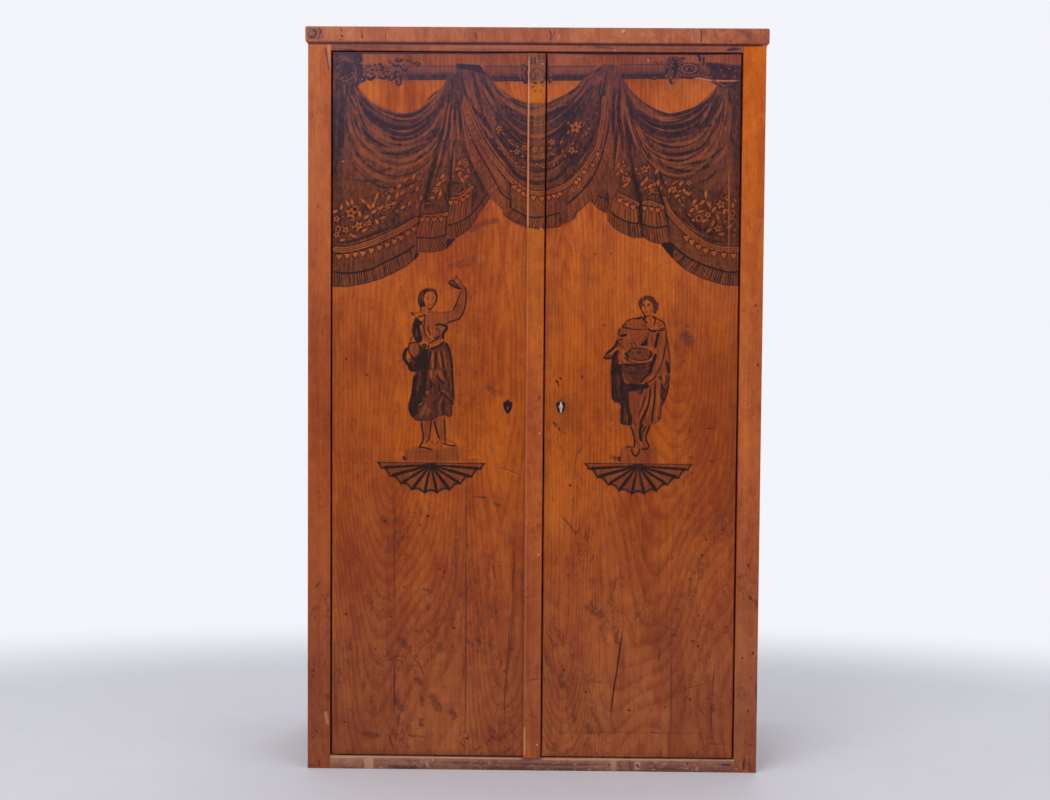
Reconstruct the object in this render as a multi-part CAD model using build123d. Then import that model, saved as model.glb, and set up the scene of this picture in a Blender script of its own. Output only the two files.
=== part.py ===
"""A two-door parlour cabinet in cherry veneer on softwood.

X runs across the front, the doors face -Y, Z is up, all in millimetres.
The origin is under the middle of the whole object's box, on the floor.
"""
from build123d import *
import math
import os

os.makedirs("parts", exist_ok=True)

# Carcase: sides, front frame, boards and cap
carcase_width = 940.0
carcase_height = 1509.0
carcase_depth = 420.0
stile_width = 47.0
top_rail_height = 16.5
bottom_rail_height = 27.0
frame_arris = 1.0
tenon_length = 18.0
tenon_thick = 8.0
tenon_shoulder = 3.5
side_thick = 20.0
tongue_thick = 6.0
tongue_depth = 6.0
cap_thick = 32.0
cap_overhang = 5.5
cap_arris = 4.0
cap_rebate_height = 14.0
bottom_board_thick = 22.0
housing_depth = 6.0
top_batten_depth = 24.0
door_stop = 8.0

# Back boards with lapped edges, nailed in a rebate
back_thick = 12.0
back_rebate = 8.0
back_board_count = 4
back_lap = 8.0
back_shrinkage = 1.0
nail_radius = 1.25
nail_length = 24.0
nail_head_radius = 3.0
nail_head_thick = 1.2
nail_inset = 6.0
nail_pitch = 240.0

# Shelves on bearers in sawtooth racks
rack_width = 30.0
rack_thick = 14.0
rack_setback = 4.0
rack_pitch = 60.0
notch_depth = 12.0
notch_wall = 8.0
notch_slope = 14.0
shelf_thick = 18.0
shelf_clearance = 1.5
shelf_setback = 8.0
shelf_notches = (5, 11, 17)

# Glue blocks under the cap
glue_block_size = 28.0
glue_block_length = 60.0
glue_block_count = 3

# Doors: a board core between clamps, faced with a veneer sheet
door_thick = 22.0
door_gap = 3.0
door_recess = 3.0
veneer_thick = 1.5
clamp_height = 41.0
clamp_tongue = 12.0
clamp_tongue_thick = 8.0
clamp_tongue_stop = 25.0
door_front_arris = 3.0
door_free_arris = 1.0

# Meeting strip on the left door
strip_width = 37.0
strip_proud = 7.0
strip_arris = 3.5
strip_top_gap = 1.0
strip_rail_gap = 0.5
strip_nick_offset = 4.0
strip_nick_width = 3.0
strip_nick_depth = 5.0
pin_radius = 1.5
pin_length = 16.0
pin_dome = 0.6
pin_offset = 11.5
pin_shares = (0.019, 0.293, 0.466, 0.755, 0.985)
empty_pin_share = 0.516
empty_pin_depth = 3.0

# Pivot hinges let into the door ends and the rails
pivot_inset = 8.0
pivot_radius = 3.0
pivot_engage = 10.0
pivot_end_gap = 1.0
running_clearance = 0.06
plate_length = 45.0
plate_width = 12.0
plate_thick = 2.5
plate_end = 5.5
collar_radius = 5.5
plate_screw_places = (15.0, 33.0)

# Countersunk screws, one pattern throughout
screw_head_radius = 3.2
screw_head_depth = 1.8
screw_radius = 1.6
screw_length = 16.0
screw_point = 5.0

# Escutcheons, a shield with a pointed head
shield_width = 18.0
shield_height = 32.0
shield_thick = 1.2
shoulder_share = 0.27
shoulder_sag_share = 0.06
flank_sag_share = 0.1
keyhole_offset = 55.0
keyhole_height = 763.5
keyhole_radius = 3.6
keyhole_slot_width = 4.2
false_slot_width = 2.4

# Let-in lock of the right door
lock_length = 64.0
lock_depth = 13.0
lock_wall = 1.5
lock_below = 16.5
lock_above = 24.0
selvedge_thick = 2.0
selvedge_lap = 14.0
lock_cap_lap = 9.0
lock_cap_thick = 1.5
lock_bolt_length = 58.0
lock_bolt_height = 11.0
lock_bolt_thick = 6.0
lock_bolt_rise = 10.0
lock_bolt_setback = 2.0
lock_throw = 12.0
slot_clearance = 0.2
stump_radius = 2.0
stump_inset = 10.5
stump_slot_clearance = 0.3
stump_slot_rise = 6.8
talon_width = 22.0
talon_depth = 4.0
keeper_thick = 2.0
keeper_lap = 12.0
keeper_slot_clearance = 0.6
keeper_pocket_depth = 8.0

# Key with its bow upright
key_stem_radius = 3.0
key_tip_gap = 0.3
bit_reach = 13.0
bit_thick = 3.0
bit_length = 8.5
bit_clearance = 0.4
key_collar_radius = 4.6
key_collar_thick = 3.0
key_collar_gap = 0.3
key_neck_radius = 2.5
key_neck_length = 12.0
bow_height = 28.0
bow_depth = 24.0
bow_rim = 4.6
bow_thick = 4.5
bow_arris = 1.3
bow_sink = 1.0

# Slide bolts inside the left door
bolt_offset = 16.0
bolt_width = 10.0
bolt_thick = 6.0
bolt_length = 100.0
bolt_clear = 3.0
bolt_throw = 14.0
bolt_plate_width = 24.0
bolt_plate_length = 90.0
bolt_plate_thick = 2.0
bolt_plate_start = 4.0
guide_height = 8.0
guide_wall = 3.0
guide_inset = 8.0
guide_clearance = 0.1
knob_radius = 5.0
knob_neck_radius = 3.0
knob_neck_length = 5.0
knob_height = 12.0
knob_gap = 0.3
bolt_screw_inset = 4.0
keep_length = 34.0
keep_thick = 2.0
keep_slot_clearance = 0.3
keep_screw_offset = 12.5

# One overrun serves every cut
over = 2.0

# Planes that the pieces share
key_reach = (shield_thick + key_collar_gap + key_collar_thick + key_neck_length
             + bow_depth - bow_sink - door_recess)
front_y = (key_reach - carcase_depth) / 2
back_y = front_y + carcase_depth
door_front = front_y + door_recess
core_front = door_front + veneer_thick
door_back = door_front + door_thick
frame_back = door_back
boards_y = back_y - back_thick
half_width = carcase_width / 2
side_inner = half_width - side_thick
stile_inner = half_width - stile_width
door_bottom = bottom_rail_height + door_gap
door_top = carcase_height - top_rail_height - door_gap
board_top = door_bottom + door_stop
batten_bottom = door_top - door_stop
batten_back = frame_back + top_batten_depth
hinge_edge = stile_inner - door_gap
pivot_x = hinge_edge - pivot_inset
pivot_y = door_front + pivot_inset
left_free = strip_width / 2
right_free = left_free + door_gap
shelf_front = batten_back + rack_setback
strip_bottom = bottom_rail_height + strip_rail_gap
strip_top = door_top - strip_top_gap


def block(x, y, z):
    """A box between two values on each axis, in either order."""
    spans = [sorted(pair) for pair in (x, y, z)]
    size = [high - low for low, high in spans]
    centre = [(high + low) / 2 for low, high in spans]
    return Pos(*centre) * Box(*size)


def turned(profile, at, direction):
    """A profile of radius and distance, turned about a line from a point."""
    outline = Polyline(*[(radius, 0, along) for radius, along in profile], close=True)
    return Plane(origin=at, z_dir=direction).location * revolve(make_face(outline), Axis.Z)


def rod(at, direction, length, radius):
    """A round bar."""
    return extrude(Plane(origin=at, z_dir=direction) * Circle(radius), length)


def screw(at, direction):
    """A countersunk screw whose head is flush at a point."""
    profile = [(0, 0), (screw_head_radius, 0), (screw_radius, screw_head_depth),
               (screw_radius, screw_length - screw_point), (0, screw_length)]
    return turned(profile, at, direction)


def cut(piece, tools):
    """A piece with each tool taken away."""
    for tool in tools:
        piece = piece - tool
    return piece


def upright_edge(piece, x, y):
    """The vertical edge of a piece nearest to a place."""
    middle = (x, y, piece.center().Z)
    return piece.edges().filter_by(Axis.Z).sort_by_distance(middle)[0]


def round_upright(piece, places):
    """Round vertical edges, each given as x, y and radius."""
    for x, y, radius in places:
        piece = fillet(upright_edge(piece, x, y), radius)
    return piece


def save(name, *solids):
    """Write one node."""
    shape = solids[0] if len(solids) == 1 else Compound(children=list(solids))
    shape.label = name
    export_step(shape, "parts/" + name + ".step")


def pivot_span(side):
    """The span across X of a hinge plate."""
    return (side * (pivot_x + plate_end), side * (pivot_x + plate_end - plate_length))


def pivot_plate(side, face_z, away):
    """A plate let in behind a face whose outside lies in direction away."""
    return block(pivot_span(side), (pivot_y - plate_width / 2, pivot_y + plate_width / 2),
                 (face_z, face_z - away * plate_thick))


def pivot_screws(side, face_z, away):
    """The screws of a hinge plate."""
    return [screw((side * (pivot_x + plate_end - place), pivot_y, face_z), (0, 0, -away))
            for place in plate_screw_places]


def pivot_pin(side, face_z, away, radius, length):
    """A hinge pin, or the bore for one, standing out of a face."""
    return rod((side * pivot_x, pivot_y, face_z), (0, 0, away), length, radius)


def door_hinge(side, face_z, away):
    """The moving half of a hinge: plate, pin and, below, the collar that carries the door."""
    plate = cut(pivot_plate(side, face_z, away), pivot_screws(side, face_z, away))
    pin = pivot_pin(side, face_z - away * plate_thick / 2, away, pivot_radius,
                    plate_thick / 2 + door_gap + pivot_engage)
    if away < 0:
        pin = pin + pivot_pin(side, face_z, away, collar_radius, door_gap)
    return plate + pin


def hinge_socket(side, face_z, away):
    """The fixed half of a hinge, let into a rail."""
    plate = cut(pivot_plate(side, face_z, away), pivot_screws(side, face_z, away))
    bore = pivot_pin(side, face_z + away * over, -away, pivot_radius + running_clearance,
                     plate_thick + 2 * over)
    return plate - bore


def socket_cuts(side, face_z, away):
    """What a rail loses to a hinge socket."""
    bore = pivot_pin(side, face_z, -away, pivot_radius + running_clearance,
                     pivot_engage + pivot_end_gap)
    return [pivot_plate(side, face_z, away), bore] + pivot_screws(side, face_z, away)


def tenon(side, low, high):
    """A rail's tenon in a stile, between two heights."""
    middle = (front_y + frame_back) / 2
    return block((side * stile_inner, side * (stile_inner + tenon_length)),
                 (middle - tenon_thick / 2, middle + tenon_thick / 2),
                 (low + tenon_shoulder, high - tenon_shoulder))


def rail_levels():
    """The bottom and top rails as low and high values."""
    return ((0, bottom_rail_height), (carcase_height - top_rail_height, carcase_height))


def side_tongue(side):
    """The tongue that joins a side to its stile."""
    middle = half_width - side_thick / 2
    return block((side * (middle - tongue_thick / 2), side * (middle + tongue_thick / 2)),
                 (frame_back - tongue_depth, frame_back), (0, carcase_height))


def bottom_board_blank():
    """The bottom board with the parts that enter the sides."""
    reach = side_inner + housing_depth
    return block((-reach, reach), (frame_back, boards_y),
                 (board_top - bottom_board_thick, board_top))


def back_board(index):
    """One back board with a lap along each inner edge."""
    span = 2 * (side_inner + back_rebate)
    pitch = span / back_board_count
    left = -span / 2 + index * pitch
    right = left + pitch
    middle = boards_y + back_thick / 2
    height = (0, carcase_height + cap_rebate_height)
    board = block((left, right), (boards_y, back_y), height)
    if index > 0:
        board = board - block((left - over, left + back_shrinkage), (boards_y - over, back_y + over), height)
        board = board - block((left, left + back_lap + back_shrinkage), (boards_y - over, middle), height)
    if index < back_board_count - 1:
        board = board + block((right - over, right + back_lap), (boards_y, middle), height)
    return board


def back_nails():
    """Nails along the outer edges, the cap and the bottom board."""
    span = 2 * (side_inner + back_rebate)
    pitch = span / back_board_count
    places = []
    edge = span / 2 - back_rebate / 2
    rows = math.floor((carcase_height - 2 * nail_inset) / nail_pitch)
    for row in range(1, rows + 1):
        places += [(-edge, row * nail_pitch), (edge, row * nail_pitch)]
    levels = (board_top - bottom_board_thick / 2, carcase_height + cap_rebate_height - nail_inset)
    for index in range(back_board_count):
        middle = -span / 2 + (index + 1 / 2) * pitch
        for level in levels:
            places += [(middle - pitch / 4, level), (middle + pitch / 4, level)]
    profile = [(0, 0), (nail_head_radius, 0), (nail_head_radius, nail_head_thick),
               (nail_radius, nail_head_thick), (nail_radius, nail_length), (0, nail_length)]
    return [turned(profile, (x, back_y, z), (0, -1, 0)) for x, z in places]


def rack_outline():
    """Heights of the notch ledges of a rack."""
    height = batten_bottom - board_top
    count = math.floor((height - rack_pitch / 2) / rack_pitch)
    return [board_top + rack_pitch / 2 + index * rack_pitch for index in range(count)]


def rack(side, edge_y, inward):
    """A sawtooth rack whose notches are cut in from edge_y against direction inward."""
    points = [(edge_y - inward * rack_width, board_top), (edge_y, board_top)]
    for ledge in rack_outline():
        deep = edge_y - inward * notch_depth
        points += [(edge_y, ledge), (deep, ledge), (deep, ledge + notch_wall),
                   (edge_y, ledge + notch_wall + notch_slope)]
    points += [(edge_y, batten_bottom), (edge_y - inward * rack_width, batten_bottom)]
    outline = Polyline(*[(side * (side_inner - rack_thick), y, z) for y, z in points], close=True)
    return extrude(make_face(outline), amount=rack_thick, dir=(side, 0, 0))


def rack_edges():
    """The notched edge of the front racks and of the back racks."""
    return shelf_front + rack_width, boards_y - rack_width


def bearer(side, ledge):
    """A bearer whose ends fit the notches of two racks."""
    front_edge, back_edge = rack_edges()
    low = front_edge - notch_depth
    high = back_edge + notch_depth
    top = ledge + notch_wall + notch_slope
    points = [(low, ledge), (high, ledge), (high, ledge + notch_wall), (back_edge, top),
              (front_edge, top), (low, ledge + notch_wall)]
    outline = Polyline(*[(side * (side_inner - rack_thick), y, z) for y, z in points], close=True)
    return extrude(make_face(outline), amount=rack_thick, dir=(side, 0, 0))


def shelf(ledge):
    """A loose shelf, cut out at its corners round the racks."""
    low = ledge + notch_wall + notch_slope
    reach = side_inner - shelf_clearance
    front = shelf_front - shelf_setback
    back = boards_y - shelf_clearance
    level = (low, low + shelf_thick)
    front_edge, back_edge = rack_edges()
    board = block((-reach, reach), (front, back), level)
    corner_x = side_inner - rack_thick - shelf_clearance
    for side in (-1, 1):
        for y in ((front - over, front_edge + shelf_clearance), (back_edge - shelf_clearance, back + over)):
            board = board - block((side * corner_x, side * (reach + over)), y, level)
    return board


def glue_block(side, index):
    """A three-cornered block between a side and the cap."""
    front_edge, back_edge = rack_edges()
    pitch = (back_edge - front_edge) / glue_block_count
    middle = front_edge + (index + 1 / 2) * pitch
    x = side * side_inner
    z = carcase_height
    outline = Polyline((x, middle - glue_block_length / 2, z),
                       (x - side * glue_block_size, middle - glue_block_length / 2, z),
                       (x, middle - glue_block_length / 2, z - glue_block_size), close=True)
    return extrude(make_face(outline), amount=glue_block_length, dir=(0, 1, 0))


def cap():
    """The cap board, rounded along its front and ends and rebated for the back boards."""
    reach = half_width + cap_overhang
    top = carcase_height + cap_thick
    board = block((-reach, reach), (front_y - cap_overhang, back_y), (carcase_height, top))
    front_edges = board.faces().sort_by(Axis.Y)[0].edges()
    end_edges = board.faces().sort_by(Axis.X)[0].edges() + board.faces().sort_by(Axis.X)[-1].edges()
    behind = board.faces().sort_by(Axis.Y)[-1].edges()
    edges = [edge for edge in front_edges + end_edges.filter_by(Axis.Y) if edge not in behind]
    board = fillet(edges, cap_arris)
    rebate = block((-side_inner - back_rebate, side_inner + back_rebate), (boards_y, back_y + over),
                   (carcase_height - over, carcase_height + cap_rebate_height))
    return board - rebate


def shield(x, front):
    """A shield-shaped plate whose outer face is at front."""
    half = shield_width / 2
    tip = (0, shield_height / 2)
    shoulder = (half, shoulder_share * shield_height)
    foot = (0, -shield_height / 2)
    right = [SagittaArc(tip, shoulder, -shoulder_sag_share * shield_height),
             SagittaArc(shoulder, foot, flank_sag_share * shield_height)]
    left = [mirror(edge, about=Plane.YZ) for edge in right]
    face = Plane(origin=(x, front + shield_thick, keyhole_height), x_dir=(1, 0, 0), z_dir=(0, -1, 0))
    return extrude(face * make_face(right + left), shield_thick)


def keyhole(x, width, radius, reach, y):
    """A keyhole through everything between two values of y."""
    low, high = sorted(y)
    drop = block((x - width / 2, x + width / 2), y, (keyhole_height - reach, keyhole_height))
    return rod((x, low, keyhole_height), (0, 1, 0), high - low, radius) + drop


def lock_span():
    """The lock case across X and in height."""
    x = (right_free, right_free + lock_length)
    z = (keyhole_height - lock_below, keyhole_height + lock_above)
    return x, z


def lock_planes():
    """The front of the lock case, the front of its cavity and the back of the cavity."""
    front = door_back - lock_depth
    return front, front + lock_wall, door_back - lock_cap_thick


def lock_bolt():
    """The lock's bolt, drawn back, with its talon notch and the slot for its stump."""
    front, cavity, behind = lock_planes()
    y = (cavity + lock_bolt_setback, cavity + lock_bolt_setback + lock_bolt_thick)
    low = keyhole_height + lock_bolt_rise
    bar = block((right_free, right_free + lock_bolt_length), y, (low, low + lock_bolt_height))
    talon_middle = keyhole_offset + lock_throw / 2
    bar = bar - block((talon_middle - talon_width / 2, talon_middle + talon_width / 2), y,
                      (low - over, low + talon_depth))
    radius = stump_radius + stump_slot_clearance
    x = right_free + stump_inset
    z = low + stump_slot_rise
    slot = block((x, x + lock_throw), y, (z - radius, z + radius))
    for end in (x, x + lock_throw):
        slot = slot + rod((end, y[0], z), (0, 1, 0), lock_bolt_thick, radius)
    return bar - slot


def lock_bolt_passage(clearance):
    """The space that the bolt's head passes through."""
    front, cavity, behind = lock_planes()
    low = keyhole_height + lock_bolt_rise
    return block((left_free - keeper_pocket_depth - keeper_thick, right_free + selvedge_thick + over),
                 (cavity + lock_bolt_setback - clearance,
                  cavity + lock_bolt_setback + lock_bolt_thick + clearance),
                 (low - clearance, low + lock_bolt_height + clearance))


def selvedge_blank():
    """The lock's plate in the door's free edge."""
    x, z = lock_span()
    front, cavity, behind = lock_planes()
    return block((right_free, right_free + selvedge_thick), (front, door_back),
                 (z[0] - selvedge_lap, z[1] + selvedge_lap))


def lock_case():
    """The case: a tray, the edge plate and the stump that the bolt slides on."""
    x, z = lock_span()
    front, cavity, behind = lock_planes()
    tray = block(x, (front, behind), z)
    hollow = block((x[0] + selvedge_thick, x[1] - lock_wall), (cavity, behind + over),
                   (z[0] + lock_wall, z[1] - lock_wall))
    stump = rod((right_free + stump_inset, cavity, keyhole_height + lock_bolt_rise + stump_slot_rise),
                (0, 1, 0), behind - cavity, stump_radius)
    case = (tray - hollow) + selvedge_blank() + stump
    case = case - keyhole(keyhole_offset, bit_thick + 2 * bit_clearance,
                          key_stem_radius + running_clearance, bit_reach + bit_clearance,
                          (front - over, cavity))
    case = case - lock_bolt_passage(slot_clearance)
    return cut(case, edge_screws(right_free, -1, z))


def edge_screws(x, out, z):
    """Two screws through a plate in a door's free edge, above and below a span."""
    front, cavity, behind = lock_planes()
    middle = (front + door_back) / 2
    return [screw((x, middle, level), (-out, 0, 0))
            for level in (z[0] - selvedge_lap / 2, z[1] + selvedge_lap / 2)]


def lock_cap_blank():
    """The lock's cover plate, flush with the inside of the door."""
    x, z = lock_span()
    front, cavity, behind = lock_planes()
    return block((x[0] + selvedge_thick, x[1] + lock_cap_lap), (behind, door_back),
                 (z[0] - lock_cap_lap, z[1] + lock_cap_lap))


def lock_cap_screws():
    """Four screws through the laps of the cover plate."""
    x, z = lock_span()
    inset = lock_cap_lap / 2
    columns = (x[0] + selvedge_thick + lock_cap_lap, x[1] + inset)
    return [screw((column, door_back, level), (0, -1, 0))
            for column in columns for level in (z[0] - inset, z[1] + inset)]


def lock_cap():
    """The cover plate with the bore that steadies the key's tip."""
    front, cavity, behind = lock_planes()
    bore = rod((keyhole_offset, behind - over, keyhole_height), (0, 1, 0),
               lock_cap_thick + 2 * over, key_stem_radius + running_clearance)
    return cut(lock_cap_blank() - bore, lock_cap_screws())


def key():
    """A key with an oval bow, a collar, a stem and a plain bit."""
    front, cavity, behind = lock_planes()
    tip = door_back - key_tip_gap
    collar_back = door_front - shield_thick - key_collar_gap
    stem = tip - collar_back
    collar_end = stem + key_collar_thick
    neck_end = collar_end + key_neck_length
    profile = [(0, 0), (key_stem_radius, 0), (key_stem_radius, stem), (key_collar_radius, stem),
               (key_collar_radius, collar_end), (key_neck_radius, collar_end),
               (key_neck_radius, neck_end), (0, neck_end)]
    body = turned(profile, (keyhole_offset, tip, keyhole_height), (0, -1, 0))
    bit_back = behind - bit_clearance
    bit = block((keyhole_offset - bit_thick / 2, keyhole_offset + bit_thick / 2),
                (bit_back - bit_length, bit_back), (keyhole_height - bit_reach, keyhole_height))
    bow_y = tip - neck_end - bow_depth / 2 + bow_sink
    plane = Plane(origin=(keyhole_offset, bow_y, keyhole_height), x_dir=(0, -1, 0), z_dir=(1, 0, 0))
    oval = Ellipse(bow_depth / 2, bow_height / 2)
    oval = oval - Ellipse(bow_depth / 2 - bow_rim, bow_height / 2 - bow_rim)
    bow = extrude(plane * oval, amount=bow_thick / 2, both=True)
    bow = fillet(bow.edges().filter_by(GeomType.ELLIPSE), bow_arris)
    return body + bit + bow


def keeper_blank():
    """The keeper plate in the left door's free edge."""
    low = keyhole_height + lock_bolt_rise
    front, cavity, behind = lock_planes()
    return block((left_free - keeper_thick, left_free), (front, door_back),
                 (low - keeper_lap, low + lock_bolt_height + keeper_lap))


def keeper_screws():
    """The two screws of the keeper."""
    low = keyhole_height + lock_bolt_rise
    front, cavity, behind = lock_planes()
    middle = (front + door_back) / 2
    inset = keeper_lap / 2
    return [screw((left_free, middle, level), (-1, 0, 0))
            for level in (low - inset, low + lock_bolt_height + inset)]


def bolt_frame(away):
    """Stop face, tip and plate start of a slide bolt that leaves the door in direction away."""
    edge = board_top if away < 0 else batten_bottom
    tip = edge - away * bolt_clear
    return edge, tip, tip - away * bolt_plate_start


def bolt_centre():
    """The middle of a slide bolt in X and Y."""
    return left_free - bolt_offset, door_back + bolt_plate_thick + guide_clearance + bolt_thick / 2


def guide_spans(away):
    """The two guides of a slide bolt as pairs of heights."""
    edge, tip, start = bolt_frame(away)
    first = start - away * guide_inset
    last = start - away * (bolt_plate_length - guide_inset)
    return (first, first - away * guide_height), (last, last + away * guide_height)


def bolt_plate_screws(away):
    """The screws at the ends of a slide bolt's plate."""
    x, y = bolt_centre()
    edge, tip, start = bolt_frame(away)
    side = bolt_plate_width / 2 - bolt_screw_inset
    return [screw((x - side, door_back + bolt_plate_thick, start - away * bolt_screw_inset), (0, -1, 0)),
            screw((x + side, door_back + bolt_plate_thick, start - away * bolt_screw_inset), (0, -1, 0)),
            screw((x - side, door_back + bolt_plate_thick,
                   start - away * (bolt_plate_length - bolt_screw_inset)), (0, -1, 0)),
            screw((x + side, door_back + bolt_plate_thick,
                   start - away * (bolt_plate_length - bolt_screw_inset)), (0, -1, 0))]


def bolt_plate(away):
    """The plate of a slide bolt with its two guides."""
    x, y = bolt_centre()
    edge, tip, start = bolt_frame(away)
    half = bolt_plate_width / 2
    plate = block((x - half, x + half), (door_back, door_back + bolt_plate_thick),
                  (start, start - away * bolt_plate_length))
    reach = bolt_width / 2 + guide_clearance
    low = door_back + bolt_plate_thick
    high = y + bolt_thick / 2 + guide_clearance
    for span in guide_spans(away):
        plate = plate + block((x - reach - guide_wall, x + reach + guide_wall), (low, high + guide_wall), span)
    plate = plate - block((x - reach, x + reach), (low, high),
                          (edge, start - away * (bolt_plate_length + over)))
    return cut(plate, bolt_plate_screws(away))


def slide_bolt(away):
    """The bolt itself with a turned knob, drawn back against its inner guide."""
    x, y = bolt_centre()
    edge, tip, start = bolt_frame(away)
    bar = block((x - bolt_width / 2, x + bolt_width / 2), (y - bolt_thick / 2, y + bolt_thick / 2),
                (tip, tip - away * bolt_length))
    inner_guide = guide_spans(away)[1][1]
    knob_z = inner_guide + away * (knob_gap + knob_radius)
    profile = [(0, 0), (knob_neck_radius, 0), (knob_neck_radius, knob_neck_length),
               (knob_radius, knob_neck_length + knob_gap), (knob_radius, knob_height - knob_radius / 2),
               (knob_radius / 2, knob_height), (0, knob_height)]
    return bar + turned(profile, (x, y + bolt_thick / 2, knob_z), (0, 1, 0))


def keep_blank(away):
    """The plate that a slide bolt enters, let into the board above or below."""
    x, y = bolt_centre()
    edge, tip, start = bolt_frame(away)
    return block((x - keep_length / 2, x + keep_length / 2), (door_back, 2 * y - door_back),
                 (edge, edge + away * keep_thick))


def keep_hole(away, depth, clearance):
    """The hole that a slide bolt enters."""
    x, y = bolt_centre()
    edge, tip, start = bolt_frame(away)
    return block((x - bolt_width / 2 - clearance, x + bolt_width / 2 + clearance),
                 (y - bolt_thick / 2 - clearance, y + bolt_thick / 2 + clearance),
                 (edge - away * over, edge + away * depth))


def keep_screws(away):
    """The screws of a keep."""
    x, y = bolt_centre()
    edge, tip, start = bolt_frame(away)
    return [screw((x + sign * keep_screw_offset, y, edge), (0, 0, away)) for sign in (-1, 1)]


def door_blank(side, free):
    """The whole door in one piece, rounded at its hinge edge so that it can swing."""
    edge = side * hinge_edge
    meeting = side * free
    blank = block((edge, meeting), (door_front, door_back), (door_bottom, door_top))
    return round_upright(blank, [(edge, door_front, door_front_arris), (edge, door_back, pivot_inset),
                                 (meeting, door_front, door_free_arris),
                                 (meeting, door_back, door_free_arris)])


def door_slab(side, free, y, z):
    """The part of a door between two values of y and z."""
    wide = (side * (hinge_edge + over), side * (free - over))
    return door_blank(side, free) & block(wide, y, z)


def door_tongue(side, free, low, high):
    """A stopped tongue at the end of a door's core."""
    middle = (core_front + door_back) / 2
    return block((side * (hinge_edge - clamp_tongue_stop), side * (free + clamp_tongue_stop)),
                 (middle - clamp_tongue_thick / 2, middle + clamp_tongue_thick / 2), (low, high))


def door_wood(side, free, cuts):
    """Core, lower clamp, upper clamp and veneer of one door."""
    low = door_bottom + clamp_height
    high = door_top - clamp_height
    depth = (core_front, door_back)
    lower_tongue = door_tongue(side, free, low - clamp_tongue, low)
    upper_tongue = door_tongue(side, free, high, high + clamp_tongue)
    core = door_slab(side, free, depth, (low, high)) + lower_tongue + upper_tongue
    lower = door_slab(side, free, depth, (door_bottom - over, low)) - lower_tongue
    upper = door_slab(side, free, depth, (high, door_top + over)) - upper_tongue
    veneer = door_slab(side, free, (door_front - over, core_front), (door_bottom - over, door_top + over))
    lower = cut(lower, [pivot_plate(side, door_bottom, -1)] + pivot_screws(side, door_bottom, -1))
    upper = cut(upper, [pivot_plate(side, door_top, 1)] + pivot_screws(side, door_top, 1))
    return cut(core, cuts), cut(lower, cuts), cut(upper, cuts), cut(veneer, cuts)


def strip_height(share):
    """The height of a place on the meeting strip."""
    return strip_bottom + share * (strip_top - strip_bottom)


def strip_pin(share):
    """A small domed pin in the meeting strip."""
    front = door_front - strip_proud - pin_dome
    profile = [(0, 0), (pin_radius - pin_dome, 0), (pin_radius, pin_dome),
               (pin_radius, pin_length - pin_radius), (0, pin_length)]
    return turned(profile, (pin_offset, front, strip_height(share)), (0, 1, 0))


def meeting_strip():
    """The moulded strip that covers the left door's free edge."""
    half = strip_width / 2
    front = door_front - strip_proud
    bar = block((-half, half), (front, door_front), (strip_bottom, strip_top))
    bar = round_upright(bar, [(-half, front, strip_arris), (half, front, strip_arris)])
    nick = Polyline((strip_nick_offset - strip_nick_width / 2, front, strip_top),
                    (strip_nick_offset + strip_nick_width / 2, front, strip_top),
                    (strip_nick_offset, front, strip_top - strip_nick_depth), close=True)
    bar = bar - extrude(make_face(nick), amount=strip_nick_width, dir=(0, 1, 0))
    empty = rod((pin_offset, front - over, strip_height(empty_pin_share)), (0, 1, 0),
                over + empty_pin_depth, pin_radius)
    return cut(bar - empty, [strip_pin(share) for share in pin_shares])


def make_frame():
    """Stiles, rails and sides."""
    sockets = {-1: [], 1: []}
    for side in (-1, 1):
        sockets[-1] += socket_cuts(side, bottom_rail_height, 1)
        sockets[1] += socket_cuts(side, carcase_height - top_rail_height, -1)
    nails = back_nails()
    for side, word in ((-1, "left"), (1, "right")):
        stile = block((side * stile_inner, side * half_width), (front_y, frame_back), (0, carcase_height))
        stile = round_upright(stile, [(side * stile_inner, front_y, frame_arris),
                                      (side * half_width, front_y, frame_arris)])
        stile = cut(stile, [tenon(side, low, high) for low, high in rail_levels()] + [side_tongue(side)])
        save("stile_" + word, stile)
        panel = block((side * side_inner, side * half_width), (frame_back, back_y), (0, carcase_height))
        rebate = block((side * (side_inner - over), side * (side_inner + back_rebate)),
                       (boards_y, back_y + over), (-over, carcase_height + over))
        panel = panel - rebate - bottom_board_blank() + side_tongue(side)
        save("side_" + word, cut(panel, nails))
    names = ((-1, "bottom_rail"), (1, "top_rail"))
    for (level, name), (low, high) in zip(names, rail_levels()):
        rail = block((-stile_inner, stile_inner), (front_y, frame_back), (low, high))
        open_edge = high if level < 0 else low
        edge = rail.edges().filter_by(Axis.X).sort_by_distance((0, front_y, open_edge))[0]
        rail = fillet(edge, frame_arris)
        rail = rail + tenon(-1, low, high) + tenon(1, low, high)
        save(name, cut(rail, sockets[level]))


def make_boards():
    """Cap, bottom board, top batten, back boards, glue blocks and their fastenings."""
    nails = back_nails()
    save("cap_board", cut(cap(), nails))
    seat = [keep_blank(-1), keep_hole(-1, bolt_throw, keep_slot_clearance)] + keep_screws(-1)
    save("bottom_board", cut(bottom_board_blank(), nails + seat))
    batten = block((-side_inner, side_inner), (frame_back, batten_back), (batten_bottom, carcase_height))
    seat = [keep_blank(1), keep_hole(1, bolt_throw, keep_slot_clearance)] + keep_screws(1)
    save("top_batten", cut(batten, seat))
    for index in range(back_board_count):
        save("back_board_" + str(index + 1), cut(back_board(index), nails))
    save("back_nails", *nails)
    save("glue_blocks", *[glue_block(side, index) for side in (-1, 1) for index in range(glue_block_count)])
    for away, word in ((-1, "bottom"), (1, "top")):
        keep = keep_blank(away) - keep_hole(away, keep_thick + over, keep_slot_clearance)
        save("bolt_keep_" + word, cut(keep, keep_screws(away)))


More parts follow.
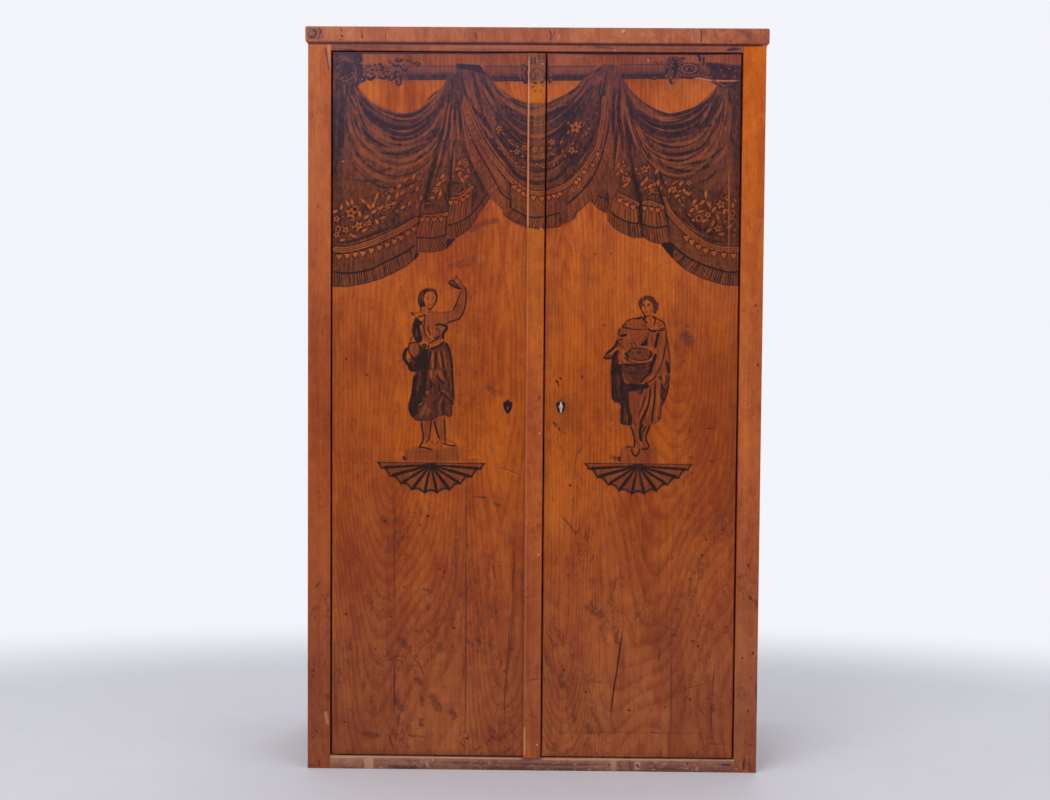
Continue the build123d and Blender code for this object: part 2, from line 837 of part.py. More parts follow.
def make_shelving():
    """Racks, bearers and shelves."""
    front_edge, back_edge = rack_edges()
    ledges = [rack_outline()[index] for index in shelf_notches]
    for side, word in ((-1, "left"), (1, "right")):
        save("rack_front_" + word, rack(side, front_edge, 1))
        save("rack_back_" + word, rack(side, back_edge, -1))
        save("bearers_" + word, *[bearer(side, ledge) for ledge in ledges])
    for number, ledge in enumerate(ledges, 1):
        save("shelf_" + str(number), shelf(ledge))


def make_hinges():
    """Four pivot hinges and the screws of everything that is fixed to the carcase."""
    carcase_screws = keep_screws(-1) + keep_screws(1)
    top_face = carcase_height - top_rail_height
    for side, word in ((-1, "left"), (1, "right")):
        save("pivot_" + word + "_bottom", door_hinge(side, door_bottom, -1))
        save("pivot_" + word + "_top", door_hinge(side, door_top, 1))
        save("socket_" + word + "_bottom", hinge_socket(side, bottom_rail_height, 1))
        save("socket_" + word + "_top", hinge_socket(side, top_face, -1))
        carcase_screws += pivot_screws(side, bottom_rail_height, 1) + pivot_screws(side, top_face, -1)
    save("carcase_screws", *carcase_screws)


def hinge_screws(side):
    """The hinge screws of one door."""
    return pivot_screws(side, door_bottom, -1) + pivot_screws(side, door_top, 1)


def make_left_door():
    """The door with the meeting strip, the false escutcheon, the keeper and two slide bolts."""
    pins = [strip_pin(share) for share in pin_shares]
    bolt_screws = bolt_plate_screws(-1) + bolt_plate_screws(1)
    cuts = pins + bolt_screws + [keeper_blank(), lock_bolt_passage(keeper_slot_clearance)] + keeper_screws()
    core, lower, upper, veneer = door_wood(-1, -left_free, cuts)
    save("door_left_core", core)
    save("door_left_clamp_bottom", lower)
    save("door_left_clamp_top", upper)
    save("door_left_veneer", veneer)
    save("meeting_strip", meeting_strip())
    save("strip_pins", *pins)
    plate = shield(-keyhole_offset, door_front - shield_thick)
    slot = keyhole(-keyhole_offset, false_slot_width, false_slot_width / 2, shield_height / 4,
                   (door_front - shield_thick - over, door_front + over))
    save("escutcheon_left", plate - slot)
    keeper = keeper_blank() - lock_bolt_passage(keeper_slot_clearance)
    save("lock_keeper", cut(keeper, keeper_screws()))
    for away, word in ((-1, "bottom"), (1, "top")):
        save("bolt_plate_" + word, bolt_plate(away))
        save("slide_bolt_" + word, slide_bolt(away))
    save("door_left_screws", *(hinge_screws(-1) + keeper_screws() + bolt_screws))


def make_right_door():
    """The door with the lock, its key and the pierced escutcheon."""
    x, z = lock_span()
    front, cavity, behind = lock_planes()
    lock_screws = edge_screws(right_free, -1, z) + lock_cap_screws()
    through = (door_front - over, front + over)
    slot_reach = bit_reach + bit_clearance
    opening = keyhole(keyhole_offset, keyhole_slot_width, keyhole_radius, slot_reach, through)
    pocket = block(x, (front, door_back + over), z)
    cuts = [pocket, selvedge_blank(), lock_cap_blank(), opening] + lock_screws
    core, lower, upper, veneer = door_wood(1, right_free, cuts)
    save("door_right_core", core)
    save("door_right_clamp_bottom", lower)
    save("door_right_clamp_top", upper)
    save("door_right_veneer", veneer)
    plate_front = door_front - shield_thick
    plate = shield(keyhole_offset, plate_front)
    piercing = keyhole(keyhole_offset, keyhole_slot_width, keyhole_radius, slot_reach,
                       (plate_front - over, door_front + over))
    save("escutcheon_right", plate - piercing)
    save("lock_case", lock_case())
    save("lock_cap", lock_cap())
    save("lock_bolt", lock_bolt())
    save("key", key())
    save("door_right_screws", *(hinge_screws(1) + lock_screws))


make_frame()
make_boards()
make_shelving()
make_hinges()
make_left_door()
make_right_door()
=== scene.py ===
import math
import random

import bpy
import numpy as np
from mathutils import Matrix, Vector


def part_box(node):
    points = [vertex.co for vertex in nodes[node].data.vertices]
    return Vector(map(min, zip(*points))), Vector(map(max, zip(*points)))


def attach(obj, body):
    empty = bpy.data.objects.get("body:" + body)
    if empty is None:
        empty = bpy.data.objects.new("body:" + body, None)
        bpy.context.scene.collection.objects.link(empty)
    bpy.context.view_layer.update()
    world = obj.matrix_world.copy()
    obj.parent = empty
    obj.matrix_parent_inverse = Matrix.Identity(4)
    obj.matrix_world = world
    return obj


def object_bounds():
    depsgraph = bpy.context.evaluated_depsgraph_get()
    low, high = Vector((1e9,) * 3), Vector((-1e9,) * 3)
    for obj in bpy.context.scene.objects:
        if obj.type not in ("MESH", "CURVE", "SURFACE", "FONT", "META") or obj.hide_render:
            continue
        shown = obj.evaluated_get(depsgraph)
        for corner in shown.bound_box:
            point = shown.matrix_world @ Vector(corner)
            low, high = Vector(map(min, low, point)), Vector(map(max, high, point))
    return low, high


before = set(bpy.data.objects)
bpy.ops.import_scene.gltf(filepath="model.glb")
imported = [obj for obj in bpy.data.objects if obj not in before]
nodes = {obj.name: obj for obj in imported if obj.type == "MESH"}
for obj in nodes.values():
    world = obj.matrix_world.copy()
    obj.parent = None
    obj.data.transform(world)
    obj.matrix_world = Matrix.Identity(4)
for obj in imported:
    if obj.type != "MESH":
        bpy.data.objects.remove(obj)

cad_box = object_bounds()
mm = 0.001

# Camera at the photograph's place
frame_wide_px = 1050
frame_high_px = 800
lens_mm = 50.0
sensor_mm = 36.0
camera_place = Vector((0.01302, -3.21045, 0.91417))
camera_pitch = math.radians(-2.5994)
camera_yaw = math.radians(-0.6111)
camera_roll = math.radians(0.4281)
focal_px = lens_mm / sensor_mm * frame_wide_px

# Planes of the front, from the frame
door_low, door_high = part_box("door_left_veneer")
left_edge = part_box("door_left_core")[0].x
right_free, right_edge = (corner.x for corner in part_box("door_right_core"))
strip_low, strip_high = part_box("meeting_strip")
door_plane = door_low.y
strip_plane = strip_low.y
wash_lift = 0.10 * mm


def camera_axes():
    """The camera's right, up and forward directions."""
    forward = Vector((math.sin(camera_yaw) * math.cos(camera_pitch),
                      math.cos(camera_yaw) * math.cos(camera_pitch), math.sin(camera_pitch)))
    level = Vector((math.cos(camera_yaw), -math.sin(camera_yaw), 0))
    upright = level.cross(forward)
    right = math.cos(camera_roll) * level + math.sin(camera_roll) * upright
    up = math.cos(camera_roll) * upright - math.sin(camera_roll) * level
    return right, up, forward


def on_plane(px, py, plane_y):
    """X and Z of pixels of the photograph on a plane of constant Y."""
    right, up, forward = camera_axes()
    across = (np.asarray(px, float) - frame_wide_px / 2) / focal_px
    rise = (frame_high_px / 2 - np.asarray(py, float)) / focal_px
    ray = [forward[i] + across * right[i] + rise * up[i] for i in range(3)]
    reach = (plane_y - camera_place.y) / ray[1]
    return camera_place.x + reach * ray[0], camera_place.z + reach * ray[2]


# Shader nodes
class Tree:
    """A material's node tree with short calls for the nodes it needs."""

    def __init__(self, name):
        self.material = bpy.data.materials.new(name)
        self.material.use_nodes = True
        self.tree = self.material.node_tree
        self.tree.nodes.clear()
        self.place = self.node("ShaderNodeTexCoord").outputs["Object"]
        parts = self.node("ShaderNodeSeparateXYZ", Vector=self.place)
        self.x, self.y, self.z = parts.outputs

    def node(self, kind, **inputs):
        made = self.tree.nodes.new(kind)
        for name, value in inputs.items():
            self.put(made.inputs[name.replace("_", " ")], value)
        return made

    def put(self, socket, value):
        if isinstance(value, bpy.types.NodeSocket):
            self.tree.links.new(value, socket)
        elif isinstance(value, (tuple, list)) and len(value) == 3 and socket.type == "RGBA":
            socket.default_value = (*value, 1)
        else:
            socket.default_value = value

    def math(self, operation, a, b=0.0, c=0.0):
        made = self.tree.nodes.new("ShaderNodeMath")
        made.operation = operation
        for socket, value in zip(made.inputs, (a, b, c)):
            self.put(socket, value)
        return made.outputs[0]

    def times(self, a, b):
        return self.math("MULTIPLY", a, b)

    def away(self, value, middle):
        """How far a value is from a middle one."""
        return self.math("ABSOLUTE", self.math("SUBTRACT", value, middle))

    def total(self, *terms):
        value = terms[0]
        for term in terms[1:]:
            value = self.math("ADD", value, term)
        return value

    def swing(self, pattern, share):
        """A pattern that runs from 0 to 1, centred on 0 and scaled by its share."""
        return self.times(self.math("SUBTRACT", pattern, 0.5), share)

    def swings(self, start, patterns, shares):
        """A start value that patterns raise and lower, each by its own share."""
        return self.total(start, *[self.swing(pattern, share) for pattern, share in zip(patterns, shares)])

    def ease(self, value, low, high, start=0.0, end=1.0):
        """value carried smoothly from low..high to start..end."""
        made = self.tree.nodes.new("ShaderNodeMapRange")
        made.interpolation_type = "SMOOTHSTEP"
        for name, given in zip(("Value", "From Min", "From Max", "To Min", "To Max"),
                               (value, low, high, start, end)):
            self.put(made.inputs[name], given)
        return made.outputs[0]

    def band(self, value, middle, width):
        """1 at a value's middle, falling to 0 at width from it."""
        return self.ease(self.away(value, middle), 0.0, width, 1.0, 0.0)

    def mix(self, share, a, b, way="MIX"):
        made = self.tree.nodes.new("ShaderNodeMix")
        made.data_type = "RGBA"
        made.blend_type = way
        self.put(made.inputs[0], share)
        self.put(made.inputs[6], a)
        self.put(made.inputs[7], b)
        return made.outputs[2]

    def vectors(self, operation, a, b):
        made = self.tree.nodes.new("ShaderNodeVectorMath")
        made.operation = operation
        self.put(made.inputs[0], a)
        self.put(made.inputs[1], b)
        return made.outputs[0]

    def move(self, shares, seed):
        """Move the patterns' place, so that no two woods share a pattern."""
        self.moved = self.vectors("ADD", self.place, tuple(seed * share for share in shares))

    def stretched(self, x, y, z, warp=None):
        """The place with each axis scaled, for grain that runs one way."""
        return self.vectors("MULTIPLY", self.place if warp is None else warp, (x, y, z))

    def noise(self, vector, scale=1.0, detail=2.0, rough=0.5, twist=0.0):
        made = self.node("ShaderNodeTexNoise", Vector=vector, Scale=scale, Detail=detail,
                         Roughness=rough, Distortion=twist)
        return made.outputs[0]

    def pattern(self, look):
        """Noise over the moved place, told as the stretch of its axes and its noise values."""
        stretch, noise = look
        return self.noise(self.stretched(*stretch, self.moved), *noise)

    def spots(self, look):
        """1 inside scattered round spots, told as stretch, scale, colour channel and size range."""
        stretch, scale, channel, sizes = look
        made = self.node("ShaderNodeTexVoronoi", Vector=self.stretched(*stretch, self.moved), Scale=scale)
        chance = self.node("ShaderNodeSeparateColor", Color=made.outputs["Color"]).outputs[channel]
        return self.math("LESS_THAN", made.outputs["Distance"], self.ease(chance, *sizes))

    def attribute(self, name):
        made = self.node("ShaderNodeAttribute")
        made.attribute_type = "GEOMETRY"
        made.attribute_name = name
        return made.outputs["Fac"]

    def finish(self, colour, roughness, height=None, depth=0.0, **sockets):
        shader = self.node("ShaderNodeBsdfPrincipled")
        self.put(shader.inputs["Base Color"], colour)
        self.put(shader.inputs["Roughness"], roughness)
        for name, value in sockets.items():
            self.put(shader.inputs[name.replace("_", " ")], value)
        if height is not None:
            bump = self.node("ShaderNodeBump", Height=height, Strength=1.0, Distance=depth)
            self.put(shader.inputs["Normal"], bump.outputs[0])
        out = self.node("ShaderNodeOutputMaterial")
        self.tree.links.new(shader.outputs[0], out.inputs["Surface"])
        return self.material


# Colours of wash, ink, stain and bare wood, and of a painted bluish reflection on the wash and the ink high
# on the doors, stronger to the left, with the heights and places where it shows
wash_colour = (0.040, 0.011, 0.010)
ink_colour = (0.011, 0.0025, 0.0025)
painted_reflection_wash = (0.058, 0.036, 0.062)
painted_reflection_ink = (0.034, 0.020, 0.040)
painted_reflection_rise = (1.15, 1.52)
painted_reflection_across = (-0.42, 0.42, 1.0, 0.55)
stain_colour = (0.090, 0.020, 0.013)
pale_colour = (0.62, 0.33, 0.20)
seam_colour = (0.045, 0.014, 0.010)
leaf_colour = (0.16, 0.04, 0.018)
speck_colour = (0.022, 0.010, 0.009)
crack_colour = (0.050, 0.012, 0.009)
pore_colour = (0.06, 0.018, 0.012)
light_grain = (1.34, 1.62, 1.50)
dark_grain = (0.60, 0.44, 0.60)

# Patterns that run with the grain: stretch across and along it, then scale, detail, roughness, twist
fibre_look = ((900, 14), (1.0, 3.0, 0.6))
streak_look = ((190, 2.4), (1.0, 3.0, 0.55))
board_look = ((26, 1.3), (1.0, 2.0, 0.5, 0.6))
cloud_look = ((7, 3.5), (1.0, 3.0, 0.55))
pore_look = ((1500, 90), (1.0, 1.0))

# Patterns with a stretch of their own on X, Y and Z, then scale, detail, roughness, twist
mottle_look = ((70, 70, 38), (1.0, 4.0, 0.68))
wander_look = ((3.0, 1.0, 1.1), (1.0, 1.0, 0.5))
sway_look = ((12.0, 1.0, 3.0), (1.0, 2.0, 0.5))
seam_look = ((3, 1, 9), (1.0, 3.0))
blot_look = ((34, 34, 21), (1.0, 4.0, 0.62))
patch_look = ((4.5, 4.5, 3.0), (1.0, 1.0))
ragged_look = ((170, 170, 100), (1.0, 4.0, 0.6))
torn_look = ((300, 300, 190), (1.0, 5.0, 0.72))
vein_look = ((46, 46, 27), (1.0, 3.0, 0.62, 0.8))
crazed_look = ((15, 15, 10), (1.0, 2.0))
shade_mottle_look = ((60, 60, 60), (1.0, 3.0))
gloss_look = ((9, 9, 6), (1.0, 3.0))
speck_look = ((1, 1, 0.8), 95.0, 0, (0.80, 1.0, 0.0, 0.12))
fleck_look = ((1, 1, 0.55), 105.0, 1, (0.70, 1.0, 0.0, 0.19))

# Growth rings of the doors' veneer, whose leaves meet at two seams on either side of the middle
leaf_seams = (141 * mm, 289 * mm)
inner_pith = 66 * mm
ring_pitch = 8.5 * mm
pith_depth = 0.13
pith_lean = -0.11
pith_wander = 0.30
side_sway = 0.03
ring_rise = (0.35, 0.92)
ring_fall = (0.93, 1.0, 1.0, 0.0)
ring_dark = 0.30
ring_sunk = 0.3

# Seams between the leaves
seam_width = 0.9 * mm
seam_strengths = (0.8, 0.65)
seam_breaks = (0.36, 0.62, 0.15, 1.0)
seam_fade = (0.35, 0.75, 1.0, 0.35)
outer_leaf = 0.10

# How strongly each pattern shows, and between which of its values
cherry_shift = (0.37, 0.71, 0.53)
plain_levels = (0.05, 0.75, 1.48)
tone_shares = (0.66, 0.30, 0.44, 1.10, 0.80)
ink_shares = (0.40, 0.35, 0.75)
fibre_height = 0.6
grain_depth = 0.25 * mm
blot_range = (0.59, 0.68)
patch_range = (0.47, 0.62)
blot_fall = (0.15, 0.75, 1.0, 0.35)
blot_share = 0.60
torn_share = 1.35
stain_share = 0.86
stain_range = (0.95, 1.12, 0.0, 0.64)
speck_share = 0.75
fleck_share = 0.50
worn_fall = (0.30, 1.05, 1.0, 0.30)
crazed_range = (0.50, 0.60)
vein_middle = 0.46
vein_width = 0.030
crack_share = 0.58
pore_range = (0.66, 0.74)
pore_share = 0.25
shade_mottle_range = (0.35, 0.60, 0.25, 1.0)
veil_gain = 1.12
veil_most = 0.72
ink_range = (0.52, 0.92, 0.0, 0.96)
gloss_range = (0.3, 0.7, 0.40, 0.56)
cap_skin = 0.3 * mm


def growth_rings(t):
    """Rings as a flat cut through a log, whose pith wanders along the board."""
    inward = t.math("ABSOLUTE", t.x)
    folded = t.away(inward, leaf_seams[1])
    inner = t.math("LESS_THAN", inward, leaf_seams[0])
    from_inner = t.away(inward, inner_pith)
    side = t.math("ADD", t.times(inner, t.math("SUBTRACT", from_inner, folded)), folded)
    wander = t.swing(t.pattern(wander_look), pith_wander)
    deep = t.total(wander, t.times(t.z, pith_lean), pith_depth)
    aside = t.total(side, t.swing(t.pattern(sway_look), side_sway))
    reach = t.math("SQRT", t.math("ADD", t.times(aside, aside), t.times(deep, deep)))
    turns = t.math("FRACT", t.math("DIVIDE", reach, ring_pitch))
    return t.times(t.ease(turns, *ring_rise), t.ease(turns, *ring_fall))


def seam_lines(t, colour):
    """Dark broken seams between the veneer's leaves, and the outer leaf a little darker."""
    for place, strength in zip(leaf_seams, seam_strengths):
        line = t.band(t.math("ABSOLUTE", t.x), place, seam_width)
        broken = t.ease(t.pattern(seam_look), *seam_breaks)
        fade = t.ease(t.z, *seam_fade)
        share = t.times(t.times(line, broken), t.times(fade, strength))
        colour = t.mix(share, colour, seam_colour)
    outer = t.math("GREATER_THAN", t.math("ABSOLUTE", t.x), leaf_seams[1])
    return t.mix(t.times(outer, outer_leaf), colour, leaf_colour)


def age_marks(t, colour, dirt):
    """Blots, torn-edged stains, specks, flecks and hair cracks, thickest low on the doors."""
    share = t.times(t.ease(t.pattern(blot_look), *blot_range), t.ease(t.pattern(patch_look), *patch_range))
    share = t.times(t.times(share, t.ease(t.z, *blot_fall)), blot_share * dirt)
    colour = t.mix(share, colour, stain_colour)
    torn = t.total(t.times(t.pattern(torn_look), torn_share), t.times(t.attribute("stain"), stain_share))
    colour = t.mix(t.ease(torn, *stain_range), colour, stain_colour)
    colour = t.mix(t.times(t.spots(speck_look), speck_share * dirt), colour, speck_colour)
    low_down = t.ease(t.z, *worn_fall)
    flecks = t.times(t.times(t.spots(fleck_look), low_down), fleck_share * dirt)
    colour = t.mix(flecks, colour, crack_colour)
    crazed = t.ease(t.pattern(crazed_look), *crazed_range)
    crack = t.times(t.band(t.pattern(vein_look), vein_middle, vein_width), t.times(crazed, low_down))
    return t.mix(t.times(crack, crack_share * dirt), colour, crack_colour)


def drawn_ink(t, colour, grained):
    """Wash, ink, a painted bluish reflection high on the doors, and pale wear that is partly painted
    highlight, as strong as the sheets' ink attribute says.
    """
    drawn = t.attribute("ink")
    depth = t.times(drawn, t.swings(1.0, grained, ink_shares))
    veil = t.math("MINIMUM", t.math("MAXIMUM", t.times(depth, veil_gain), 0.0), veil_most)
    # Painted reflection: the wash and the ink turn bluish high on the doors, more so to the left
    painted_reflection = t.times(t.ease(t.z, *painted_reflection_rise), t.ease(t.x, *painted_reflection_across))
    colour = t.mix(veil, colour, t.mix(painted_reflection, wash_colour, painted_reflection_wash))
    colour = t.mix(t.ease(depth, *ink_range), colour, t.mix(painted_reflection, ink_colour, painted_reflection_ink))
    return t.mix(t.math("MAXIMUM", t.times(drawn, -1.0), 0.0), colour, pale_colour)


def wood(name, tones, along="z", figure=0.0, dirt=1.0, seed=0.0, levels=plain_levels, shade_bands=(),
         shine=0.16, contrast=1.0, seams=False, head=None):
    """Old cherry: colours from low to top that partly paint the light's fall-off, painted shade at the head
    and in bands, grain, growth rings, age marks and ink.
    """
    top, middle, low = tones
    t = Tree(name)
    t.move(cherry_shift, seed)
    above = None
    if along == "cap":
        # A cross-banded edge under a top whose grain runs across
        above = t.math("GREATER_THAN", t.z, cad_box[1][2] - cap_skin)

    def grained(look):
        (across, length), noise = look
        ways = {"x": (length, across, across), "y": (across, length, across), "z": (across, across, length)}
        if along == "cap":
            vector = t.mix(above, t.stretched(*ways["z"], t.moved), t.stretched(*ways["x"], t.moved))
        else:
            vector = t.stretched(*ways[along], t.moved)
        return t.noise(vector, *noise)

    fibre, cloud = grained(fibre_look), grained(cloud_look)
    patterns = (fibre, grained(streak_look), grained(board_look), cloud, t.pattern(mottle_look))
    base = t.mix(t.ease(t.z, *levels[1:]), t.mix(t.ease(t.z, *levels[:2]), low, middle), top)
    # Painted shade at the head, under the cap
    if head:
        base = t.mix(t.ease(t.z, *head[1:]), base, head[0])
    tone = t.swings(0.5, patterns, [share * contrast for share in tone_shares])
    height = t.times(fibre, fibre_height)
    if figure:
        ring = growth_rings(t)
        tone = t.math("SUBTRACT", tone, t.times(ring, ring_dark * figure))
        height = t.math("SUBTRACT", height, t.times(ring, ring_sunk))
    dark = t.mix(1.0, base, dark_grain, "MULTIPLY")
    light = t.mix(1.0, base, light_grain, "MULTIPLY")
    colour = t.mix(t.ease(tone, 0.0, 1.0), dark, light)
    if seams:
        colour = seam_lines(t, colour)
    colour = age_marks(t, colour, dirt)
    pore = t.ease(grained(pore_look), *pore_range)
    colour = t.mix(t.times(pore, pore_share), colour, pore_colour)
    # Painted shade in bands along an axis, broken up by a mottle and kept off the cap's top
    for axis, middle_at, width, shade_colour, strength in shade_bands:
        shade_mottle = t.ease(t.pattern(shade_mottle_look), *shade_mottle_range)
        share = t.times(t.band(getattr(t, axis), middle_at, width), t.times(shade_mottle, strength))
        if along == "cap":
            share = t.times(share, t.math("SUBTRACT", 1.0, above))
        colour = t.mix(share, colour, shade_colour)
    colour = drawn_ink(t, colour, (fibre, cloud, t.pattern(ragged_look)))
    rough = t.ease(t.pattern(gloss_look), *gloss_range)
    return t.finish(colour, rough, height, grain_depth, Specular_IOR_Level=shine)


# Bare softwood: its stretch along the grain, its patterns and its dust
soft_shift = (0.31, 0.47, 0.83)
soft_stretch = 0.02
soft_sway = ((3, 3, 3), (1.0, 2.0))
soft_bend = 0.02
soft_rings = (120.0, 2.0, 0.5)
soft_fibre = (900.0, 3.0, 0.6)
soft_patch = (6.0, 3.0, 0.6)
soft_shares = (0.6, 0.4)
soft_range = (0.35, 0.68)
dust_range = (0.45, 0.75)
dust_tone = 0.55
knot_look = ((1, 1, 1), 7.0, 0, (0.72, 1.0, 0.0, 0.10))
knot_share = 0.6
knot_tone = 0.25
soft_rough = 0.68
soft_depth = 0.4 * mm
soft_shine = 0.25


def shaded(colour, share):
    return tuple(share * value for value in colour)


def softwood(name, pale, dark, along, seed=0.0, dust=0.3):
    """Bare aged softwood with long grain, knots and dust."""
    t = Tree(name)
    t.move(soft_shift, seed)
    stretch = [soft_stretch if axis == along else 1 for axis in "xyz"]
    sway = t.times(t.pattern(soft_sway), soft_bend)
    bent = t.vectors("ADD", t.stretched(*stretch, t.moved), sway)
    rings, fibre = t.noise(bent, *soft_rings), t.noise(bent, *soft_fibre)
    share = t.total(t.times(rings, soft_shares[0]), t.times(fibre, soft_shares[1]))
    colour = t.mix(t.ease(share, *soft_range), dark, pale)
    patch = t.ease(t.noise(t.moved, *soft_patch), *dust_range)
    colour = t.mix(t.times(patch, dust), colour, shaded(dark, dust_tone))
    colour = t.mix(t.times(t.spots(knot_look), knot_share), colour, shaded(dark, knot_tone))
    return t.finish(colour, soft_rough, share, soft_depth, Specular_IOR_Level=soft_shine)


# Metal: its patterns and how they change its gloss
tarnish_patch = (90.0, 5.0, 0.65)
scratch_fine = (900.0, 3.0, 0.6)
tarnish_range = (0.42, 0.62)
patch_gloss = 0.25
fine_gloss = 0.10
gloss_drop = 0.15
pit_depth = 0.15 * mm
metal_shine = 0.5


def metal(name, colour, tarnish, rough, polish=1.0, spots=0.5, shine=metal_shine):
    """Worn metal: tarnish in patches, fine scratches and pits."""
    t = Tree(name)
    patch, fine = t.noise(t.place, *tarnish_patch), t.noise(t.place, *scratch_fine)
    tone = t.mix(t.times(t.ease(patch, *tarnish_range), spots), colour, tarnish)
    gloss = t.total(t.times(patch, patch_gloss), t.times(fine, fine_gloss), rough - gloss_drop)
    return t.finish(tone, gloss, t.math("ADD", patch, fine), pit_depth, Metallic=polish,
                    Specular_IOR_Level=shine)


# Colours of the veneers at their top, middle and foot, from the photograph's tone less its gloss; their
# darkening towards the foot partly paints the light's fall-off down the front
door_tones = ((0.440, 0.090, 0.017), (0.370, 0.066, 0.003), (0.300, 0.070, 0.021))
strip_tones = ((0.430, 0.095, 0.006), (0.405, 0.080, 0.013), (0.335, 0.076, 0.023))
stile_left_tones = ((0.430, 0.100, 0.030), (0.305, 0.054, 0.009), (0.255, 0.056, 0.020))
stile_right_tones = ((0.550, 0.108, 0.004), (0.415, 0.092, 0.019), (0.250, 0.060, 0.025))
top_rail_tones = ((0.295, 0.074, 0.042), (0.295, 0.074, 0.042), (0.295, 0.074, 0.042))
bottom_rail_tones = ((0.330, 0.135, 0.094), (0.330, 0.135, 0.094), (0.200, 0.075, 0.050))
cap_tones = ((0.440, 0.126, 0.058), (0.440, 0.126, 0.058), (0.390, 0.108, 0.056))
side_tones = ((0.330, 0.075, 0.015), (0.265, 0.053, 0.010), (0.190, 0.038, 0.010))

# Painted shade at the doors' and the strip's heads under the cap, as colour and heights, and painted shade
# on the cap's front, darkest to its right, as axis, middle, width, colour and strength
door_head_painted_shade = ((0.276, 0.064, 0.034), 1.405, 1.475)
strip_head_painted_shade = ((0.200, 0.052, 0.030), 1.424, 1.436)
cap_painted_shade = ("x", 0.4755, 0.85, (0.22, 0.044, 0.022), 0.60)
strip_levels = (0.1, 0.7, 1.2)
bottom_rail_levels = (0.0, 0.03, 0.2)
quiet = 0.8
door_figure = 0.50

# Colours of the bare softwoods, pale and dark
core_pale, core_dark = (0.40, 0.22, 0.10), (0.24, 0.115, 0.046)
inner_pale, inner_dark = (0.40, 0.215, 0.095), (0.245, 0.115, 0.045)
bearer_pale, bearer_dark = (0.38, 0.205, 0.09), (0.24, 0.112, 0.045)
back_pale, back_dark = (0.26, 0.155, 0.080), (0.145, 0.076, 0.036)
back_tones = (1.0, 0.80, 1.10, 0.88)
back_dust = 0.5
back_seeds = (5.0, 8.0, 11.0, 14.0)

strip_wood = wood("strip veneer", strip_tones, seed=2.0, levels=strip_levels, contrast=quiet,
                  head=strip_head_painted_shade)
door_wood = wood("door veneer", door_tones, figure=door_figure, seams=True, seed=1.0, head=door_head_painted_shade)
stile_left_wood = wood("left stile veneer", stile_left_tones, seed=3.0, contrast=quiet)
stile_right_wood = wood("right stile veneer", stile_right_tones, seed=4.0, contrast=quiet)
top_rail_wood = wood("top rail veneer", top_rail_tones, along="x", seed=5.0)
bottom_rail_wood = wood("bottom rail veneer", bottom_rail_tones, along="x", seed=6.0,
                        levels=bottom_rail_levels)
cap_wood = wood("cap veneer", cap_tones, along="cap", seed=7.0, contrast=quiet, shade_bands=(cap_painted_shade,))
side_wood = wood("side veneer", side_tones, seed=8.0)
core_timber = softwood("core wood", core_pale, core_dark, "z", seed=1.0)
inner_timber = softwood("inner wood", inner_pale, inner_dark, "x", seed=2.0)
rack_timber = softwood("rack wood", inner_pale, inner_dark, "z", seed=3.0)
bearer_timber = softwood("bearer wood", bearer_pale, bearer_dark, "y", seed=4.0)
back_timbers = [softwood(f"back wood {place + 1}", shaded(back_pale, tone), shaded(back_dark, tone), "z",
                         seed=seed, dust=back_dust)
                for place, (tone, seed) in enumerate(zip(back_tones, back_seeds))]
iron_metal = metal("iron", colour=(0.115, 0.100, 0.092), tarnish=(0.100, 0.045, 0.022), rough=0.55,
                   polish=0.85)
steel_metal = metal("worn steel", colour=(0.58, 0.57, 0.55), tarnish=(0.20, 0.17, 0.15), rough=0.34)
pin_metal = metal("bright pins", colour=(0.66, 0.65, 0.64), tarnish=(0.30, 0.25, 0.21), rough=0.28,
                  spots=0.3)
black_metal = metal("blackened plate", colour=(0.014, 0.006, 0.008), tarnish=(0.022, 0.010, 0.010),
                    rough=0.55, polish=0.0, spots=0.6, shine=0.12)


def material_for(node):
    """The material that a CAD node wears."""
    exact = {"meeting_strip": strip_wood, "stile_left": stile_left_wood, "stile_right": stile_right_wood,
             "top_rail": top_rail_wood, "bottom_rail": bottom_rail_wood, "cap_board": cap_wood,
             "strip_pins": pin_metal, "key": steel_metal}
    if node in exact:
        return exact[node]
    starts = (("rack_", rack_timber), ("bearers_", bearer_timber), ("shelf_", inner_timber),
              ("bottom_board", inner_timber), ("top_batten", inner_timber), ("glue_", bearer_timber),
              ("side_", side_wood), ("escutcheon_", black_metal))
    for start, material in starts:
        if node.startswith(start):
            return material
    if node.startswith("back_board_"):
        return back_timbers[int(node[-1]) - 1]
    if node.endswith("_veneer"):
        return door_wood
    if node.endswith("_core"):
        return core_timber
    if "_clamp_" in node:
        return inner_timber
    return iron_metal


def dress_frame():
    """Give each CAD node its material."""
    for name, obj in nodes.items():
        material = material_for(name)
        obj.data.materials.clear()
        obj.data.materials.append(material)


# Stage, light and camera
floor_colour = (0.70, 0.715, 0.80)
wall_colour = (0.905, 0.905, 0.965)
floor_reach = 14.0
floor_drop = 0.2 * mm
floor_blend = (0.75, 1.45)
floor_spread = (0.5, 1.0, 1.0)
floor_speckle = (14.0, 3.0)
speckle_range = (0.3, 0.7)
speckle_tone = 0.985
floor_rough = 0.75
floor_shine = 0.2
white_strength = 1.0
sky_colour = (1.0, 0.985, 0.97)
sky_strength = 0.62
lamp_target = (0, 0, 0.8)
camera_far = 60.0

# Lamps: name, place, width, watts, colour
lamps = (
    ("key lamp", (-1.7, -3.0, 3.0), 2.4, 62, (1.0, 0.98, 0.95)),
    ("fill lamp", (2.6, -2.6, 1.8), 2.6, 22, (1, 1, 1)),
    ("back lamp", (0.5, 3.0, 2.6), 2.2, 30, (1, 1, 1)))


def camera_share(t):
    """1 for rays that come from the camera, a mirror or glass."""
    path = t.node("ShaderNodeLightPath")
    share = t.math("MAXIMUM", path.outputs["Is Camera Ray"], path.outputs["Is Glossy Ray"])
    return t.math("MAXIMUM", share, path.outputs["Is Transmission Ray"])


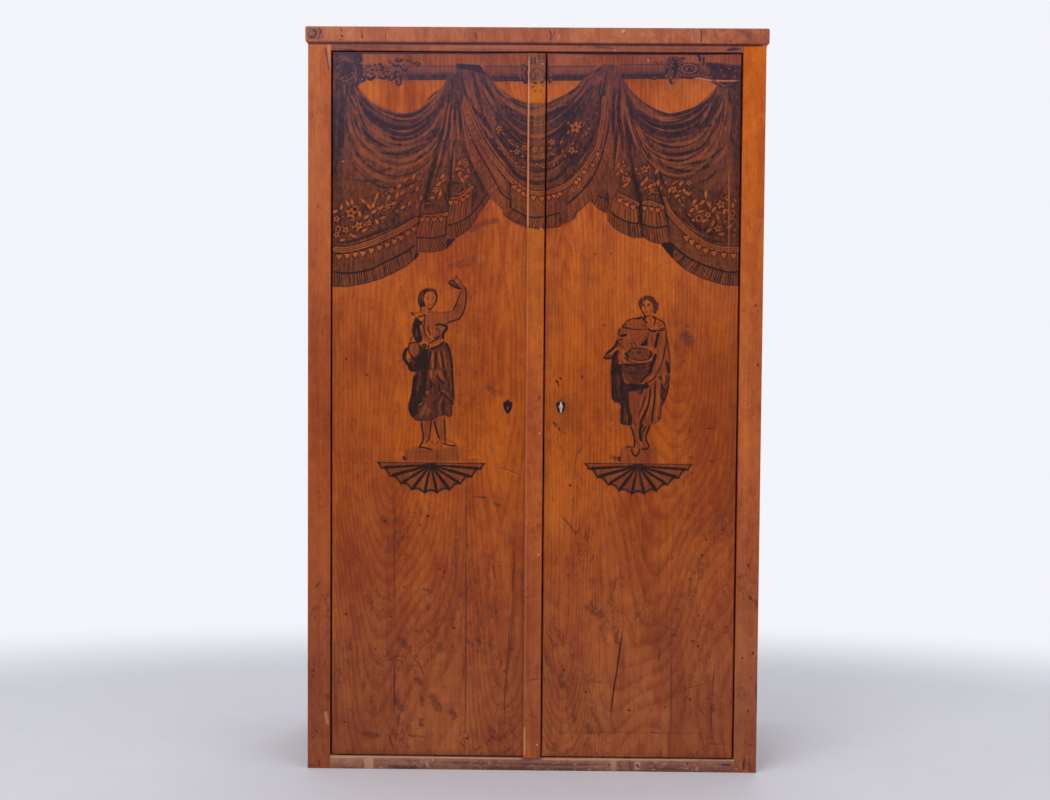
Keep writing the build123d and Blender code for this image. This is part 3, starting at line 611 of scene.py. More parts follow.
def make_floor():
    """A pale floor that runs out into the backdrop's colour."""
    mesh = bpy.data.meshes.new("floor")
    half = floor_reach / 2
    corners = [(-half, -half, 0), (half, -half, 0), (half, half, 0), (-half, half, 0)]
    mesh.from_pydata(corners, [], [(0, 1, 2, 3)])
    floor = bpy.data.objects.new("floor", mesh)
    floor.location.z = -floor_drop
    bpy.context.scene.collection.objects.link(floor)
    t = Tree("pale floor")
    speckle = t.ease(t.noise(t.place, *floor_speckle), *speckle_range)
    colour = t.mix(speckle, shaded(floor_colour, speckle_tone), floor_colour)
    plain = t.node("ShaderNodeBsdfPrincipled", Roughness=floor_rough, Base_Color=colour,
                   Specular_IOR_Level=floor_shine)
    glow = t.node("ShaderNodeEmission", Strength=white_strength, Color=wall_colour)
    reach = t.node("ShaderNodeVectorMath")
    reach.operation = "LENGTH"
    t.put(reach.inputs[0], t.stretched(*floor_spread))
    away = t.ease(reach.outputs["Value"], *floor_blend)
    blend = t.node("ShaderNodeMixShader")
    t.put(blend.inputs[0], t.times(away, camera_share(t)))
    t.put(blend.inputs[1], plain.outputs[0])
    t.put(blend.inputs[2], glow.outputs[0])
    out = t.node("ShaderNodeOutputMaterial")
    t.put(out.inputs["Surface"], blend.outputs[0])
    mesh.materials.append(t.material)


def make_world():
    """A plain soft sky, with the backdrop's colour for the camera."""
    world = bpy.data.worlds.new("studio")
    bpy.context.scene.world = world
    world.use_nodes = True
    tree = world.node_tree
    tree.nodes.clear()
    path = tree.nodes.new("ShaderNodeLightPath")
    either = tree.nodes.new("ShaderNodeMath")
    either.operation = "MAXIMUM"
    tree.links.new(path.outputs["Is Camera Ray"], either.inputs[0])
    tree.links.new(path.outputs["Is Transmission Ray"], either.inputs[1])
    mixed = tree.nodes.new("ShaderNodeMixShader")
    tree.links.new(either.outputs[0], mixed.inputs[0])
    lights = ((sky_colour, sky_strength), (wall_colour, white_strength))
    for place, (colour, strength) in enumerate(lights, 1):
        light = tree.nodes.new("ShaderNodeBackground")
        light.inputs["Color"].default_value = (*colour, 1)
        light.inputs["Strength"].default_value = strength
        tree.links.new(light.outputs[0], mixed.inputs[place])
    out = tree.nodes.new("ShaderNodeOutputWorld")
    tree.links.new(mixed.outputs[0], out.inputs["Surface"])


def make_lamp(name, place, width, watts, colour):
    """A soft square lamp aimed at the cabinet."""
    data = bpy.data.lights.new(name, "AREA")
    data.shape = "SQUARE"
    data.size = width
    data.energy = watts
    data.color = colour
    lamp = bpy.data.objects.new(name, data)
    lamp.location = place
    aim = Vector(lamp_target) - Vector(place)
    lamp.rotation_euler = aim.to_track_quat("-Z", "Y").to_euler()
    bpy.context.scene.collection.objects.link(lamp)


def make_camera():
    """The photograph's camera."""
    right, up, forward = camera_axes()
    data = bpy.data.cameras.new("camera")
    data.lens = lens_mm
    data.sensor_width = sensor_mm
    data.sensor_fit = "HORIZONTAL"
    data.clip_end = camera_far
    camera = bpy.data.objects.new("camera", data)
    turn = Matrix((right, up, -forward)).transposed().to_4x4()
    camera.matrix_world = Matrix.Translation(camera_place) @ turn
    bpy.context.scene.collection.objects.link(camera)
    bpy.context.scene.camera = camera


def make_studio():
    """Floor, sky, lamps and camera."""
    make_floor()
    make_world()
    for lamp in lamps:
        make_lamp(*lamp)
    make_camera()
    bpy.context.scene.view_settings.view_transform = "Standard"


# Penwork, painted as ink strength over the photograph's frame and then laid on the doors
pen_step = 0.5
pen_left, pen_top, pen_right, pen_bottom = 300.0, 22.0, 774.0, 776.0
curve_spacing = 0.35
curve_steps = 10

# How the pen draws its small motifs, in pixels of the photograph, strengths of ink or shares of a motif
motif_edge = 0.85
petal_rim = 1.7
petal_fat = 1.15
petal_taper = 0.40
heart_long = 0.60
heart_rim = 1.3
heart_edge = 0.95
heart_narrowing = 0.86
heart_knot = 0.62
braid_rim = 1.8
cord_taper = 0.02
thread_widths = (0.6, 0.8, 1.0, 1.5, 2.2)
fringe_paler = 0.04
fringe_darker = 0.05
least_end = 0.12


class Penwork:
    """A raster of ink strength: 0 is bare wood, 1 is full ink and below 0 is pale wear, partly painted
    highlight.
    """

    def __init__(self):
        self.xs = np.arange(pen_left, pen_right + pen_step / 2, pen_step)
        self.ys = np.arange(pen_top, pen_bottom + pen_step / 2, pen_step)
        self.ink = np.zeros((len(self.ys), len(self.xs)))
        self.origin = (0.0, 0.0)
        self.enlarged = 1.0
        self.dice = random.Random(7)

    def look(self, view):
        """Read the points that follow in an enlarged view of the photograph."""
        self.origin = view[:2]
        self.enlarged = view[2]

    def places(self, points):
        """Pixels of the photograph for points of the enlarged view."""
        return np.asarray(points, float) / self.enlarged + np.asarray(self.origin)

    def curve(self, points, smooth=True, spacing=curve_spacing):
        """Evenly dense points along a curve through the given ones."""
        given = self.places(points)
        if len(given) < 3 or not smooth:
            dense = given
        else:
            padded = np.vstack([2 * given[0] - given[1], given, 2 * given[-1] - given[-2]])
            steps = np.linspace(0, 1, curve_steps, endpoint=False)[:, None]
            runs = []
            for i in range(1, len(padded) - 2):
                a, b, c, d = padded[i - 1:i + 3]
                runs.append(b + 0.5 * steps * (c - a + steps * (2 * a - 5 * b + 4 * c - d
                            + steps * (3 * (b - c) + d - a))))
            dense = np.vstack([*runs, given[-1:]])
        lengths = np.concatenate([[0], np.cumsum(np.hypot(*np.diff(dense, axis=0).T))])
        count = max(2, int(lengths[-1] / spacing) + 1)
        along = np.linspace(0, lengths[-1], count)
        return np.column_stack([np.interp(along, lengths, dense[:, i]) for i in range(2)])

    def window(self, low, high):
        """The raster's rows and columns between two corners."""
        spans = []
        for first, last, edge, size in ((low[1], high[1], pen_top, len(self.ys)),
                                        (low[0], high[0], pen_left, len(self.xs))):
            ends = [int((first - edge) / pen_step), int((last - edge) / pen_step) + 2]
            spans.append(slice(*np.clip(ends, 0, size)))
        return spans

    def lay(self, rows, columns, cover, tone):
        """Carry the ink under a cover towards a tone."""
        patch = self.ink[rows, columns]
        patch += cover * (tone - patch)

    def stroke(self, points, width, tone, taper=0.3, soft=0.7, smooth=True, dense=None):
        """A line whose ends narrow over a share of its length."""
        line = self.curve(points, smooth) if dense is None else dense
        reach = width / 2 + soft
        rows, columns = self.window(line.min(0) - reach, line.max(0) + reach)
        xs, ys = self.xs[columns], self.ys[rows]
        if not len(xs) or not len(ys):
            return
        cover = np.zeros((len(ys), len(xs)))
        shares = np.linspace(0, 1, len(line))
        ends = np.minimum(shares, 1 - shares)
        radii = np.full(len(line), width / 2)
        if taper:
            radii *= np.clip(ends / taper, least_end, 1)
        for (x, y), radius in zip(line, radii):
            i0, i1 = np.searchsorted(xs, (x - radius - soft, x + radius + soft))
            j0, j1 = np.searchsorted(ys, (y - radius - soft, y + radius + soft))
            if i0 == i1 or j0 == j1:
                continue
            away = np.hypot(xs[None, i0:i1] - x, ys[j0:j1, None] - y)
            stamp = np.clip((radius - away) / soft + 0.5, 0, 1)
            np.maximum(cover[j0:j1, i0:i1], stamp, out=cover[j0:j1, i0:i1])
        self.lay(rows, columns, cover, tone)

    def strokes(self, table):
        """Lines given as (width, tone, points) with an optional taper and softness."""
        for width, tone, points, *rest in table:
            self.stroke(points, width, tone, *rest)

    def dot(self, place, width, tone, soft):
        """A round spot of ink."""
        self.stroke(None, width, tone, 0, soft, dense=np.array([place, place]))

    def folds(self, table):
        """Folds given as (width, tone, points)."""
        for width, tone, points in table:
            self.fold(points, width, tone)

    def fold(self, points, width, tone, taper=0.35):
        """A soft dark fold with a finer dark core."""
        line = self.curve(points)
        self.stroke(points, width * 1.25, tone * 0.93, taper, width * 0.75, dense=line)
        self.stroke(points, width * 0.45, tone, taper, 0.8, dense=line)

    def inside(self, outline, rows, columns):
        """Which points of the raster lie inside a closed outline."""
        xs, ys = self.xs[columns][None, :], self.ys[rows][:, None]
        hit = np.zeros((ys.shape[0], xs.shape[1]), bool)
        for (x0, y0), (x1, y1) in zip(outline, np.roll(outline, -1, 0)):
            if y0 == y1:
                continue
            crosses = (ys >= min(y0, y1)) & (ys < max(y0, y1))
            hit ^= crosses & (xs < x0 + (ys - y0) * (x1 - x0) / (y1 - y0))
        return hit

    def fill(self, points, tone, smooth=True, blur=1, share=1.0):
        """A washed area inside a closed outline."""
        closed = list(points) + [points[0]]
        outline = self.curve(closed, smooth, 1.0)
        reach = blur * pen_step + 1
        rows, columns = self.window(outline.min(0) - reach, outline.max(0) + reach)
        cover = self.inside(outline, rows, columns).astype(float)
        for axis in (0, 1):
            for _ in range(blur):
                before = np.roll(cover, 1, axis)
                after = np.roll(cover, -1, axis)
                cover = (before + 2 * cover + after) / 4
        self.lay(rows, columns, share * cover, tone)

    def petals(self, places, size, tone, edge=motif_edge):
        """Small light ovals with dark outlines, as (x, y, turn, length share)."""
        for x, y, *rest in places:
            turn = math.radians(rest[0] if rest else self.dice.uniform(0, 180))
            long = rest[1] if len(rest) > 1 else 1.3
            centre = self.places([(x, y)])[0]
            half = size * long / 2
            tip = np.array([math.cos(turn), -math.sin(turn)]) * half
            line = np.linspace(centre - tip, centre + tip, 12)
            self.stroke(None, size + petal_rim, edge, taper=petal_taper, soft=0.9, dense=line)
            self.stroke(None, petal_fat * size, tone, taper=petal_taper, soft=0.7, dense=line)

    def leaves(self, places, size=2.8, tone=0.15, edge=0.92):
        """Long light leaves with dark outlines, as (x, y, turn, length)."""
        ovals = [(x, y, turn, rest[0] if rest else 2.3) for x, y, turn, *rest in places]
        self.petals(ovals, size, tone, edge)

    def petal_row(self, start, step, bend, turns, long, count, size, tone):
        """Petals along a bending row, turned one way and the other."""
        places = []
        for i in range(count):
            x, y = (start[k] + step[k] * i + bend[k] * i * i for k in (0, 1))
            places.append((x, y, turns[i % 2], long))
        self.petals(places, size, tone)

    def rings(self, places, tone, edge=motif_edge):
        """Open blossoms, as (x, y, radius in pixels)."""
        angles = np.linspace(0, 2 * math.pi, 28)
        circle = np.column_stack([np.cos(angles), np.sin(angles)])
        for x, y, radius in places:
            centre = self.places([(x, y)])[0]
            self.dot(centre, 2.4 * radius, edge, soft=1.0)
            self.stroke(None, 1.5, tone, taper=0, soft=0.8, dense=centre + radius * circle)
            self.dot(centre, 1.2, edge, soft=0.8)

    def blossom(self, x, y, radius=2.6, tone=0.16, petals=5):
        """A round flower with light petals and a dark eye."""
        centre = self.places([(x, y)])[0]
        radius = 1.15 * radius
        start = self.dice.uniform(0, 360)
        self.dot(centre, 2.7 * radius, 0.90, soft=1.0)
        for i in range(petals):
            turn = math.radians(start + 360 * i / petals)
            out = np.array([math.cos(turn), math.sin(turn)])
            line = np.linspace(centre + out * radius * 0.45, centre + out * radius * 1.05, 8)
            shade = tone + self.dice.uniform(0, 0.2)
            self.stroke(None, radius * 0.74, shade, taper=0.3, soft=0.6, dense=line)
        self.dot(centre, radius * 0.5, 0.92, soft=0.6)

    def blossoms(self, table):
        """Open flowers, given as places with their radius."""
        for x, y, radius in table:
            self.blossom(x, y, radius=radius)

    def drops(self, places, size=5.2, tone=0.26):
        """A row of hearts that hang from a braid."""
        lobe_aside, lobe_rise, lobe_fat = 0.25 * size, 0.14 * size, 0.56 * size
        for x, y, *rest in places:
            centre = self.places([(x, y)])[0]
            foot = centre + np.array([rest[0] if rest else 0.0, heart_long * size])
            for wider, shade in ((heart_rim, heart_edge), (0.0, tone - 0.12)):
                for side in (-1, 1):
                    lobe = centre + np.array([side * lobe_aside, -lobe_rise])
                    for share in np.linspace(0, 1, 9):
                        width = lobe_fat * (1 - heart_narrowing * share) + wider
                        self.dot(lobe + (foot - lobe) * share, width, shade, soft=0.6)
            self.dot(centre - np.array([0, heart_knot * size]), 1.5, 0.90, soft=0.7)

    def normals(self, line):
        """Unit vectors square to a line at each of its points."""
        along = np.gradient(line, axis=0)
        along /= np.maximum(np.hypot(*along.T)[:, None], 1e-9)
        return np.column_stack([-along[:, 1], along[:, 0]])

    def braid(self, points, width=5.6, tone=0.30, threads=3):
        """A light braid between dark edges, parted by fine dark threads."""
        line = self.curve(points)
        side = self.normals(line)
        self.stroke(None, width + braid_rim, 0.94, taper=cord_taper, soft=0.9, dense=line)
        self.stroke(None, width, tone - 0.06, taper=cord_taper, dense=line)
        for i in range(1, threads):
            offset = (i / threads - 0.5) * width
            self.stroke(None, 0.8, 0.80, taper=cord_taper, soft=0.6, dense=line + side * offset)

    def beads(self, points, width=1.9, pitch=2.3):
        """A dark cord with small light beads above it."""
        line = self.curve(points)
        side = self.normals(line)
        self.stroke(None, width, 0.95, taper=cord_taper, dense=line)
        every = max(1, int(pitch / curve_spacing))
        for place, away in zip(line[::every], side[::every]):
            self.dot(place - away * width * 0.55, 0.9, 0.45, soft=0.7)

    def between(self, first, last, count, width, tones, jitter=0.6, taper=0.45):
        """Lines that pass step by step from one curve to another."""
        a, b = self.curve(first), self.curve(last)
        size = max(len(a), len(b))
        grid = np.linspace(0, 1, size)
        a, b = (np.column_stack([np.interp(grid, np.linspace(0, 1, len(line)), line[:, i])
                                 for i in range(2)]) for line in (a, b))
        for i in range(count):
            share = (i + 0.5 + self.dice.uniform(-0.45, 0.45)) / count
            most = self.dice.uniform(-jitter, jitter)
            wave = np.sin(grid * math.pi * self.dice.uniform(1, 2.5))[:, None]
            line = a + (b - a) * share + most * wave
            start = int(size * self.dice.uniform(0, 0.42))
            stop = int(size * self.dice.uniform(0.62, 1.0))
            thick = width * self.dice.choice(thread_widths)
            self.stroke(None, thick, tones[i % len(tones)], taper, soft=max(0.8, 0.7 * thick),
                        dense=line[start:stop])

    def fringe(self, top, bottom, pitch=2.25, ground=0.62, light=0.36, dark=0.92, width=1.15):
        """Hanging threads from one curve to another."""
        light, dark = light + fringe_paler, dark + fringe_darker
        high, low = self.curve(top), self.curve(bottom)
        outline = np.vstack([high, low[::-1]])
        rows, columns = self.window(outline.min(0) - 1, outline.max(0) + 1)
        cover = self.inside(outline, rows, columns).astype(float)
        self.lay(rows, columns, cover, ground)
        length = np.hypot(*np.diff(high, axis=0).T).sum()
        count = max(2, int(length / pitch))
        for i in range(count + 1):
            for step, tone, thick in ((0.0, light, width), (0.5, dark, width * 0.85)):
                at = i / count + (step + self.dice.uniform(-0.22, 0.22)) / count
                at = min(1.0, max(0.0, at))
                start = high[int(at * (len(high) - 1))]
                stop = low[int(at * (len(low) - 1))]
                sway = np.array([self.dice.uniform(-0.35, 0.35), 0])
                shade = ground + (tone - ground) * self.dice.uniform(0.35, 1.0)
                thread = thick * self.dice.uniform(0.85, 1.25)
                self.stroke(None, thread, shade, taper=0.06, soft=0.9,
                            dense=np.linspace(start, stop + sway, 24))
        self.stroke(None, 0.8, dark * 0.85, taper=0, dense=low)


# Enlarged views in which the points were read: left and top pixel, then the enlargement
whole_view = (0.0, 0.0, 1.0)
left_swag_view = (326.0, 50.0, 12.44)
mount_view = (356.0, 50.0, 22.4)
left_hem_view = (326.0, 165.0, 12.35)
centre_view = (440.0, 50.0, 13.07)
tails_view = (410.0, 140.0, 10.45)
centre_right_view = (535.0, 50.0, 13.07)
right_swag_view = (620.0, 50.0, 12.54)
right_tails_view = (575.0, 150.0, 12.54)
right_hem_view = (620.0, 165.0, 12.35)
strip_view = (515.0, 50.0, 34.84)
woman_view = (398.0, 272.0, 16.0)
woman_foot_view = (398.0, 360.0, 14.51)
man_view = (600.0, 285.0, 17.42)
man_foot_view = (600.0, 365.0, 14.93)
left_pair_view = (325.0, 140.0, 5.2)
right_pair_view = (535.0, 140.0, 5.2)
middle_pair_view = (440.0, 120.0, 6.78)

wash = 0.63
deep = 0.90


def oval(middle, wide, tall, lean, angles):
    """Points round a leaning oval."""
    return [(middle[0] + wide * math.cos(angle) + lean * math.sin(angle),
             middle[1] + tall * math.sin(angle)) for angle in angles]


def round_angles(count):
    """Angles of even steps once round."""
    return [math.radians(360 / count * i) for i in range(count + 1)]


def paint_rod(pen):
    """The turned rod behind the drapery, with a dark underside."""
    pen.look(whole_view)
    lengths = ((400, 464, 66.2, 80.0), (484, 528, 66.2, 81.4), (546, 596, 66.4, 80.6),
               (620, 672, 64.6, 79.0))
    # Lines along the rod: below its top or, where negative, above its foot, then width, tone, softness
    shading = ((0.0, 1.1, 0.72, 0.7), (2.4, 2.6, 0.30, 1.6), (4.6, 0.9, 0.52, 0.7), (6.0, 2.2, 0.34, 1.4),
               (-6.6, 3.4, 0.62, 3.0), (-3.2, 4.6, 0.86, 3.0), (-0.6, 1.4, 0.90, 0.7))
    slope = 0.2
    for left, right, top, foot in lengths:
        pen.fill([(left, top), (right, top - slope), (right, foot), (left, foot)], tone=0.44, smooth=False)
        for below, width, tone, soft in shading:
            height = top + below if below >= 0 else foot + below
            pen.stroke([(left, height), (right, height - slope)], width, tone, taper=0.0, soft=soft)


def paint_left_swag(pen):
    """The left curtain: wash, falling folds, band of flowers, braid, hearts and fringe."""
    pen.look(whole_view)
    cloth = [
        (357, 86), (363, 93), (372, 102), (385, 108.5), (397, 112.7), (405, 113.3), (415, 111),
        (425, 104.5), (435, 96), (446, 82), (452, 82), (448, 110), (438, 150), (428, 195), (419, 240),
        (418.5, 253), (410, 262), (395, 273), (380, 279.3), (360, 284.8), (345, 287), (331, 286.6),
        (331, 86), (340, 82)]
    pen.fill(cloth, tone=wash, smooth=False)
    side_shade = [(331, 86), (342, 84), (345, 120), (343, 180), (341, 287), (331, 287)]
    pen.fill(side_shade, tone=0.72, smooth=False, blur=6, share=0.8)
    pen.look(left_swag_view)
    folds = (
        (1.9, 0.86, [(370, 450), (440, 545), (520, 640), (620, 722), (740, 775), (850, 805), (960, 808),
         (1080, 795), (1180, 765)]),
        (2.8, 0.88, [(380, 530), (450, 615), (540, 695), (640, 755), (760, 815), (860, 872), (960, 888),
         (1045, 882)]),
        (4.6, 0.90, [(395, 630), (460, 725), (560, 835), (680, 905), (800, 952), (900, 962), (1020, 940),
         (1130, 890), (1250, 830), (1350, 780)]),
        (3.4, 0.86, [(850, 1005), (920, 1030), (1000, 1000), (1080, 960), (1200, 890), (1310, 850)]),
        (3.6, 0.88, [(285, 740), (360, 860), (430, 960), (520, 1060), (620, 1140), (720, 1185),
         (800, 1195), (900, 1180), (1040, 1130), (1180, 1080), (1340, 1015)]),
        (2.4, 0.86, [(415, 1105), (480, 1190), (560, 1250), (660, 1280), (780, 1285), (900, 1290),
         (1000, 1270), (1120, 1220), (1240, 1170), (1350, 1125)]),
        (1.8, 0.74, [(260, 1060), (300, 1180), (360, 1280), (470, 1350), (600, 1392), (740, 1390),
         (880, 1350), (1000, 1310), (1150, 1260)]),
        (3.2, 0.76, [(240, 470), (222, 640), (215, 800), (205, 1000), (190, 1200)]),
        (2.4, 0.76, [(330, 880), (400, 1010), (500, 1130)]))
    pen.folds(folds)
    fine_folds = [
        (1.3, 0.90, [(270, 530), (300, 600), (335, 680), (372, 762)]),
        (1.1, 0.38, [(300, 520), (340, 610), (380, 690), (398, 768), (365, 775), (330, 690)]),
        (1.0, 0.84, [(930, 826), (1000, 832), (1100, 822), (1200, 790), (1330, 738)]),
        (1.2, 0.88, [(1110, 778), (1190, 752), (1300, 682), (1480, 468)]),
        (1.8, 0.90, [(1230, 655), (1330, 560), (1425, 480)]),
        (1.3, 0.40, [(1210, 760), (1320, 660), (1400, 570), (1490, 430)]),
        (1.1, 0.42, [(450, 540), (530, 625), (640, 700), (760, 752)]),
        (1.6, 0.42, [(640, 745), (740, 790), (840, 818), (900, 850), (1050, 860), (1150, 830)]),
        (1.5, 0.44, [(500, 742), (600, 815), (700, 868), (820, 915), (920, 925), (1040, 905)]),
        (1.0, 0.84, [(160, 560), (125, 640), (98, 700)]),
        (0.9, 0.80, [(215, 560), (190, 700), (170, 850), (120, 1000)]),
        (0.9, 0.84, [(180, 870), (130, 1000), (100, 1160)]),
        (0.9, 0.82, [(215, 1120), (160, 1230), (110, 1290)]),
        (1.0, 0.46, [(190, 600), (160, 760), (110, 850)]),
        (1.0, 0.48, [(235, 560), (232, 900), (225, 1290)]),
        (0.9, 0.46, [(260, 840), (300, 980), (380, 1100)]),
        (1.1, 0.82, [(840, 1030), (842, 1080), (862, 1118)])]
    pen.strokes(fine_folds)
    # Broad light bellies of the cloth between the folds
    bellies = (
        (7.0, 0.46, [(560, 980), (680, 1060), (790, 1110)]),
        (5.0, 0.48, [(900, 1085), (1040, 1060), (1180, 990)]),
        (3.2, 0.42, [(560, 1175), (680, 1228), (800, 1240), (930, 1225), (1080, 1180)]),
        (4.5, 0.50, [(330, 1180), (430, 1270), (540, 1320), (700, 1340)]),
        (2.6, 0.46, [(1180, 960), (1260, 930), (1330, 900)]),
        (3.0, 0.48, [(1010, 1370), (1120, 1330), (1200, 1270)]),
        (2.2, 0.50, [(330, 900), (420, 1040), (520, 1120)]))
    for width, tone, points in bellies:
        pen.stroke(points, width=width, tone=tone, taper=0.45, soft=width * 0.9)
    # Folds gathered at the loop, that fan down to the hem
    gathered_folds = (
        (1.4, 0.90, [(1500, 450), (1450, 560), (1400, 640), (1345, 705)]),
        (2.2, 0.90, [(1545, 540), (1480, 700), (1440, 800), (1395, 900), (1330, 1030)]),
        (2.0, 0.88, [(1568, 690), (1500, 900), (1450, 1050), (1400, 1200), (1350, 1350), (1325, 1493)]),
        (1.6, 0.90, [(1568, 860), (1535, 1000), (1500, 1130)]),
        (1.7, 0.88, [(1275, 1235), (1180, 1310), (1095, 1405)]),
        (1.2, 0.84, [(1310, 1140), (1200, 1230), (1060, 1300)]),
        (1.4, 0.84, [(1568, 1060), (1530, 1250), (1470, 1493)]))
    for width, tone, points in gathered_folds:
        pen.stroke(points, width=width, tone=tone, taper=0.35, soft=0.9)
    gathered_lights = (
        (1.2, [(1530, 590), (1470, 740), (1410, 860), (1350, 960)]),
        (1.4, [(1560, 640), (1490, 870), (1420, 1050), (1340, 1200)]),
        (1.4, [(1568, 790), (1520, 960), (1450, 1120), (1380, 1290)]),
        (1.0, [(1290, 1240), (1210, 1340), (1110, 1440)]),
        (1.0, [(1240, 1215), (1150, 1290), (1060, 1370)]),
        (1.4, [(1440, 1200), (1400, 1320), (1360, 1480)]),
        (1.0, [(1545, 880), (1500, 1020), (1460, 1150)]))
    for width, points in gathered_lights:
        pen.stroke(points, width=width, tone=0.38, taper=0.4, soft=0.9)
    holes = [
        (1.6, -0.05, [(205, 1388), (212, 1384)], 0.0), (1.8, -0.05, [(495, 1412), (500, 1420)], 0.0),
        (1.6, 0.92, [(722, 1000), (726, 1008)], 0.0)]
    pen.strokes(holes)
    pen.look(left_hem_view)
    band_ground = [
        (95, 500), (250, 470), (400, 420), (560, 345), (700, 315), (860, 245), (960, 175), (1060, 120),
        (1210, 110), (1150, 640), (1000, 690), (850, 752), (700, 805), (560, 862), (400, 915), (250, 945),
        (95, 935)]
    pen.fill(band_ground, tone=0.66, smooth=False, blur=5, share=0.6)
    band_folds = [
        (2.2, 0.80, [(230, 168), (400, 190), (520, 200), (700, 190), (860, 158), (1000, 100)], 0.4, 2.0),
        (1.2, 0.82, [(640, 92), (760, 52), (900, 0)]),
        (3.6, 0.46, [(600, 150), (760, 110), (900, 60)], 0.4, 2.5),
        (2.4, 0.80, [(1010, 330), (940, 440), (840, 560), (760, 690)], 0.4, 1.4),
        (2.2, 0.84, [(1180, 250), (1080, 330), (980, 350)], 0.4),
        (1.6, 0.84, [(900, 130), (920, 220), (1010, 250)]),
        (4.0, 0.80, [(100, 930), (250, 955), (400, 915), (560, 862), (700, 805), (850, 755), (1000, 692),
         (1140, 622)], 0.1, 2.0),
        (0.9, 0.50, [(120, 965), (260, 978), (420, 940), (600, 880), (780, 805)]),
        (0.9, 0.52, [(110, 905), (260, 925), (400, 890), (520, 850)])]
    pen.strokes(band_folds)
    leaf = 0.24
    band_leaves = [
        (280, 465, 118, 2.0), (490, 440, 142, 3.2), (628, 380, 92, 3.4), (606, 455, 80, 2.0),
        (640, 530, 12, 2.2), (655, 590, 16, 2.4), (690, 492, 20, 2.0), (770, 500, 28, 3.0),
        (720, 560, 30, 1.8), (600, 590, 0, 1.2), (630, 700, 125, 2.6), (600, 660, 130, 1.6),
        (740, 350, 100, 1.6), (760, 395, 20, 1.6), (835, 290, 95, 1.8), (800, 335, 140, 1.2),
        (905, 370, 60, 1.6), (955, 520, 100, 2.4), (1115, 500, 100, 3.6), (1095, 430, 60, 1.6),
        (1165, 150, 160, 1.6), (1130, 185, 30, 1.4), (1035, 290, 55, 2.6), (1010, 375, 10, 1.8),
        (1180, 310, 20, 1.4), (835, 680, 60, 2.4), (990, 600, 80, 2.0), (180, 510, 20, 2.6),
        (215, 640, 80, 1.4), (150, 750, 10, 1.6), (165, 840, 60, 1.8), (130, 880, 20, 1.2),
        (480, 835, 30, 1.2), (560, 800, 150, 1.3), (700, 700, 40, 1.4)]
    pen.petals(band_leaves, size=1.7, tone=leaf)
    band_petals = [
        (270, 575, 0, 1.2), (260, 800, 30, 1.2), (305, 860, 120, 1.2), (340, 765, 60, 1.2),
        (400, 728, 40, 1.3), (480, 735, 10, 1.8), (380, 800, 120, 1.2), (880, 570, 0, 1.4),
        (310, 665, 90, 1.2), (360, 520, 60, 1.2), (385, 575, 100, 1.2), (290, 620, 140, 1.2)]
    pen.petals(band_petals, size=2.6, tone=leaf)
    band_blossoms = [(360, 545, 2.6), (150, 790, 2.2), (320, 650, 2.0)]
    pen.rings(band_blossoms, tone=leaf)
    band_stems = [
        (0.9, 0.92, [(575, 520), (580, 620), (640, 720), (695, 782)]),
        (0.9, 0.92, [(560, 380), (575, 470), (560, 540)]),
        (0.8, 0.90, [(440, 520), (520, 560), (570, 600)]),
        (0.9, 0.92, [(820, 560), (900, 640), (900, 700)]),
        (1.6, 0.92, [(960, 580), (1000, 480), (1045, 555)]),
        (1.4, 0.92, [(470, 560), (450, 600), (460, 560)]), (1.8, 0.90, [(180, 555), (190, 565)], 0.0),
        (1.4, 0.90, [(860, 620), (830, 700), (850, 740)]),
        (1.2, 0.92, [(640, 560), (700, 640), (760, 640)]),
        (0.8, 0.46, [(470, 600), (520, 700), (600, 770)])]
    pen.strokes(band_stems)
    net_top = [
        (95, 1085), (250, 1085), (400, 1055), (560, 1005), (700, 945), (850, 872), (1000, 795),
        (1130, 715)]
    net_foot = [
        (95, 1315), (230, 1335), (400, 1320), (560, 1280), (700, 1210), (850, 1140), (1000, 1060),
        (1100, 985)]
    pen.fringe(net_top, net_foot, pitch=2.0, ground=0.60, light=0.48, dark=0.76, width=0.9)
    threads_top = [
        (95, 1320), (230, 1340), (400, 1325), (560, 1285), (700, 1215), (850, 1145), (1000, 1065),
        (1105, 985)]
    threads_foot = [
        (95, 1495), (250, 1503), (400, 1478), (560, 1440), (700, 1392), (850, 1322), (1000, 1242),
        (1140, 1120)]
    pen.fringe(threads_top, threads_foot)
    braid_line = [
        (95, 1042), (250, 1044), (400, 1012), (560, 962), (700, 902), (850, 832), (1000, 752),
        (1135, 668)]
    pen.braid(braid_line)
    pen.beads(net_foot)
    hearts = [
        (160, 1132), (262, 1120), (360, 1104), (455, 1090), (560, 1055), (660, 1022), (755, 985),
        (840, 945), (930, 898), (1010, 842), (1088, 790)]
    pen.drops(hearts)
    loose_end = [(1095, 1085), (1155, 1080), (1130, 1125), (1090, 1180)]
    pen.fill(loose_end, tone=0.92, smooth=False)


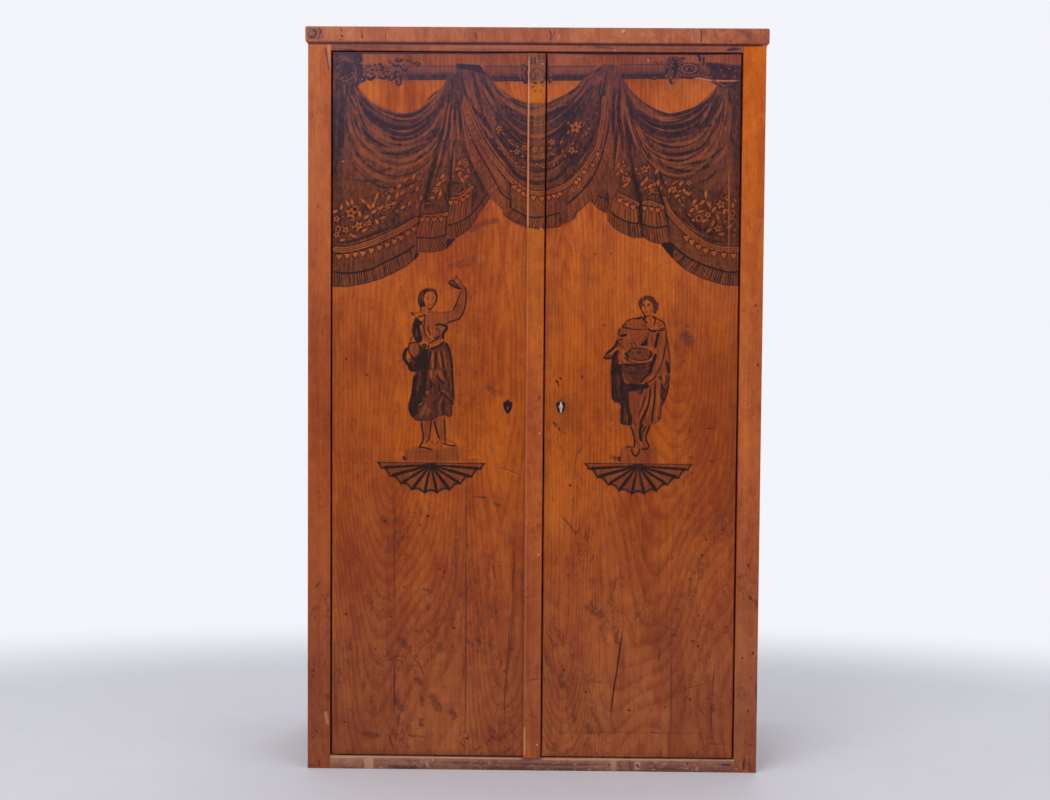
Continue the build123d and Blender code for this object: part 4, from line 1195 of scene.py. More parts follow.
def paint_left_tails(pen):
    """Two hanging tails between the left and the middle curtains."""
    pen.look(tails_view)
    left_tail = [
        (260, 0), (240, 200), (180, 500), (120, 760), (60, 1010), (55, 1160), (200, 1172), (330, 1152),
        (400, 1120), (468, 1040), (440, 600), (450, 200), (440, 0)]
    pen.fill(left_tail, tone=0.70, smooth=False)
    right_tail = [
        (430, 0), (440, 380), (400, 700), (385, 900), (388, 1042), (460, 1030), (580, 960), (655, 880),
        (740, 742), (838, 602), (740, 400), (650, 220), (590, 0)]
    pen.fill(right_tail, tone=0.70, smooth=False)
    folds = (
        (4.2, 0.92, [(315, 0), (270, 180), (215, 380), (160, 600), (105, 800), (75, 1000)]),
        (3.4, 0.90, [(455, 0), (440, 200), (425, 400), (405, 620), (392, 800)]),
        (5.2, 0.90, [(600, 60), (655, 250), (735, 430), (815, 590)]),
        (2.2, 0.84, [(360, 0), (330, 160), (290, 330), (250, 470)]),
        (2.0, 0.80, [(520, 0), (560, 90), (590, 180)]), (2.4, 0.84, [(640, 420), (600, 560), (590, 700)]),
        (2.0, 0.84, [(700, 480), (680, 600), (665, 740)]))
    pen.folds(folds)
    lights = [
        (2.4, 0.46, [(400, 60), (370, 200), (330, 340)], 0.4, 1.6),
        (2.0, 0.44, [(350, 20), (310, 180), (270, 340)], 0.4, 1.4),
        (2.0, 0.44, [(470, 60), (460, 240), (440, 420)], 0.4, 1.4),
        (1.6, 0.46, [(500, 40), (520, 130), (500, 200)], 0.4, 1.2),
        (2.0, 0.42, [(150, 620), (130, 720), (110, 800)], 0.4, 1.2)]
    pen.strokes(lights)
    leaf = 0.27
    blossom = [(575, 238, 3.0)]
    pen.rings(blossom, tone=leaf)
    leaves = [
        (530, 300, 20, 1.8), (560, 315, 80, 1.4), (600, 290, 40, 1.3), (545, 400, 10, 1.8),
        (580, 410, 100, 1.6), (520, 380, 140, 1.2), (455, 380, 70, 2.0), (100, 385, 20, 1.8),
        (70, 640, 100, 2.6), (60, 690, 80, 2.0), (620, 470, 45, 1.5)]
    pen.petals(leaves, size=1.9, tone=leaf)
    stems = [
        (3.4, 0.93, [(225, 510), (262, 500), (268, 545)], 0.2, 1.0),
        (1.3, 0.26, [(300, 480), (322, 540), (312, 590), (290, 625)]),
        (0.9, 0.30, [(330, 365), (355, 380), (345, 420), (300, 440)]),
        (0.9, 0.32, [(385, 365), (370, 410), (330, 450)]),
        (0.9, 0.30, [(290, 380), (280, 410), (300, 430)]),
        (1.3, 0.92, [(160, 640), (200, 638), (232, 645)]),
        (1.2, 0.92, [(165, 690), (200, 684), (222, 680)]), (1.0, 0.30, [(170, 665), (210, 662)]),
        (1.5, 0.90, [(360, 540), (372, 600), (380, 650)]),
        (1.5, 0.92, [(500, 560), (560, 520), (560, 490)]),
        (1.6, 0.90, [(450, 440), (500, 452), (530, 440)]),
        (1.0, 0.30, [(455, 545), (520, 560), (600, 500)])]
    pen.strokes(stems)
    left_net_top = [(140, 790), (250, 795), (395, 780)]
    left_net_foot = [(75, 1015), (250, 1022), (383, 985)]
    pen.fringe(left_net_top, left_net_foot, pitch=3.0, ground=0.56, light=0.36, dark=0.84, width=1.6)
    right_net_top = [(430, 640), (520, 625), (600, 570), (660, 500)]
    right_net_foot = [(400, 890), (480, 870), (560, 832), (650, 765)]
    pen.fringe(right_net_top, right_net_foot, pitch=3.0, ground=0.54, light=0.34, dark=0.84, width=1.6)
    left_threads_top = [(62, 1015), (250, 1024), (388, 985)]
    left_threads_foot = [(55, 1160), (200, 1172), (330, 1152), (400, 1120), (466, 1042)]
    pen.fringe(left_threads_top, left_threads_foot, pitch=2.3)
    right_threads_top = [(395, 892), (480, 872), (560, 832), (650, 765), (720, 690), (805, 560)]
    right_threads_foot = [(390, 1040), (460, 1030), (580, 960), (655, 880), (740, 742), (836, 604)]
    pen.fringe(right_threads_top, right_threads_foot, pitch=2.3)
    left_braid = [(140, 800), (250, 797), (392, 772)]
    pen.braid(left_braid, width=3.4, tone=0.30, threads=2)
    right_braid = [(428, 620), (500, 612), (575, 572), (650, 488)]
    pen.braid(right_braid, width=3.6, tone=0.30, threads=2)
    left_cord = [(62, 1015), (250, 1022), (384, 985)]
    pen.beads(left_cord, width=1.6)
    right_cord = [(395, 892), (480, 870), (560, 832), (650, 765), (720, 685), (805, 555)]
    pen.beads(right_cord, width=1.6)
    left_hearts = [(125, 832), (180, 832), (255, 830), (325, 826)]
    pen.drops(left_hearts, size=4.6)
    right_hearts = [(428, 655), (482, 652), (555, 622), (603, 588)]
    pen.drops(right_hearts, size=4.6)
    meeting_corner = [(388, 1036), (468, 1035), (400, 1118), (380, 1120)]
    pen.fill(meeting_corner, tone=0.90, smooth=False)


def paint_middle_swag(pen):
    """The middle curtain, which crosses the meeting strip."""
    pen.look(whole_view)
    cloth = [
        (457, 65), (470, 64), (480, 66), (484, 72), (492, 82), (500, 90), (512, 97), (522, 101),
        (528, 102.6), (547, 103), (555, 98.5), (568, 94), (577, 86), (583, 79), (594, 70), (603, 64.5),
        (612, 64), (620, 66), (622, 80), (623, 120), (622, 160), (617, 200), (611, 199), (606, 190),
        (590, 201), (578, 211), (576, 218), (570, 222), (560, 226), (548, 228.5), (536, 228.5),
        (525, 228), (512, 222), (503, 214.5), (502, 207), (494, 200), (487, 192), (478, 176), (470, 158),
        (463, 135), (459, 110), (457, 85)]
    pen.fill(cloth, tone=wash, smooth=False)
    pen.look(centre_view)
    head_shade = [
        (215, 180), (300, 178), (400, 190), (520, 200), (560, 250), (590, 320), (520, 300), (400, 260),
        (290, 250), (220, 240)]
    pen.fill(head_shade, tone=0.92)
    folds = (
        (1.6, 0.90, [(400, 270), (440, 340), (480, 412)]),
        (2.4, 0.90, [(470, 250), (560, 400), (640, 560), (705, 640), (800, 742)]),
        (2.4, 0.90, [(590, 300), (720, 470), (840, 570), (960, 650), (1110, 712)]),
        (1.8, 0.88, [(560, 330), (640, 500), (720, 622), (860, 742), (980, 792), (1150, 832)]),
        (2.6, 0.88, [(700, 780), (800, 880), (900, 962), (1000, 1012), (1090, 1032)]),
        (2.8, 0.88, [(860, 1040), (960, 1130), (1110, 1192)]),
        (3.4, 0.92, [(280, 290), (310, 480), (370, 660), (440, 780), (520, 850), (600, 960), (700, 1070),
         (800, 1185), (900, 1290), (1060, 1400)]),
        (4.2, 0.92, [(375, 690), (420, 850), (500, 1010), (600, 1130), (720, 1280), (850, 1440),
         (950, 1550)]), (1.6, 0.84, [(900, 842), (1030, 870), (1150, 872)]),
        (2.0, 0.86, [(930, 905), (1050, 930), (1155, 925)]),
        (1.6, 0.84, [(420, 470), (520, 700), (600, 820)]),
        (1.4, 0.84, [(760, 600), (900, 710), (1060, 770)]))
    pen.folds(folds)
    lights = [
        (1.8, 0.38, [(330, 420), (380, 560), (440, 660), (482, 704)], 0.4, 1.2),
        (1.6, 0.36, [(480, 370), (560, 520), (640, 642), (702, 780)], 0.4, 1.2),
        (1.5, 0.36, [(640, 370), (700, 460), (760, 530), (860, 620), (960, 690)], 0.4, 1.0),
        (1.2, 0.34, [(550, 420), (620, 560), (690, 650)], 0.4),
        (1.5, 0.34, [(700, 770), (820, 872), (940, 980), (1070, 1082)], 0.4, 1.0),
        (2.2, 0.30, [(548, 985), (612, 1030)], 0.3),
        (3.4, 0.30, [(612, 1050), (655, 1100), (700, 1160)], 0.35, 1.2),
        (1.2, 0.32, [(765, 655), (830, 720)], 0.4),
        (1.2, 0.32, [(700, 600), (780, 690), (905, 722)], 0.4),
        (1.4, 0.40, [(1000, 1080), (1080, 1100)], 0.4),
        (2.0, 0.44, [(720, 1180), (820, 1290), (980, 1420)], 0.4, 1.4),
        (1.2, 0.36, [(420, 700), (480, 760), (500, 740)], 0.4),
        (2.2, 0.42, [(920, 800), (1040, 840), (1150, 850)], 0.4, 1.4),
        (1.6, 0.40, [(1000, 940), (1080, 960), (1150, 965)], 0.4),
        (1.4, 0.40, [(720, 480), (800, 560), (1000, 660)], 0.4),
        (1.3, 0.36, [(245, 330), (262, 560), (300, 760), (350, 900)], 0.3, 0.9)]
    pen.strokes(lights)
    leaf = 0.24
    leaves = [
        (590, 840, 110, 2.2), (570, 800, 60, 1.3), (690, 890, 20, 1.4), (725, 965, 60, 1.2),
        (810, 1050, 30, 1.6), (760, 1080, 150, 1.2), (850, 1100, 30, 1.6), (940, 1180, 125, 2.4),
        (980, 1250, 140, 2.4), (1085, 1280, 30, 1.6), (1050, 1225, 160, 1.3), (990, 1335, 30, 1.8),
        (930, 1320, 60, 1.3), (1085, 1385, 20, 1.7), (1010, 1475, 5, 2.0), (1110, 1520, 150, 1.6),
        (330, 1475, 60, 1.4)]
    pen.petals(leaves, size=2.1, tone=leaf)
    # Side band with its cord and threads, down the left of the curtain
    edge = [(238, 640), (262, 800), (292, 1000), (335, 1180), (400, 1400), (440, 1540)]
    cord = [(262, 500), (285, 700), (320, 880), (372, 1040), (440, 1180), (520, 1330), (640, 1568)]
    side_threads_foot = [(232, 560), (262, 800), (292, 1000), (335, 1180), (400, 1400), (452, 1568)]
    pen.fringe(cord, side_threads_foot, pitch=2.6, ground=0.46, light=0.30, dark=0.72, width=1.2)
    side_lines = [(1.6, 0.93, edge, 0.1), (1.4, 0.93, cord, 0.1)]
    pen.strokes(side_lines)
    side_band = [(300, 560), (330, 760), (390, 980), (480, 1180), (600, 1380), (730, 1568)]
    pen.stroke(side_band, width=5.2, tone=0.44, taper=0.1, soft=1.2)
    pen.petal_row((330, 720), step=(14.3, 66), bend=(0.9, 0), turns=(60, 115), long=1.5, count=12,
                  size=1.3, tone=0.28)
    band_lines = [
        (1.0, 0.92, [(360, 700), (420, 880), (520, 1090), (640, 1280), (790, 1500)]),
        (1.3, 0.28, [(330, 600), (400, 830), (500, 1050), (620, 1250), (760, 1440), (870, 1568)], 0.1),
        (0.8, 0.80, [(350, 600), (420, 830), (520, 1050), (640, 1250), (780, 1440), (890, 1568)], 0.1),
        (1.2, 0.32, [(372, 640), (440, 840), (540, 1050), (660, 1250), (800, 1440), (905, 1568)], 0.1)]
    pen.strokes(band_lines)
    pen.look(tails_view)
    band_threads_top = [(640, -20), (740, 170), (820, 300), (900, 450), (960, 560), (1040, 622)]
    band_threads_foot = [(570, 0), (640, 210), (720, 380), (800, 520), (860, 620), (965, 720)]
    pen.fringe(band_threads_top, band_threads_foot, pitch=2.5, ground=0.50, light=0.32, dark=0.80,
               width=1.2)
    corner_threads_top = [(960, 560), (1045, 622)]
    corner_threads_foot = [(970, 765), (1052, 752)]
    pen.fringe(corner_threads_top, corner_threads_foot, pitch=2.6, ground=0.50, light=0.32, dark=0.86,
               width=1.3)
    lower_band = [(700, 0), (790, 170), (880, 310), (960, 430), (1045, 540)]
    pen.stroke(lower_band, width=6.0, tone=0.50, taper=0.1, soft=1.2)
    pen.petal_row((735, 60), step=(44, 66), bend=(0, -1.4), turns=(50, 118), long=1.4, count=8,
                  size=1.4, tone=0.30)
    pen.beads(band_threads_top, width=1.7)
    corner_lines = [
        (1.6, 0.92, [(1045, 410), (1052, 560), (1062, 770)], 0.1),
        (1.2, 0.84, [(1000, 420), (1030, 520), (1040, 620)])]
    pen.strokes(corner_lines)
    net_top = [(1060, 430), (1150, 510), (1240, 560), (1320, 575), (1420, 560), (1568, 520)]
    net_foot = [(1066, 712), (1130, 752), (1230, 797), (1320, 806), (1420, 797), (1568, 757)]
    pen.fringe(net_top, net_foot, pitch=2.2, ground=0.56, light=0.42, dark=0.76, width=1.0)
    hem_threads_foot = [
        (975, 780), (1060, 830), (1150, 870), (1230, 900), (1320, 926), (1420, 922), (1568, 905)]
    pen.fringe(net_foot, hem_threads_foot, pitch=2.3)
    braid_line = [
        (740, -10), (800, 90), (870, 195), (960, 300), (1040, 400), (1150, 490), (1240, 540),
        (1330, 560), (1430, 545), (1568, 490)]
    pen.braid(braid_line, width=4.6, tone=0.26, threads=3)
    pen.beads(net_foot, width=1.6)
    hearts = [
        (1088, 492, 0.4), (1136, 527, 0.4), (1185, 562, 0.3), (1225, 580, 0.2), (1290, 602), (1378, 612),
        (1465, 596, -0.2), (1545, 580, -0.4)]
    pen.drops(hearts, size=4.6, tone=0.22)
    hem_folds = [
        (0.9, 0.84, [(1060, 300), (1150, 370), (1240, 405)]),
        (0.9, 0.80, [(1090, 270), (1160, 330), (1240, 365)]),
        (0.9, 0.84, [(1260, 420), (1330, 430), (1410, 425)]), (0.9, 0.80, [(1260, 380), (1410, 388)]),
        (0.9, 0.46, [(1270, 400), (1400, 407)]), (0.9, 0.84, [(1430, 430), (1500, 410), (1568, 395)])]
    pen.strokes(hem_folds)
    leaf = 0.24
    hem_leaves = [
        (1110, 45, 150, 2.2), (1190, 80, 30, 1.5), (1105, 125, 30, 1.8), (1180, 170, 30, 1.7),
        (1110, 235, 0, 1.9), (1205, 280, 140, 1.6), (1290, 80, 30, 1.8), (1300, 130, 15, 1.8),
        (1350, 60, 80, 1.4), (1380, 110, 60, 1.8), (1320, 185, 0, 1.3), (1375, 190, 60, 1.6),
        (1470, 85, 150, 1.6), (1490, 145, 10, 2.0), (1445, 260, 90, 1.6), (1510, 245, 80, 1.8),
        (1340, 150, 90, 1.2)]
    pen.petals(hem_leaves, size=2.0, tone=leaf)
    # Right half of the same curtain
    pen.look(centre_right_view)
    right_folds = (
        (1.6, 0.88, [(645, 440), (760, 320), (860, 245)]),
        (2.2, 0.90, [(400, 592), (490, 540), (565, 500)]),
        (1.8, 0.84, [(170, 752), (300, 722), (420, 662), (545, 590)]),
        (2.8, 0.90, [(170, 832), (300, 792), (405, 742)]),
        (2.6, 0.88, [(170, 905), (350, 862), (480, 782), (580, 682), (680, 562), (780, 420), (890, 270)]),
        (1.6, 0.86, [(400, 902), (520, 802), (640, 682), (720, 580)]),
        (1.6, 0.86, [(860, 612), (800, 702), (755, 772)]),
        (2.4, 0.88, [(900, 430), (860, 600), (800, 800), (740, 960), (670, 1100)]),
        (4.4, 0.92, [(940, 300), (900, 500), (880, 700), (840, 900), (780, 1080), (700, 1250),
         (600, 1400), (490, 1500)]), (2.6, 0.90, [(1040, 500), (1030, 700), (1005, 850)]),
        (3.0, 0.92, [(1105, 420), (1098, 700), (1080, 1000), (1052, 1300), (1030, 1568)]),
        (3.6, 0.90, [(200, 1010), (320, 1040), (430, 1130), (400, 1250)]),
        (2.6, 0.86, [(330, 1350), (480, 1400), (590, 1300)]),
        (2.0, 0.88, [(900, 1000), (830, 1150), (805, 1180)]))
    pen.folds(right_folds)
    right_lights = [
        (1.6, 0.36, [(650, 410), (740, 330), (850, 250)], 0.4, 0.9),
        (1.4, 0.38, [(700, 520), (800, 390), (900, 280)], 0.4, 0.9),
        (1.5, 0.38, [(760, 530), (840, 400), (930, 290)], 0.4, 0.9),
        (1.8, 0.36, [(280, 740), (380, 710), (440, 720)], 0.4, 1.0),
        (1.4, 0.38, [(560, 760), (650, 650), (700, 560)], 0.4, 0.9),
        (2.2, 0.40, [(650, 700), (740, 610), (800, 560)], 0.4, 1.2),
        (1.4, 0.36, [(780, 740), (760, 700), (820, 640)], 0.4),
        (1.4, 0.34, [(800, 830), (780, 900), (740, 960)], 0.4),
        (1.2, 0.34, [(1020, 330), (1080, 210), (1100, 200)], 0.3),
        (1.6, 0.38, [(970, 350), (960, 520), (930, 700)], 0.4, 0.9),
        (2.0, 0.34, [(1060, 470), (1055, 800), (1040, 1000), (1000, 1300), (975, 1568)], 0.15, 0.9),
        (2.0, 0.32, [(1150, 500), (1150, 800), (1112, 1100), (1070, 1400), (1055, 1568)], 0.15, 0.9),
        (1.4, 0.84, [(920, 200), (850, 240), (760, 330)], 0.4),
        (1.2, 0.36, [(900, 640), (880, 800), (830, 980)], 0.4, 0.8)]
    pen.strokes(right_lights)
    right_leaves = [
        (490, 1000, 70, 1.6), (565, 980, 110, 1.5), (450, 1065, 10, 1.6), (480, 1100, 130, 1.3),
        (535, 1108, 100, 1.2), (600, 1040, 60, 1.4), (590, 985, 40, 1.2), (640, 960, 75, 2.0),
        (685, 900, 40, 1.6), (630, 1120, 30, 1.8), (660, 1065, 20, 1.8), (340, 1195, 62, 2.6),
        (230, 1200, 10, 1.2), (205, 1270, 60, 1.5), (230, 1352, 8, 2.2), (505, 1290, 20, 1.3),
        (470, 1330, 80, 1.3), (545, 1330, 30, 1.4), (520, 1225, 150, 1.3), (380, 1390, 110, 1.6),
        (255, 1490, 100, 1.7), (195, 1480, 90, 1.4), (800, 820, 60, 1.3), (795, 715, 70, 1.3)]
    pen.petals(right_leaves, size=2.0, tone=leaf)
    dark_flower = [(505, 1035), (535, 1030), (560, 1060), (530, 1085), (505, 1070)]
    pen.fill(dark_flower, tone=0.92)
    cord = [(975, 760), (978, 900), (958, 1040), (925, 1200), (880, 1340), (840, 1568)]
    right_threads_foot = [(1055, 760), (1040, 1000), (1000, 1200), (960, 1400), (930, 1568)]
    pen.fringe(cord, right_threads_foot, pitch=2.4, ground=0.48, light=0.32, dark=0.78, width=1.2)
    right_band = [(930, 760), (920, 920), (880, 1080), (820, 1260), (740, 1450), (700, 1568)]
    pen.stroke(right_band, width=5.6, tone=0.46, taper=0.1, soft=1.2)
    pen.petal_row((938, 880), step=(0, 70), bend=(-3.2, 0), turns=(130, 50), long=1.6, count=9,
                  size=1.5, tone=0.28)
    pen.beads(cord, width=1.6)
    right_band_lines = [
        (1.2, 0.28, [(935, 700), (880, 860), (820, 1040), (740, 1240), (640, 1400), (540, 1550)], 0.1),
        (0.9, 0.84, [(925, 760), (850, 1000), (770, 1200), (670, 1380), (570, 1540)], 0.1),
        (1.3, 0.28, [(900, 900), (830, 1090), (760, 1250), (670, 1410), (580, 1550)], 0.1),
        (1.0, 0.90, [(880, 1060), (800, 1250), (700, 1430), (620, 1560)], 0.1)]
    pen.strokes(right_band_lines)
    pen.look(right_tails_view)
    low_threads_top = [(365, 0), (300, 180), (230, 330), (130, 470), (0, 600), (-120, 680)]
    low_threads_foot = [(430, 100), (340, 350), (260, 520), (180, 640), (50, 760), (-120, 860)]
    pen.fringe(low_threads_top, low_threads_foot, pitch=2.4, ground=0.52, light=0.34, dark=0.82,
               width=1.2)
    low_band = [(300, 0), (240, 150), (160, 300), (60, 420), (-60, 520)]
    pen.stroke(low_band, width=6.4, tone=0.48, taper=0.1, soft=1.2)
    low_leaves = [
        (262, 45, 60, 1.6), (225, 135, 120, 1.5), (165, 235, 60, 1.5), (95, 330, 120, 1.6),
        (30, 390, 40, 1.6), (100, 440, 140, 1.2), (10, 470, 100, 1.3)]
    pen.petals(low_leaves, size=1.8, tone=0.28)
    low_cord = [(365, 0), (300, 180), (230, 330), (130, 470), (0, 600), (-120, 690)]
    pen.beads(low_cord, width=1.7)
    low_braid = [(225, -20), (170, 110), (90, 230), (0, 330), (-90, 400)]
    pen.braid(low_braid, width=4.2, tone=0.27, threads=3)


def paint_right_tails(pen):
    """Tails between the middle and the right curtains."""
    pen.look(right_tails_view)
    cloth = [
        (420, 0), (400, 300), (250, 520), (185, 620), (280, 720), (370, 782), (410, 780), (420, 890),
        (500, 980), (600, 1040), (720, 1090), (850, 1090), (940, 1140), (1060, 1170), (1200, 1160),
        (1120, 700), (1000, 300), (900, 0)]
    pen.fill(cloth, tone=0.68, smooth=False)
    folds = (
        (2.8, 0.93, [(485, 0), (455, 250), (425, 480), (405, 620), (415, 880)]),
        (4.6, 0.92, [(675, -40), (712, 180), (755, 380), (800, 600), (818, 800), (848, 1070)]),
        (3.0, 0.90, [(950, 100), (1010, 330), (1060, 520), (1110, 700), (1160, 900), (1195, 1140)]),
        (2.0, 0.86, [(395, 380), (330, 450), (270, 520)]),
        (2.0, 0.84, [(880, 0), (930, 130), (985, 280)]),
        (2.2, 0.86, [(1000, 0), (1060, 130), (1130, 240)]))
    pen.folds(folds)
    lights = [
        (1.5, 0.30, [(445, -60), (430, 200), (405, 430), (398, 500)], 0.1, 0.8),
        (1.5, 0.30, [(530, -60), (490, 230), (450, 440), (435, 520)], 0.1, 0.8),
        (3.0, 0.46, [(600, -60), (620, 60), (650, 140)], 0.4, 2.0),
        (3.0, 0.46, [(820, -40), (860, 90), (880, 150)], 0.4, 2.0),
        (1.4, 0.40, [(940, 0), (985, 130), (1030, 300)], 0.3, 0.9)]
    pen.strokes(lights)
    leaf = 0.25
    leaves = [
        (605, 150, 70, 1.8), (580, 250, 100, 1.6), (600, 345, 100, 2.2), (660, 410, 50, 2.6),
        (640, 300, 30, 1.4), (620, 200, 30, 1.3), (550, 260, 20, 1.4), (770, 240, 120, 2.0),
        (850, 210, 10, 1.5), (925, 215, 100, 1.7), (880, 480, 60, 2.6), (930, 450, 85, 2.4),
        (1000, 430, 95, 2.0), (830, 420, 50, 1.8), (800, 300, 130, 1.3)]
    pen.petals(leaves, size=1.9, tone=leaf)
    blossom = [(862, 245, 3.6)]
    pen.rings(blossom, tone=0.34)
    stems = [
        (2.0, 0.92, [(535, 195), (550, 160)], 0.3), (1.6, 0.92, [(515, 300), (530, 330)], 0.3),
        (1.4, 0.92, [(650, 250), (690, 320)]), (1.2, 0.92, [(630, 470), (700, 400)]),
        (1.0, 0.30, [(870, 600), (950, 545), (1050, 540)]),
        (1.2, 0.90, [(860, 610), (950, 560), (1050, 555)]),
        (1.2, 0.90, [(800, 420), (870, 350), (990, 360)]),
        (1.0, 0.34, [(810, 440), (880, 375), (980, 385)])]
    pen.strokes(stems)
    left_net_top = [(465, 560), (560, 620), (650, 670), (790, 735)]
    left_net_foot = [(430, 760), (520, 832), (640, 890), (815, 925)]
    pen.fringe(left_net_top, left_net_foot, pitch=2.8, ground=0.48, light=0.34, dark=0.80, width=1.5)
    right_net_top = [(870, 700), (960, 705), (1100, 745)]
    right_net_foot = [(850, 925), (950, 960), (1060, 966), (1160, 946)]
    pen.fringe(right_net_top, right_net_foot, pitch=2.8, ground=0.54, light=0.38, dark=0.82, width=1.5)
    left_threads_top = [(250, 542), (310, 582), (402, 612)]
    left_threads_foot = [(190, 622), (280, 722), (372, 782), (412, 786)]
    pen.fringe(left_threads_top, left_threads_foot, pitch=2.4, ground=0.64, light=0.36)
    middle_threads_top = [(422, 752), (520, 832), (640, 892), (740, 917), (820, 922)]
    middle_threads_foot = [(420, 892), (500, 982), (600, 1042), (720, 1092), (850, 1098)]
    pen.fringe(middle_threads_top, middle_threads_foot, pitch=2.3)
    right_threads_top = [(832, 922), (950, 962), (1060, 967), (1162, 947)]
    right_threads_foot = [(850, 1082), (940, 1142), (1060, 1172), (1200, 1152)]
    pen.fringe(right_threads_top, right_threads_foot, pitch=2.4)
    last_fold = [(800, 600), (818, 800), (848, 1070)]
    pen.fold(last_fold, width=3.2, tone=0.92)
    left_braid = [(462, 505), (540, 562), (640, 612), (785, 682)]
    pen.braid(left_braid, width=4.2, tone=0.26, threads=3)
    right_braid = [(862, 662), (960, 666), (1100, 722)]
    pen.braid(right_braid, width=4.2, tone=0.28, threads=3)
    pen.beads(left_threads_top, width=1.5)
    pen.beads(middle_threads_top, width=1.6)
    pen.beads(right_threads_top, width=1.6)
    left_hearts = [(495, 600, 0.3), (562, 632, 0.3), (652, 682, 0.2), (728, 715, 0.4)]
    pen.drops(left_hearts, size=5.0, tone=0.22)
    right_hearts = [(872, 730), (960, 742), (1038, 752)]
    pen.drops(right_hearts, size=4.4, tone=0.26)


